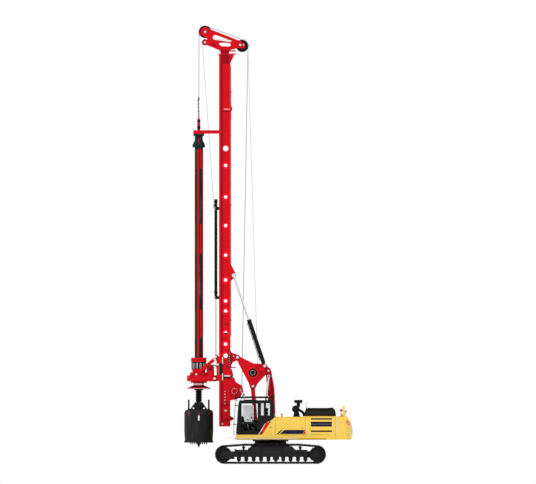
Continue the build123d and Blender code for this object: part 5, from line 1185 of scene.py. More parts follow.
def addCushion(shape, size, matrix, crown, channels):
    # a crowned pad: a fine box squeezed at its rims, with sewn channels across its face
    pad = bmesh.new()
    bmesh.ops.create_grid(pad, x_segments=28, y_segments=28, size=0.5)
    rim = [edge for edge in pad.edges if edge.is_boundary]
    made = bmesh.ops.extrude_edge_only(pad, edges=rim)["geom"]
    lowered = [item for item in made if isinstance(item, bmesh.types.BMVert)]
    bmesh.ops.translate(pad, vec=(0, 0, -1), verts=lowered)
    bmesh.ops.holes_fill(pad, edges=[edge for edge in pad.edges if edge.is_boundary])
    for vert in pad.verts:
        u, v = vert.co.x * 2, vert.co.y * 2
        if vert.co.z > -0.5:
            dome = (1 - u ** 4) * (1 - v ** 4)
            seam = sum(max(0.0, 1 - abs(v - line) / 0.07) for line in channels)
            vert.co.z = 0.5 + crown * dome - 0.12 * crown * seam * (1 - u ** 6)
            pull = 1 - 0.06 * (abs(u * v) ** 3)
            vert.co.x, vert.co.y = vert.co.x * pull, vert.co.y * pull
        else:
            vert.co.x, vert.co.y, vert.co.z = vert.co.x * 0.95, vert.co.y * 0.95, -0.5
    bmesh.ops.scale(pad, vec=size, verts=pad.verts)
    stampCopies(shape, pad, [matrix])


shape = bmesh.new()
middle = seat["middle"]
addCushion(shape, (0.48, 0.49, 0.11), Matrix.Translation((-0.51, middle, 1.79)), 0.35,
           (-0.62, -0.2, 0.2, 0.62))
backPlace = Matrix.Translation((-0.205, middle, 2.13)) @ Matrix.Rotation(seat["lean"], 4, "Y")
addCushion(shape, (0.58, 0.47, 0.11), backPlace, 0.35, (-0.6, 0.6))
headPlace = Matrix.Translation((-0.155, middle, 2.5)) @ Matrix.Rotation(seat["lean"], 4, "Y")
addCushion(shape, (0.17, 0.28, 0.1), headPlace, 0.3, ())
for side in mirrorSides:
    restPlace = Matrix.Translation((-0.42, middle + side * 0.3, 2.02))
    addCushion(shape, (0.32, 0.075, 0.06), restPlace, 0.3, ())
cushions = makePiece("seatCushions", shape, "upper", "seat_cover", seatFabric, smoothAngle=60)
shape = bmesh.new()
addBlock(shape, (-0.72, middle - 0.22, 1.69), (-0.28, middle + 0.22, 1.738), 0.012)
addPlate(shape, [(-0.22, 1.72), (-0.17, 1.72), (-0.1, 2.38), (-0.13, 2.42), (-0.165, 2.42)], middle - 0.2,
         middle + 0.2, bevel=0.01)
for side in mirrorSides:
    addRod(shape, (-0.135, middle + side * 0.06, 2.4), (-0.12, middle + side * 0.06, 2.5), 0.008, 8, 1)
    addPin(shape, -0.2, 1.78, middle + side * 0.235, middle + side * 0.262, 0.035, 18)
for fold in range(6):
    z = 1.45 + fold * 0.042
    addBlock(shape, (-0.66 + 0.01 * (fold % 2), middle - 0.19, z),
             (-0.3 - 0.01 * (fold % 2), middle + 0.19, z + 0.036), 0.012)
addBlock(shape, (-0.68, middle - 0.2, 1.411), (-0.28, middle + 0.2, 1.452), 0.006)
makePiece("seatFrame", shape, "upper", "seat_cover", rubber, pinSteel)
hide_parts("operator_seat")

# armrest consoles with joysticks and switches
shape = bmesh.new()
for side in mirrorSides:
    y = middle + side * 0.34
    addPlate(shape, [(-0.85, 1.9), (-0.8, 1.98), (-0.5, 2.015), (-0.32, 1.99), (-0.3, 1.93), (-0.82, 1.93)],
             y - 0.062, y + 0.062, bevel=0.01)
    addLathe(shape, ((0, 0.07), (0.016, 0.066), (0.03, 0.05), (0.046, 0.014), (0.05, 0), (0, 0)),
             (-0.8, y, 1.965), up, 20, 1)
    addRod(shape, (-0.8, y, 2.0), (-0.86, y, 2.12), 0.011, 10, 1)
    addLathe(shape, ((0, 0.1), (0.018, 0.096), (0.024, 0.07), (0.02, 0.03), (0.022, 0.0), (0, 0)),
             (-0.85, y, 2.1), (-0.4, 0, 0.92), 16, 1)
    for index in range(6):
        addPost(shape, -0.6 + index * 0.045, y, 2.0 + 0.004 * index, 2.018, 0.01, 10, 2)
# front column, monitor, steering arm and pedals
addPlate(shape, [(-1.46, 1.45), (-1.22, 1.42), (-1.16, 1.86), (-1.24, 2.19), (-1.32, 2.21), (-1.36, 2.12),
                 (-1.4, 1.8)], -1.4, -1.3, bevel=0.012)
addPlate(shape, [(-1.37, 2.06), (-1.33, 2.05), (-1.27, 2.22), (-1.31, 2.235)], -1.37, -1.15, bevel=0.006)
addPlate(shape, [(-1.33, 2.065), (-1.328, 2.064), (-1.272, 2.208), (-1.275, 2.212)], -1.35, -1.17, material=3)
addRing(shape, (-1.069, -1.36, 1.904), (0, 1, 0), 0.04, 0.058, -0.01, 0.01, 28, 4)
addRod(shape, (-1.069, -1.352, 1.86), (-1.03, -1.352, 1.72), 0.012, 10, 4)
addRod(shape, (-1.07, -1.33, 2.075), (-0.95, -1.33, 1.9), 0.015, 10, 1, 0.01)
addRod(shape, (-0.95, -1.33, 1.9), (-0.93, -1.33, 1.78), 0.012, 10, 1)
addPlate(shape, [(-0.97, 1.75), (-0.66, 1.76), (-0.83, 1.61)], -1.37, -1.34, bevel=0.005, material=5)
addPost(shape, -1.01, -1.36, 1.62, 1.69, 0.022, 12, 6, 0.016)
addBlock(shape, (-1.06, -1.4, 1.411), (-0.6, -1.33, 1.62), 0.012)
for y in (-1.16, -0.87):
    addPlate(shape, [(-1.3, 1.44), (-1.12, 1.412), (-1.1, 1.43), (-1.29, 1.462)], y - 0.055, y + 0.055,
             bevel=0.004, material=1)
    addRod(shape, (-1.22, y, 1.44), (-1.3, y, 1.78), 0.01, 8, 1)
    addBlock(shape, (-1.32, y - 0.02, 1.77), (-1.28, y + 0.02, 1.83), 0.006, 1)
addBlock(shape, (-1.38, -1.4, 1.408), (0.1, -0.63, 1.418), 0.002, 1)
makePiece("cabControls", shape, "upper", "seat_cover", blackPaint, rubber, grilleGrey, screenBlue, whipGrey,
          hoodGrey, deepRedAndShadePaint)
# sun blinds on the far windows, glowing grey and white as painted light
shape = bmesh.new()
addBlock(shape, (-1.268, -0.612, 1.95), (-0.775, -0.608, 2.7), 0.001)
addRod(shape, (-1.268, -0.61, 2.705), (-0.775, -0.61, 2.705), 0.01, 12)
addRod(shape, (-1.268, -0.61, 1.95), (-0.775, -0.61, 1.95), 0.007, 12)
addBlock(shape, (-0.435, -0.612, 1.945), (0.055, -0.608, 2.81), 0.001, 1)
makePiece("sunBlindsPaintedLight", shape, "upper", "cab_grey", blindClothPaintedLight, whiteClothPaintedLight)
print("cab made")


# luffing linkage: pin caps, winch hub, weld beads
def addPinCap(shape, x, z, face, radius, side, keeper=0.0):
    # pin end in its collar with a grease nipple; keeper is the angle of its locking plate
    centre, outwards = vec(x, side * face, z), (0, side, 0)
    # the collar is deep red: painted shade round the pin end
    addRing(shape, centre, outwards, radius, radius * 1.34, -0.004, 0.01, 36, 1)
    addLathe(shape, ((0, 0.03), (radius * 0.78, 0.03), (radius * 0.94, 0.022), (radius, 0.01),
                     (radius, -0.004), (0, -0.004)), centre, outwards, 36)
    addRod(shape, centre + vec(0, side * 0.028, 0), centre + vec(0, side * 0.044, 0), 0.008, 6, 2)
    tip = centre + vec(cos(keeper) * radius * 1.2, 0, sin(keeper) * radius * 1.2)
    across = vec(-sin(keeper), 0, cos(keeper)) * radius * 0.5
    out = vec(cos(keeper), 0, sin(keeper)) * 0.018
    corners = [tip - across - out, tip + across - out, tip + across + out, tip - across + out]
    addPlate(shape, [(corner.x, corner.z) for corner in corners], side * (face + 0.009),
             side * (face + 0.017), bevel=0.002, material=1)
    addBolts(shape, [vec(spot.x, side * (face + 0.017), spot.z)
                     for spot in (tip - across * 0.6, tip + across * 0.6)], outwards, 0.016, 0.01, 2)


# places of the linkage's pins, as x and z
joint = {"mastHinge": (-1.518, 4.913), "mastFoot": (-0.271, 4.513), "boomHead": (-0.106, 4.301),
         "linkHead": (-0.81, 3.58), "linkFoot": (-0.644, 1.474), "boomFoot": (0.069, 2.201),
         "luffFoot": (-0.383, 1.48), "luffHead": (-0.083, 4.043), "auxWinch": (-0.81, 4.209)}
shape = bmesh.new()
for side in mirrorSides:
    for name, face, radius, keeper in (("mastHinge", 0.33, 0.066, 0.6), ("boomHead", 0.33, 0.05, 2.4),
                                       ("linkHead", 0.33, 0.062, 4.7), ("mastFoot", 0.575, 0.066, 3.6)):
        x, z = joint[name]
        addPinCap(shape, x, z, face, radius, side, keeper)
    # winch gearbox in the plate's opening: collar, dark flange, pale bolts
    x, z = joint["auxWinch"]
    hub, outwards = vec(x, side * 0.35, z), (0, side, 0)
    for ring in ((0.205, 0.27, -0.022, 0.004, 64, 3), (0.0, 0.204, -0.03, 0.002, 64, 2),
                 (0.128, 0.196, -0.002, 0.014, 64, 2), (0.08, 0.13, -0.002, 0.024, 48, 2)):
        addRing(shape, hub, outwards, *ring)
    ringBolts(shape, hub + vec(0, side * 0.022, 0), outwards, 0.106, 12, 0.02, 0.01, 4)
    ringBolts(shape, hub + vec(0, side * 0.012, 0), outwards, 0.165, 20, 0.016, 0.009, 2)
    addLathe(shape, ((0, 0.04), (0.04, 0.038), (0.07, 0.024), (0.076, 0), (0, 0)), hub, outwards, 32, 2)
    ringBolts(shape, vec(x, side * 0.33, z), outwards, 0.255, 24, 0.02, 0.012, 3)
    # weld beads along the plate's rims
    outline = [(-1.53, 4.98), (-0.79, 4.58), (-0.26, 4.55), (-0.09, 4.4)]
    for (fromX, fromZ), (toX, toZ) in zip(outline, outline[1:]):
        addRod(shape, (fromX, side * 0.311, fromZ), (toX, side * 0.311, toZ), 0.007, 8, 3)
makePiece("triangleTrim", shape, "triangle", "red", pinSteel, deepRedAndShadePaint, blackPaint, brightRedAndHighlightPaint,
                         redReflectionSteel)

shape = bmesh.new()
for side in mirrorSides:
    # cast collar at the boom's foot, painted highlight strips along its flanks' edges and painted shade
    # panels on its flanks, hose clamps
    x, z = joint["boomFoot"]
    addRing(shape, (x, side * 0.16, z), (0, side, 0), 0.1, 0.15, 0.0, 0.012, 40, 1)
    for offset in (0.148, -0.148):
        fromX, toX = 0.069 + offset * 0.97, 0.02 + offset * 1.06
        addPlate(shape, [(fromX - 0.011, 2.32), (fromX + 0.011, 2.32), (toX + 0.011, 3.45),
                         (toX - 0.011, 3.45)], side * 0.159, side * 0.165)
    addPlate(shape, [(-0.075, 2.5), (0.02, 2.5), (0.0, 3.4), (-0.105, 3.4)], side * 0.1595, side * 0.1612,
             material=1)
    for z in (2.55, 3.0, 3.45):
        addBlock(shape, (0.08, side * 0.158, z - 0.015), (0.13, side * 0.18, z + 0.015), 0.003, 2)
makePiece("boomTrim", shape, "boom", "red", brightRedAndHighlightPaint, deepRedAndShadePaint, blackPaint)
routes = []
for side in mirrorSides:
    for row in (0.092, 0.116):
        routes.append([(row - back, side * 0.178, z) for back, z in
                       ((0, 2.3), (0.01, 2.9), (0.03, 3.4), (0.07, 3.9), (0.13, 4.12))])
makeTubes("boomHoses", routes, 0.011, "boom", "black_steel", rubber)

shape = bmesh.new()
for side in mirrorSides:
    for name, radius in (("linkHead", 0.075), ("linkFoot", 0.07)):
        x, z = joint[name]
        addRing(shape, (x, side * 0.2535, z), (0, side, 0), 0.052, radius, -0.002, 0.006, 32, 1)
    (headX, headZ), (footX, footZ) = joint["linkHead"], joint["linkFoot"]
    for offset in (-0.05, 0.05):
        addRod(shape, (headX + offset, side * 0.2535, headZ - 0.14),
               (footX + offset, side * 0.2535, footZ + 0.14), 0.006, 8)
makePiece("linkTrim", shape, "front_link", "red", brightRedAndHighlightPaint, deepRedAndShadePaint)

# luff cylinders: tubes with their feet, ports and pipes, rods with their eyes
luff = {"off": 0.4, "tube": 0.08, "tubeLength": 1.4, "rod": 0.04, "eye": 0.075, "eyeHalf": 0.043,
        "footPin": 0.045}
foot, head = (vec(joint[name][0], 0, joint[name][1]) for name in ("luffFoot", "luffHead"))
along = (head - foot).normalized()
reach = (head - foot).length
tube, length, eye, inner = luff["tube"], luff["tubeLength"], luff["eye"], luff["rod"] + 0.001
barrels, rods = bmesh.new(), bmesh.new()
for side in mirrorSides:
    base = foot + vec(0, side * luff["off"], 0)
    top = base + along * reach
    addRing(barrels, base, (0, 1, 0), luff["footPin"] + 0.0006, eye, -luff["eyeHalf"], luff["eyeHalf"], 40)
    addLathe(barrels, ((inner, 0.12), (tube - 0.012, 0.103), (tube, 0.115), (tube, length - 0.1),
                       (tube + 0.011, length - 0.096), (tube + 0.011, length - 0.012), (tube + 0.004, length),
                       (inner, length)), base, along, 40)
    addLathe(barrels, ((0, 0.07), (0.03, 0.068), (0.05, 0.09), (tube - 0.01, 0.106), (0, 0.118)), base, along,
             32)
    ringBolts(barrels, base + along * length, along, tube - 0.018, 8, 0.014, 0.01)
    for z in (0.2, length - 0.17):
        spot = base + along * z + vec(-1, 0, 0) * (tube + 0.004)
        addBlock(barrels, spot - vec(0.02, 0.03, 0.03), spot + vec(0.016, 0.03, 0.03), 0.004)
    pipe = vec(-1, 0, 0) * (tube + 0.02)
    addRod(barrels, base + along * 0.22 + pipe, base + along * (length - 0.17) + pipe, 0.011, 10)
    addLathe(rods, ((0, 0.4), (luff["rod"], 0.4), (luff["rod"], reach - eye * 0.7), (0, reach - eye * 0.7)),
             base, along, 32)
    addRing(rods, top, (0, 1, 0), 0.0425, eye, -luff["eyeHalf"], luff["eyeHalf"], 40)
    addRod(rods, base + along * (reach - eye - 0.05), base + along * (reach - eye * 0.6), 0.046, 24)
    addRing(rods, top + vec(0, side * luff["eyeHalf"], 0), (0, side, 0), 0.05, 0.066, -0.001, 0.006, 36, 1)
for piece, name in ((makePiece("luffBarrels", barrels, "luff_barrels", "black_steel", blackPaint), "barrels"),
                    (makePiece("luffRods", rods, "luff_rods", "rod_chrome", rodChrome, redReflectionSteel), "rods")):
    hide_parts("luff_cylinder_" + name)

# mast cylinders: pressure pipe with clamps along each tube, gland bolts
mastCylinder = {"off": 0.42, "eye": (-1.684, 0, 8.685), "eyeY": 0.495, "clamps": (0.5, 0.95, 1.4, 1.85),
                "pipe": (0.3, 2.1), "gland": 2.25}
foot, eye = vec(joint["mastFoot"][0], 0, joint["mastFoot"][1]), Vector(mastCylinder["eye"])
along = (eye - foot).normalized()
ahead = vec(-along.z, 0, along.x)
shape, rodShape = bmesh.new(), bmesh.new()
for side in mirrorSides:
    base = foot + vec(0, side * mastCylinder["off"], 0)
    low, high = (base + along * place for place in mastCylinder["pipe"])
    addRod(shape, low + ahead * 0.122, high + ahead * 0.122, 0.014, 10)
    spot, half = high + ahead * 0.1, vec(0.03, 0.03, 0.03)
    addBlock(shape, spot - half, spot + half, 0.006)
    for place in mastCylinder["clamps"]:
        spot = base + along * place
        addRing(shape, spot, along, 0.093, 0.102, -0.02, 0.02, 40)
        addRod(shape, spot + ahead * 0.09, spot + ahead * 0.14, 0.018, 8)
    gland = base + along * mastCylinder["gland"]
    ringBolts(shape, gland, along, 0.082, 10, 0.016, 0.012)
    addRing(shape, gland, along, 0.0515, 0.066, -0.002, 0.012, 36)
    addRing(rodShape, eye + vec(0, side * mastCylinder["eyeY"], 0), (0, side, 0), 0.056, 0.082, -0.001, 0.006,
            36)
makePiece("mastBarrelTrim", shape, "mast_barrels", "black_steel", blackPaint)
makePiece("mastRodTrim", rodShape, "mast_rods", "rod_chrome", pinSteel)
print("linkage made")

# mast: painted shade and painted highlight strips, rims of the lightening holes, flange joint, eyes, brackets
mast = {"rear": -1.845, "front": -2.263, "half": 0.3, "holeX": -2.063, "seamZ": 16.33,
        "holes": ((13.74, 0.095), (12.291, 0.095), (10.976, 0.095), (9.614, 0.095), (8.473, 0.095),
                  (7.512, 0.095), (7.047, 0.095), (6.044, 0.095), (5.525, 0.095), (4.991, 0.11)),
        "whiteHole": (14.522, 0.105),
        "ropeEyes": ((17.103, 0.055), (11.925, 0.035), (6.62, 0.035)),
        "sideBolts": (3.349, 3.218, 3.084, 2.953, 2.786), "hingePins": ((-1.703, 4.96), (-1.591, 4.863)),
        "hingeDots": ((-1.898, 4.96), (-1.898, 4.849), (-1.898, 4.751))}
shape = bmesh.new()
for side in mirrorSides:
    skin = side * mast["half"]

    def strip(lowX, highX, lowZ, highZ, thick, material, side=side, skin=skin):
        addBlock(shape, (lowX, skin - side * 0.001, lowZ), (highX, skin + side * thick, highZ),
                 min(thick / 3, 0.002), material)

    # painted shade strip beside the rail, painted highlight along the rear edge, painted shade over the head
    # of the column
    strip(mast["front"] + 0.001, mast["front"] + 0.073, 1.74, 18.88, 0.003, 1)
    strip(mast["rear"] - 0.04, mast["rear"] + 0.008, 5.3, 18.4, 0.006, 0)
    strip(mast["front"] + 0.075, mast["rear"] - 0.042, 18.42, 18.88, 0.003, 1)
    strip(mast["front"] + 0.075, mast["rear"] - 0.042, 2.66, 2.78, 0.004, 1)
    z, radius = mast["whiteHole"]
    addRing(shape, (mast["holeX"], skin, z), (0, side, 0), radius - 0.001, radius + 0.02, -0.02, 0.008, 40, 2)
    for z, radius in mast["holes"]:
        centre = (mast["holeX"], skin, z)
        lip = radius - (0.02 if z > 5 else 0.01)
        addRing(shape, centre, (0, side, 0), radius - 0.001, radius + 0.07, -0.002, 0.006, 40)
        addRing(shape, centre, (0, side, 0), lip, radius + 0.018, -0.03, 0.011, 40)
    # half-closed hole above the hinge, slot above it
    addPlate(shape, arcPoints(mast["holeX"], 6.044, 0.094, 180, 360, 20), skin - side * 0.02,
             skin - side * 0.012, material=3)
    strip(-2.09, -1.96, 6.425, 6.46, 0.006, 3)
    # bolted joint of the upper section
    strip(mast["front"] + 0.076, mast["rear"] - 0.002, mast["seamZ"] - 0.05, mast["seamZ"] + 0.05, 0.012, 0)
    strip(mast["front"] + 0.076, mast["rear"] - 0.002, mast["seamZ"] - 0.118, mast["seamZ"] - 0.098, 0.012, 3)
    places = [(-2.125 + 0.058 * index, skin + side * 0.011, mast["seamZ"]) for index in range(5)]
    addBolts(shape, places, (0, side, 0), 0.034, 0.014, 4)
    addPlate(shape, [(-1.86, 16.25), (-1.78, 16.25), (-1.757, 16.3), (-1.757, 16.4), (-1.79, 16.46),
                     (-1.86, 16.5)], side * 0.19, side * 0.215, bevel=0.004)
    # hinge bracket plate with its wavy edge, pins and bolts
    wavy = [(-1.96, 4.42), (-1.82, 4.4), (-1.79, 4.47), (-1.8, 4.56), (-1.75, 4.63), (-1.742, 4.72),
            (-1.775, 4.78), (-1.74, 4.85), (-1.738, 4.98), (-1.78, 5.05), (-1.78, 5.12), (-1.845, 5.24),
            (-1.93, 5.25), (-1.96, 5.15)]
    addPlate(shape, wavy, skin - side * 0.001, skin + side * 0.02, bevel=0.004, material=1)
    for x, z in mast["hingeDots"]:
        addPin(shape, x, z, skin + side * 0.018, skin + side * 0.026, 0.042, 24, 3)
        addBolts(shape, [(x, skin + side * 0.025, z)], (0, side, 0), 0.026, 0.014, 2)
    addBolts(shape, [(-1.878, skin + side * 0.019, z) for z in (4.65, 4.53, 5.06, 5.15)], (0, side, 0), 0.018,
             0.01, 2)
    # head of the main winch's cradle: band with a painted highlight along its top and painted shade under it,
    # lug and pin
    strip(-2.149, -1.846, 4.03, 4.096, 0.03, 4)
    strip(-2.149, -1.846, 3.943, 4.029, 0.022, 5)
    addPlate(shape, [(-1.86, 3.93), (-1.72, 3.96), (-1.655, 4.0), (-1.655, 4.06), (-1.72, 4.09),
                     (-1.86, 4.11)], side * 0.262, side * 0.304, bevel=0.004, material=1)
    addPin(shape, -1.703, 4.026, side * 0.3, side * 0.322, 0.042, 24, 2)
    for z in mast["sideBolts"]:
        addPin(shape, -2.094, z, skin - side * 0.001, skin + side * 0.006, 0.034, 20, 1)
        addPin(shape, -2.094, z, skin, skin + side * 0.01, 0.021, 20, 2)
    strip(-2.12, -2.01, 2.43, 2.5, 0.01, 4)
    strip(-2.093, -1.85, 2.852, 2.886, 0.012, 3)
    # low bracket's rosette and the pale disc beside the rail
    addLathe(shape, ((0, 0.016), (0.03, 0.016), (0.04, 0.01), (0.085, 0.01), (0.095, 0.004), (0.095, -0.002),
                     (0, -0.002)), (-2.021, skin, 2.067), (0, side, 0), 32, 1)
    ringBolts(shape, (-2.021, skin + side * 0.009, 2.067), (0, side, 0), 0.062, 8, 0.017, 0.01, 1)
    addPin(shape, -2.215, 1.849, skin, skin + side * 0.008, 0.035, 20, 2)
# rope eyes and ladder of cable clamps on the rear face
for z, radius in mast["ropeEyes"]:
    addBlock(shape, (mast["rear"] - 0.002, -0.05, z - radius - 0.02),
             (mast["rear"] + 0.014, 0.05, z + radius + 0.02), 0.003)
    addRing(shape, (mast["rear"] + 0.014 + radius, 0, z), (0, 1, 0), radius - 0.016, radius, -0.016, 0.016,
            28, 4)
for z in (6.1, 7.8, 9.3, 10.5, 12.9, 13.8, 15.1):
    addBlock(shape, (mast["rear"] - 0.002, -0.16, z), (mast["rear"] + 0.02, -0.08, z + 0.06), 0.003)
    addBlock(shape, (mast["rear"] - 0.002, 0.08, z), (mast["rear"] + 0.02, 0.16, z + 0.06), 0.003)
makePiece("mastTrim", shape, "mast", "red", brightRedAndHighlightPaint, deepRedAndShadePaint, whitePaint, blackPaint, redReflectionSteel,
          chassisPaint)

# hinge pins of the mast, the link's small pins and the black locking rod
shape = bmesh.new()
for side in mirrorSides:
    for x, z in mast["hingePins"]:
        addPin(shape, x, z, side * 0.2, side * 0.2796, 0.03, 20)
        addRing(shape, (x, side * 0.279, z), (0, side, 0), 0.029, 0.046, -0.002, 0.0004, 24, 1)
    addRod(shape, (-1.85, side * 0.29, 4.45), (-1.6, side * 0.262, 4.45), 0.02, 12, 1)
makePiece("mastPins", shape, "mast", "red", redReflectionSteel, blackPaint)

# electric lines and pressure lines down the rear face
routes = [[(mast["rear"] + 0.022, y, 5.9), (mast["rear"] + 0.022, y, 9.0), (mast["rear"] + 0.024, y, 12.0),
           (mast["rear"] + 0.022, y, 15.6), (mast["rear"] + 0.022, y * 0.95, 18.3)]
          for y in (-0.135, -0.105, 0.11, 0.135)]
makeTubes("mastLines", routes, 0.011, "mast", "black_steel", rubber)

# main winch: hub ring, bolts and the rope laid on the drum
winch = {"x": -1.665, "z": 3.349, "core": 0.29, "half": 0.235, "rope": 0.018}


def addRopeLay(shape, centre, core, half, rope, material=0):
    # closed rope rings side by side, two layers, the upper one staggered
    count = int(2 * half / (2.1 * rope))
    for layer, shift, rings in ((0, 0.0, count), (1, 0.5, count - 1)):
        radius = core + rope * (1 + 1.75 * layer)
        for index in range(rings):
            y = -half + 2 * half * (index + 0.5 + shift) / count
            profile = [(radius + rope * cos(2 * pi * step / 8), y + rope * sin(2 * pi * step / 8))
                       for step in range(8)]
            addLathe(shape, profile, centre, (0, 1, 0), 48, material)


shape = bmesh.new()
addRopeLay(shape, (winch["x"], 0, winch["z"]), winch["core"], winch["half"] - 0.02, winch["rope"])
makePiece("mainWinchRope", shape, "main_winch", "black_steel", ropeSteel)
shape = bmesh.new()
for side in mirrorSides:
    hub = (-1.661, side * 0.3, 3.371)
    addLathe(shape, ((0, 0.012), (0.062, 0.012), (0.07, 0.006), (0.165, 0.006), (0.178, 0.0), (0.178, -0.004),
                     (0, -0.004)), hub, (0, side, 0), 44)
    addRing(shape, hub, (0, side, 0), 0.178, 0.2, -0.004, 0.016, 44, 1)
    ringBolts(shape, (hub[0], hub[1] + side * 0.005, hub[2]), (0, side, 0), 0.125, 8, 0.024, 0.012, 2)
    addRing(shape, hub, (0, side, 0), 0.04, 0.062, 0.01, 0.022, 32, 1)
    addRod(shape, (-1.755, side * 0.27, 2.96), (-1.51, side * 0.2, 2.935), 0.016, 12, 3)
makePiece("mainWinchHub", shape, "mast", "red", redPaint, deepRedAndShadePaint, redReflectionSteel, pinSteel)

# crowd cylinder: clamp bolts, ports and pressure pipes
crowd = {"x": -2.514, "clamps": ((7.595, 7.735), (11.695, 11.835))}
shape = bmesh.new()
for lowZ, highZ in crowd["clamps"]:
    for z in (lowZ + 0.035, highZ - 0.035):
        addBolts(shape, [(crowd["x"] - 0.02, side * 0.105, z) for side in mirrorSides], (-1, 0, 0), 0.022,
                 0.05, 1)
for z in (7.9, 12.08):
    addRing(shape, (crowd["x"], 0, z), up, 0.065, 0.08, -0.045, 0.045, 40)
    addBlock(shape, (crowd["x"] + 0.02, -0.1, z - 0.03), (crowd["x"] + 0.07, -0.055, z + 0.03), 0.004)
makePiece("crowdTrim", shape, "mast", "black_steel", blackPaint, pinSteel)
makeTubes("crowdPipes", [[(-2.46, y, 7.95), (-2.46, y * 1.1, 8.4), (-2.455, y * 1.1, 10.2), (-2.46, y, 12.04)]
                         for y in (-0.078, 0.078)], 0.011, "mast", "black_steel", blackPaint)

# mast head: pin caps, dark slots, spikes with their pins, painted shade bands at its foot, sheave rims
head = {"plate": 0.084, "pins": ((-3.009, 19.885, 0.05), (-3.015, 19.406, 0.045), (-1.395, 19.289, 0.05)),
        "spikes": (((-3.2, 19.79), (-3.345, 19.895)), ((-2.95, 20.08), (-2.9, 20.162)),
                   ((-3.12, 19.42), (-3.2, 19.4)), ((-3.03, 19.5), (-3.012, 19.575)),
                   ((-1.24, 19.48), (-1.182, 19.57)), ((-1.06, 19.3), (-0.972, 19.25)))}
shape = bmesh.new()
for side in mirrorSides:
    for x, z, radius in head["pins"]:
        y = side * 0.09
        addPin(shape, x, z, y, y + side * 0.012, radius, 28, 1)
        addRing(shape, (x, y, z), (0, side, 0), radius, radius + 0.014, -0.006, 0.008, 32, 2)
    addPin(shape, -1.234, 19.289, side * 0.085, side * 0.1, 0.034, 24, 3)
    slot = [(-2.72, 19.36), (-2.7, 19.32), (-2.5, 19.185), (-2.48, 19.22), (-2.68, 19.37)]
    addPlate(shape, slot, side * head["plate"], side * (head["plate"] + 0.008), bevel=0.001, material=2)
    for start, end in head["spikes"]:
        addRod(shape, (start[0], side * 0.045, start[1]), (end[0], side * 0.045, end[1]), 0.03, 10, 0, 0.012)
for start, end in head["spikes"]:
    middle = vec((start[0] + end[0]) / 2, 0, (start[1] + end[1]) / 2)
    addRod(shape, middle - vec(0, 0.059, 0), middle + vec(0, 0.059, 0), 0.014, 10, 3)
for side in mirrorSides:
    # deep red strips on the head's foot: painted shade under the head
    addBlock(shape, (-2.345, side * 0.279, 18.984), (-1.6, side * 0.283, 19.036), 0.001, 4)
    addBolts(shape, [(-2.31, side * y, 19.039) for y in (0.12, 0.2)], up, 0.034, 0.02, 3)
    addPin(shape, -1.718, 18.878, side * 0.02, side * 0.3, 0.03, 20, 3)
    addPin(shape, -1.718, 18.878, side * 0.3, side * 0.312, 0.058, 28, 1)
makePiece("headTrim", shape, "mast", "red", brightRedAndHighlightPaint, pinSteel, blackPaint, redReflectionSteel, deepRedAndShadePaint)


def sheaveTrim(name, body, x, z, radius, groove):
    # rim lips and hub ring on both faces of one sheave
    shape = bmesh.new()
    for side in mirrorSides:
        face = (x, side * 0.045, z)
        addRing(shape, face, (0, side, 0), radius - 0.022, radius - 0.001, -0.004, 0.003, 56)
        addRing(shape, face, (0, side, 0), groove * 0.36, groove * 0.47, -0.004, 0.003, 40)
        ringBolts(shape, face, (0, side, 0), groove * 0.7, 6, 0.02, 0.004)
    makePiece(name, shape, body, "black_steel", blackPaint)


sheaveTrim("mainSheaveTrim", "main_sheave", -3.013, 19.89, 0.29, 0.255)
sheaveTrim("auxSheaveTrim", "aux_sheave", -3.013, 19.407, 0.143, 0.118)
sheaveTrim("rearSheaveTrim", "rear_sheaves", -1.302, 19.242, 0.285, 0.25)
print("mast made")

# rotary drive, kelly bar and bucket stand on one upright axis
toolX = -3.3


def onTool(z):
    return vec(toolX, 0, z)


# rotary drive's carriage: pins, inspection hole, edge strips
drive = {"drum": 0.336, "motors": ((-2.767, 0.26), (-2.767, -0.26)), "pockets": 12, "topScrews": 24,
         "carriagePins": ((-2.567, 4.821), (-2.575, 3.943)), "bracePin": (-3.416, 4.133), "braceFace": 0.46,
         # height, inner and outer radius, lower and upper edge, sides, finish
         "sleeveRings": (
             (4.54, 0.3355, 0.3385, -0.165, 0.165, 72, 0), (4.345, 0.334, 0.342, -0.01, 0.018, 64, 2),
             (3.79, 0.3725, 0.376, -0.045, 0.02, 64, 0), (3.68, 0.239, 0.246, -0.032, 0.036, 56, 1),
             (4.868, 0.353, 0.361, -0.012, 0.012, 64, 2), (4.73, 0.353, 0.361, -0.01, 0.01, 64, 2),
             (3.776, 0.371, 0.379, -0.014, 0.014, 64, 2), (3.478, 0.554, 0.562, -0.006, 0.006, 80, 1),
             (3.466, 0.5, 0.545, -0.008, 0.0, 80, 0))}
shape = bmesh.new()
for side in mirrorSides:
    for x, z in drive["carriagePins"]:
        face = side * drive["braceFace"]
        addPin(shape, x, z, face - side * 0.002, face + side * 0.012, 0.058, 28, 1)
        addRing(shape, (x, face, z), (0, side, 0), 0.058, 0.074, -0.002, 0.008, 32, 2)
    face = side * drive["braceFace"]
    x, z = drive["bracePin"]
    addPin(shape, x, z, face - side * 0.002, face + side * 0.012, 0.05, 28, 3)
    addRing(shape, (x, face, z), (0, side, 0), 0.05, 0.062, -0.002, 0.008, 32, 2)
    # inspection hole and edge strips on the block's flank
    addPin(shape, -2.43, 4.584, side * 0.389, side * 0.395, 0.04, 28, 1)
    addBlock(shape, (-2.345, side * 0.38, 4.1), (-2.24, side * 0.388, 4.7), 0.002, 2)
    for low, high in ((4.612, 4.918), (3.859, 4.18)):
        addBlock(shape, (-2.222, side * 0.389, low), (-2.186, side * 0.4, high), 0.002, 1)
makePiece("carriageTrim", shape, "rotary_drive", "red", redPaint, pinSteel, blackPaint, redReflectionSteel)

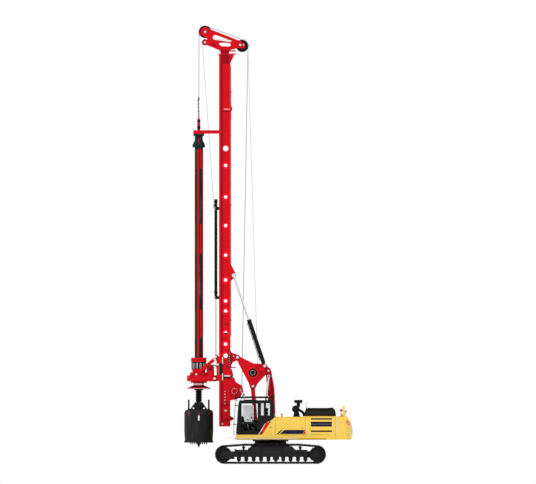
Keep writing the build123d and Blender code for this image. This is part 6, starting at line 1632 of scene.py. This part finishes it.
# gearbox: its side beams with flanges and webs, rings of bolts
shape = bmesh.new()
for side in mirrorSides:
    for lowZ, highZ in ((4.068, 4.092), (3.806, 3.828)):
        addBlock(shape, (-3.62, side * 0.3, lowZ), (-2.484, side * 0.42, highZ), 0.004)
    addBlock(shape, (-3.05, side * 0.335, 3.826), (-2.484, side * 0.36, 4.07), 0.003)
    for x in (-2.6, -2.9):
        addBlock(shape, (x, side * 0.358, 3.826), (x + 0.02, side * 0.405, 4.07), 0.002)
ringBolts(shape, onTool(4.071), up, 0.48, 28, 0.034, 0.022, 1)
ringBolts(shape, onTool(4.211), up, 0.386, 24, 0.03, 0.018, 1)
addRing(shape, onTool(3.93), up, 0.54, 0.556, -0.028, 0.028, 72)
ringBolts(shape, (toolX, 0, 3.824), (0, 0, -1), 0.47, 24, 0.03, 0.018, 1)
makePiece("gearboxTrim", shape, "rotary_drive", "red", redPaint, deepRedAndShadePaint)

# two hydraulic motors with brake housing, ports, cover screws
shape = bmesh.new()
for x, y in drive["motors"]:
    addLathe(shape, ((0, 0.09), (0.1, 0.09), (0.112, 0.078), (0.112, 0.02), (0.15, 0.012), (0.15, -0.004),
                     (0, -0.004)), (x, y, 4.489), up, 36)
    ringBolts(shape, (x, y, 4.5), up, 0.132, 8, 0.024, 0.016, 2)
    for z in (4.13, 4.3, 4.42):
        addRing(shape, (x, y, z), up, 0.175, 0.184, -0.009, 0.009, 44)
    side = 1 if y > 0 else -1
    addBlock(shape, (x - 0.06, y + side * 0.17, 4.32), (x + 0.06, y + side * 0.21, 4.4), 0.006, 1)
    for shift in (-0.03, 0.03):
        addPin(shape, x + shift, 4.36, y + side * 0.2, y + side * 0.235, 0.02, 14, 1)
makePiece("motorTrim", shape, "rotary_drive", "red", redPaint, blackPaint, pinSteel)
routes = []
for x, y in drive["motors"]:
    side = 1 if y > 0 else -1
    for shift in (-0.03, 0.03):
        routes.append([(x + shift, y + side * 0.22, 4.36), (x + shift, y + side * 0.27, 4.37),
                       (x + shift + 0.06, y + side * 0.25, 4.52), (x + shift + 0.19, y + side * 0.12, 4.58),
                       (x + 0.27, y + side * (0.06 + shift), 4.5), (-2.484, y + side * (0.06 + shift), 4.42)])
makeTubes("motorHoses", routes, 0.015, "rotary_drive", "black_steel", rubber, 10)

# driving drum: black pockets with silver bars, screw rings, seam rings of the skirt and a painted shade band
# on its cone
shape = bmesh.new()
for index in range(drive["pockets"]):
    turn = 2 * pi * (index + 0.5) / drive["pockets"]
    for shift, material in ((-0.085, 1), (0.0, 0), (0.085, 1)):
        angle = turn + shift
        out = around(angle)
        base = onTool(4.4) + out * (drive["drum"] + 0.002)
        addRod(shape, base, base + vec(0, 0, 0.26), 0.014 if material else 0.022, 10, material)
    out = around(turn)
    addBolts(shape, [onTool(z) + out * (drive["drum"] + 0.02) for z in (4.46, 4.54, 4.62)], out, 0.022, 0.008,
             2)
ringBolts(shape, onTool(4.893), up, 0.315, 16, 0.03, 0.018, 3)
for index in range(drive["topScrews"]):
    angle = 2 * pi * index / drive["topScrews"]
    out = around(angle)
    addBolts(shape, [onTool(4.8) + out * 0.353], out, 0.026, 0.01, 3)
for z, *ring in drive["sleeveRings"]:
    addRing(shape, onTool(z), up, *ring)
# black band on the skirt's cone: painted shade on its slope
addLathe(shape, ((0.33, 3.5931), (0.47, 3.5295), (0.471, 3.533), (0.331, 3.5972)), onTool(0), up, 72)
ringBolts(shape, onTool(3.736), (0, 0, -1), 0.345, 20, 0.028, 0.016, 3)
makePiece("sleeveTrim", shape, "drive_sleeve", "red", blackPaint, pinSteel, brightRedAndHighlightPaint, deepRedAndShadePaint)

# head pin of the crowd rod
shape = bmesh.new()
addLathe(shape, ((0, 0.05), (0.03, 0.04), (0.048, 0.015), (0.05, -0.015), (0.034, -0.042), (0, -0.052)),
         (-2.483, 0, 5.03), up, 28)
for side in mirrorSides:
    addPin(shape, -2.483, 5.03, side * 0.03, side * 0.09, 0.03, 20)
makePiece("crowdRodHead", shape, "rotary_drive", "rod_chrome", pinSteel)
print("drive made")

# kelly bar: red strips beside the keys at the lock stations, ring seams
kelly = {"stations": ((13.64, 14.5), (9.73, 11.05), (5.87, 7.1)),
         "ribTurns": (90, 210, 330), "chain": (15.91, 16.77), "chainPitch": 0.0805}
shape = bmesh.new()
for ribTurn in kelly["ribTurns"]:
    for shift in (-0.13, 0.13):
        angle = radians(ribTurn) + shift
        out = around(angle)
        for lowZ, highZ in kelly["stations"]:
            block = addBlock(shape, (0, -0.011, 0), (0.008, 0.011, highZ - lowZ), 0.002)
            matrix = Matrix.Translation(onTool(lowZ) + out * 0.1885) @ Matrix.Rotation(angle, 4, "Z")
            bmesh.ops.transform(shape, matrix=matrix, verts=block)
for lowZ, highZ in kelly["stations"]:
    for z in (lowZ, highZ):
        addRing(shape, onTool(z), up, 0.186, 0.1906, -0.02, 0.02, 56, 1)
# head collar: seams and screws
for z, radius in ((14.6, 0.291), (14.672, 0.291), (15.12, 0.251), (15.185, 0.251)):
    addRing(shape, onTool(z), up, radius - 0.004, radius + 0.004, -0.008, 0.008, 64, 1)
ringBolts(shape, onTool(15.202), up, 0.215, 12, 0.034, 0.02, 1)
# red key stripe on the head cone's flanks
for side in mirrorSides:
    addRod(shape, (toolX, side * 0.245, 14.78), (toolX, side * 0.2, 15.0), 0.012, 10)
# red guide stripes along the tube and on the ribs' crowns, red stops at the lock stations


def addStripe(degreesTurn, width, lowZ, highZ, reach, steps=6):
    # thin closed band bent round the tube
    rows = []
    for z in (lowZ, highZ):
        turns = [radians(degreesTurn) + width / reach * (step / steps - 0.5) for step in range(steps + 1)]
        places = [(reach - 0.001, turn) for turn in turns]
        places += [(reach + 0.0008, turn) for turn in reversed(turns)]
        rows.append([shape.verts.new(onTool(z) + around(turn) * out) for out, turn in places])
    for index, vert in enumerate(rows[0]):
        after = (index + 1) % len(rows[0])
        shape.faces.new((vert, rows[0][after], rows[1][after], rows[1][index]))
    shape.faces.new(rows[0][::-1])
    shape.faces.new(rows[1])


for half in (0, 180):
    addStripe(half + 78.5, 0.087, 3.6, 14.5, 0.19)
    for lowZ, highZ in kelly["stations"]:
        addStripe(half + 119, 0.058, lowZ, highZ, 0.19)
        for turn, width in ((132, 0.075), (20, 0.05)):
            addStripe(half + turn, width, lowZ - 0.06, lowZ + 0.09, 0.1905)
for lowZ, highZ in ((3.6, 5.8), (7.12, 9.66), (11.07, 13.57)):
    for ribTurn in kelly["ribTurns"]:
        addStripe(ribTurn, 0.03, lowZ, highZ, 0.2049)
makePiece("kellyTrim", shape, "kelly", "kelly_steel", redPaint, kellySteel)

# swivel between rope and bar, then the short links up to the rope's socket
shape = bmesh.new()
addLathe(shape, ((0, 0.0), (0.06, 0.0), (0.075, 0.02), (0.075, 0.16), (0.062, 0.18), (0.062, 0.3),
                 (0.07, 0.32), (0.07, 0.44), (0.05, 0.47), (0, 0.47)), onTool(15.4), up, 36)
for z in (15.48, 15.64, 15.78):
    addRing(shape, onTool(z), up, 0.06, 0.082, -0.012, 0.012, 36)
makePiece("swivelTrim", shape, "kelly", "black_steel", blackPaint)
link = bmesh.new()
course = [(0.026 * cos(a), 0, 0.026 * sin(a) + (0.034 if sin(a) >= 0 else -0.034)) for a in
          [2 * pi * (step + 0.5) / 20 for step in range(20)]]
for index, point in enumerate(course):
    addRod(link, point, course[(index + 1) % len(course)], 0.0115, 8)
shape = bmesh.new()
count = int((kelly["chain"][1] - kelly["chain"][0]) / kelly["chainPitch"])
matrices = []
for index in range(count + 1):
    place = (-3.317 + 0.017 * (1 - index / count), 0, kelly["chain"][0] + kelly["chainPitch"] * (index + 0.1))
    matrices.append(Matrix.Translation(place) @ Matrix.Rotation(pi / 2 * (index % 2), 4, "Z"))
stampCopies(shape, link, matrices)
addLathe(shape, ((0, 0.0), (0.03, 0.0), (0.034, 0.02), (0.03, 0.12), (0.02, 0.16), (0, 0.16)),
         (-3.298, 0, 16.74), up)
makePiece("ropeLinks", shape, "kelly", "black_steel", blackPaint)

# spring seats between the bar and the bucket
shape = bmesh.new()
for z, radius in ((3.36, 0.124), (2.9, 0.0992)):
    addRing(shape, onTool(z), up, 0.09, radius, -0.012, 0.012, 40)
makePiece("springSeats", shape, "kelly", "kelly_steel", springSteel)

# bucket: base and lid rings, rim of the emptying slot, strap pins, release posts
bucket = {"slot": (1.987, 2.263), "pinTurns": (270, 225, 315, 193, 347, 90, 45, 135, 13, 167),
          "pinRows": ((2.33, 0.665, 0.012, 0.03, 18, 2), (1.09, 0.637, 0.014, 0.026, 18, 2),
                      (1.56, 0.665, 0.01, 0.018, 14, 0))}
shape = bmesh.new()
addRing(shape, onTool(1.055), up, 0.638, 0.646, -0.026, 0.026, 96)
addRing(shape, onTool(2.49), up, 0.52, 0.6, -0.004, 0.006, 96, 1)
for side in mirrorSides:
    # rim of the emptying slot
    y = side * 0.6655
    for shift in (-0.05, 0.05):
        addPost(shape, toolX + shift, y, bucket["slot"][0], bucket["slot"][1], 0.009, 10, 1)
    for z in bucket["slot"]:
        addRod(shape, (toolX - 0.05, y, z), (toolX + 0.05, y, z), 0.009, 10, 1)
    addBlock(shape, (toolX - 0.04, side * 0.648, bucket["slot"][0] + 0.02),
             (toolX + 0.04, side * 0.655, bucket["slot"][1] - 0.02), 0.002, 3)
# strap pins round the lid and the foot with red heads, plain ones between
for angle in map(radians, bucket["pinTurns"]):
    out = around(angle)
    for z, reach, proud, radius, sides, material in bucket["pinRows"]:
        place = onTool(z) + out * reach
        addRod(shape, place, place + out * proud, radius, sides, material)
# release posts: caps and collars
for side in mirrorSides:
    x = toolX + side * 0.46
    addRing(shape, (x, 0, 2.52), up, 0.039, 0.062, -0.03, 0.03, 32, 1)
    addRing(shape, (x, 0, 2.955), up, 0.039, 0.048, -0.012, 0.012, 32, 1)
makePiece("bucketTrim", shape, "kelly", "bucket_steel", bucketSteel, blackPaint, redPaint, whitePaint)

# gate: tooth sockets with their pins, pilot's collar
shape = bmesh.new()
for side in mirrorSides:
    for index in range(1, 5):
        x = toolX + side * 0.09 * index
        addBlock(shape, (x - 0.03, -0.05, 0.962), (x + 0.03, 0.05, 0.992), 0.004)
        addPin(shape, x, 0.977, -0.052, 0.052, 0.008, 10, 1)
addRing(shape, onTool(0.97), up, 0.06, 0.1, -0.012, 0.02, 36)
makePiece("gateTrim", shape, "bucket_gate", "bucket_steel", bucketSteel, redPaint)
print("kelly and bucket made")


# hoist ropes: strands twisted round their line, each piece on the body it hangs from, or left unattached
# where it hangs between two bodies
def makeRope(name, route, radius, slotName, bodies, reach=None):
    # three strands wound round the course; smooth corners come from the many points of the route
    rows = [Vector(point) for point in route]
    shape = bmesh.new()
    sides, step = 12, 0.0
    ringBefore = None
    for index, point in enumerate(rows):
        ahead = (rows[min(index + 1, len(rows) - 1)] - rows[max(index - 1, 0)]).normalized()
        across = vec(0, 1, 0)
        lift = ahead.cross(across).normalized()
        if index:
            step += (point - rows[index - 1]).length
        ring = []
        for corner in range(sides):
            angle = 2 * pi * corner / sides
            swell = radius * (0.9 + 0.1 * cos(3 * angle - 0.55 * step / radius))
            ring.append(shape.verts.new(point + across * (swell * cos(angle)) + lift * (swell * sin(angle))))
        if ringBefore:
            for corner in range(sides):
                after = (corner + 1) % sides
                shape.faces.new((ringBefore[corner], ringBefore[after], ring[after], ring[corner]))
        else:
            shape.faces.new(ring[::-1])
        ringBefore = ring
    shape.faces.new(ringBefore)
    piece = makePiece(name, shape, None if reach else bodies[0], slotName, ropeSteel, smoothAngle=60)
    if reach:
        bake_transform(piece)
    return piece


def straight(start, end, pitch=0.06):
    start, end = Vector(start), Vector(end)
    count = max(int((end - start).length / pitch), 1)
    return [start.lerp(end, index / count) for index in range(count + 1)]


def roundSheave(centre, radius, fromAngle, toAngle, count=40):
    return [vec(x, 0, z) for x, z in arcPoints(*centre, radius, fromAngle, toAngle, count + 1)]


def tangentTurn(first, firstRadius, second, secondRadius):
    # direction, in degrees, of the outer tangent points of a line laid over both rounds on their left
    span = Vector((second[0] - first[0], second[1] - first[1]))
    return degrees(atan2(span.y, span.x) + acos((firstRadius - secondRadius) / span.length))


def atTurn(centre, radius, turn, y=0.0):
    return vec(centre[0] + radius * cos(radians(turn)), y, centre[1] + radius * sin(radians(turn)))


def shiftRoute(route, y):
    return [vec(point.x, y, point.z) for point in route]


rope = {"main": 0.0172, "aux": 0.009, "mainY": -0.009, "auxY": 0.0205, "front": (-3.013, 19.89),
        "frontGroove": 0.255, "small": (-3.013, 19.407), "smallGroove": 0.118, "rear": (-1.302, 19.242),
        "rearGroove": 0.25, "mainDrum": (-1.665, 3.349), "mainCore": 0.34, "auxDrum": (-0.81, 4.209),
        "auxCore": 0.225, "socketZ": 16.85, "parked": (-2.6, 0.0205, 11.9)}

# main rope: socket, up to the front sheave, over both sheaves, down to its winch
frontRound, rearRound = rope["frontGroove"] + rope["main"], rope["rearGroove"] + rope["main"]
over = tangentTurn(rope["front"], frontRound, rope["rear"], rearRound)
down = tangentTurn(rope["rear"], rearRound, rope["mainDrum"], rope["mainCore"])
route = (roundSheave(rope["front"], frontRound, 180, over, 36)
         + straight(atTurn(rope["front"], frontRound, over), atTurn(rope["rear"], rearRound, over))[1:-1]
         + roundSheave(rope["rear"], rearRound, over, down, 24))
route = shiftRoute(route, rope["mainY"])
last = atTurn(rope["mainDrum"], rope["mainCore"], down, -0.05)
makeRope("mainRopeHead", route + straight(route[-1], last, 0.12)[1:], rope["main"], "black_steel", ("mast",))
topEnd = route[0]
middle = vec(-3.296, -0.002, 17.35)
makeRope("mainRopeUpper", straight(topEnd, middle), rope["main"], "black_steel", ("mast", "rotary_drive"),
         (topEnd - vec(0, 0, 0.05), middle + vec(0, 0, 0.05)))
lowEnd = vec(-3.298, 0, rope["socketZ"])
makeRope("mainRopeLower", straight(middle, lowEnd), rope["main"], "black_steel",
         ("rotary_drive", "kelly_guide"), (middle, lowEnd))

# auxiliary rope: parked shackle, small front sheave, rear sheave, down to the winch in the triangle frame
smallRound, rearRound = rope["smallGroove"] + rope["aux"], rope["rearGroove"] + rope["aux"]
parked = Vector(rope["parked"])
away = Vector((parked.x - rope["small"][0], parked.z - rope["small"][1]))
start = degrees(atan2(away.y, away.x) - acos(smallRound / away.length)) + 360
over = tangentTurn(rope["small"], smallRound, rope["rear"], rearRound)
down = tangentTurn(rope["rear"], rearRound, rope["auxDrum"], rope["auxCore"])
route = (straight(parked, atTurn(rope["small"], smallRound, start, rope["auxY"]), 0.12)[:-1]
         + shiftRoute(roundSheave(rope["small"], smallRound, start, over, 24), rope["auxY"])
         + shiftRoute(straight(atTurn(rope["small"], smallRound, over),
                               atTurn(rope["rear"], rearRound, over)), rope["auxY"])[1:-1]
         + shiftRoute(roundSheave(rope["rear"], rearRound, over, down, 24), rope["auxY"]))
makeRope("auxRopeHead", route, rope["aux"], "black_steel", ("mast",))
last = atTurn(rope["auxDrum"], rope["auxCore"], down, 0.06)
makeRope("auxRopeRear", straight(route[-1], last, 0.12), rope["aux"], "black_steel", ("triangle", "mast"),
         (last + vec(0, 0, 0.15), last + vec(-0.03, 0, 1.1)))

# shackle where the auxiliary rope is parked
shape = bmesh.new()
addBlock(shape, (-2.62, -0.012, 11.765), (-2.58, 0.03, 11.825), 0.003)
addRing(shape, (-2.6, 0.0205, 11.85), (0, 1, 0), 0.02, 0.034, -0.012, 0.012)
addLathe(shape, ((0, 0), (0.016, 0.0), (0.02, 0.012), (0.016, 0.07), (0.01, 0.09), (0, 0.09)),
         (-2.6, 0.0205, 11.87), up, 20)
makePiece("ropeShackle", shape, "mast", "black_steel", blackPaint)

# rope laid on the auxiliary winch
shape = bmesh.new()
addRopeLay(shape, (rope["auxDrum"][0], 0, rope["auxDrum"][1]), 0.2, 0.235, rope["aux"])
makePiece("auxWinchRope", shape, "aux_winch", "black_steel", ropeSteel)
print("ropes made")

# camera, floor and light
view = {"scale": 24.656, "centreX": -0.115, "centreZ": 10.221, "distance": 60.0}
cameraData = bpy.data.cameras.new("camera")
cameraData.type = "ORTHO"
cameraData.ortho_scale = view["scale"]
cameraData.clip_end = 400
camera = bpy.data.objects.new("camera", cameraData)
camera.location = (view["centreX"], -view["distance"], view["centreZ"])
camera.rotation_euler = (radians(90), 0, 0)
bpy.context.scene.collection.objects.link(camera)
bpy.context.scene.camera = camera

studio = {"floorHalf": 90.0, "worldStrength": 0.72, "suns": (("keyLight", 0.96, -28, 38, 25),
                                                             ("fillLight", 0.36, 50, 20, 60),
                                                             ("rimLight", 0.4, 170, 45, 40))}
floorShape = bmesh.new()
bmesh.ops.create_grid(floorShape, x_segments=1, y_segments=1, size=studio["floorHalf"])
floorMesh = bpy.data.meshes.new("floor")
floorShape.to_mesh(floorMesh)
floorShape.free()
floor = bpy.data.objects.new("floor", floorMesh)
floor.location = (0, 0, -0.002)
bpy.context.scene.collection.objects.link(floor)
floorFinish = bpy.data.materials.new("floorFinish")
floorFinish.use_nodes = True
floorShader = floorFinish.node_tree.nodes["Principled BSDF"]
floorShader.inputs["Base Color"].default_value = (0.93, 0.93, 0.93, 1)
floorShader.inputs["Roughness"].default_value = 0.9
floorShader.inputs["Specular IOR Level"].default_value = 0.1
floorMesh.materials.append(floorFinish)


def addSun(name, strength, azimuth, elevation, softness):
    lamp = bpy.data.lights.new(name, "SUN")
    lamp.energy = strength
    lamp.angle = radians(softness)
    holder = bpy.data.objects.new(name, lamp)
    turn, rise = radians(azimuth - 90), radians(elevation)
    away = around(turn) * cos(rise) + vec(0, 0, sin(rise))
    holder.rotation_mode = "QUATERNION"
    holder.rotation_quaternion = away.to_track_quat("Z", "Y")
    bpy.context.scene.collection.objects.link(holder)


for name, *settings in studio["suns"]:
    addSun(name, *settings)

world = bpy.data.worlds.new("studio")
bpy.context.scene.world = world
world.use_nodes = True
skyTree = world.node_tree
sky = skyTree.nodes["Background"]
rays = skyTree.nodes.new("ShaderNodeLightPath")
seen = mathNode(skyTree, "ADD", mathNode(skyTree, "ADD", rays.outputs["Is Camera Ray"],
                                         rays.outputs["Is Glossy Ray"]), rays.outputs["Is Transmission Ray"])
sky.inputs["Color"].default_value = (1, 1, 1, 1)
skyTree.links.new(rangeNode(skyTree, seen, 0.0, 1.0, studio["worldStrength"], 1.0), sky.inputs["Strength"])
bpy.context.scene.view_settings.view_transform = "Standard"
print("stage set")
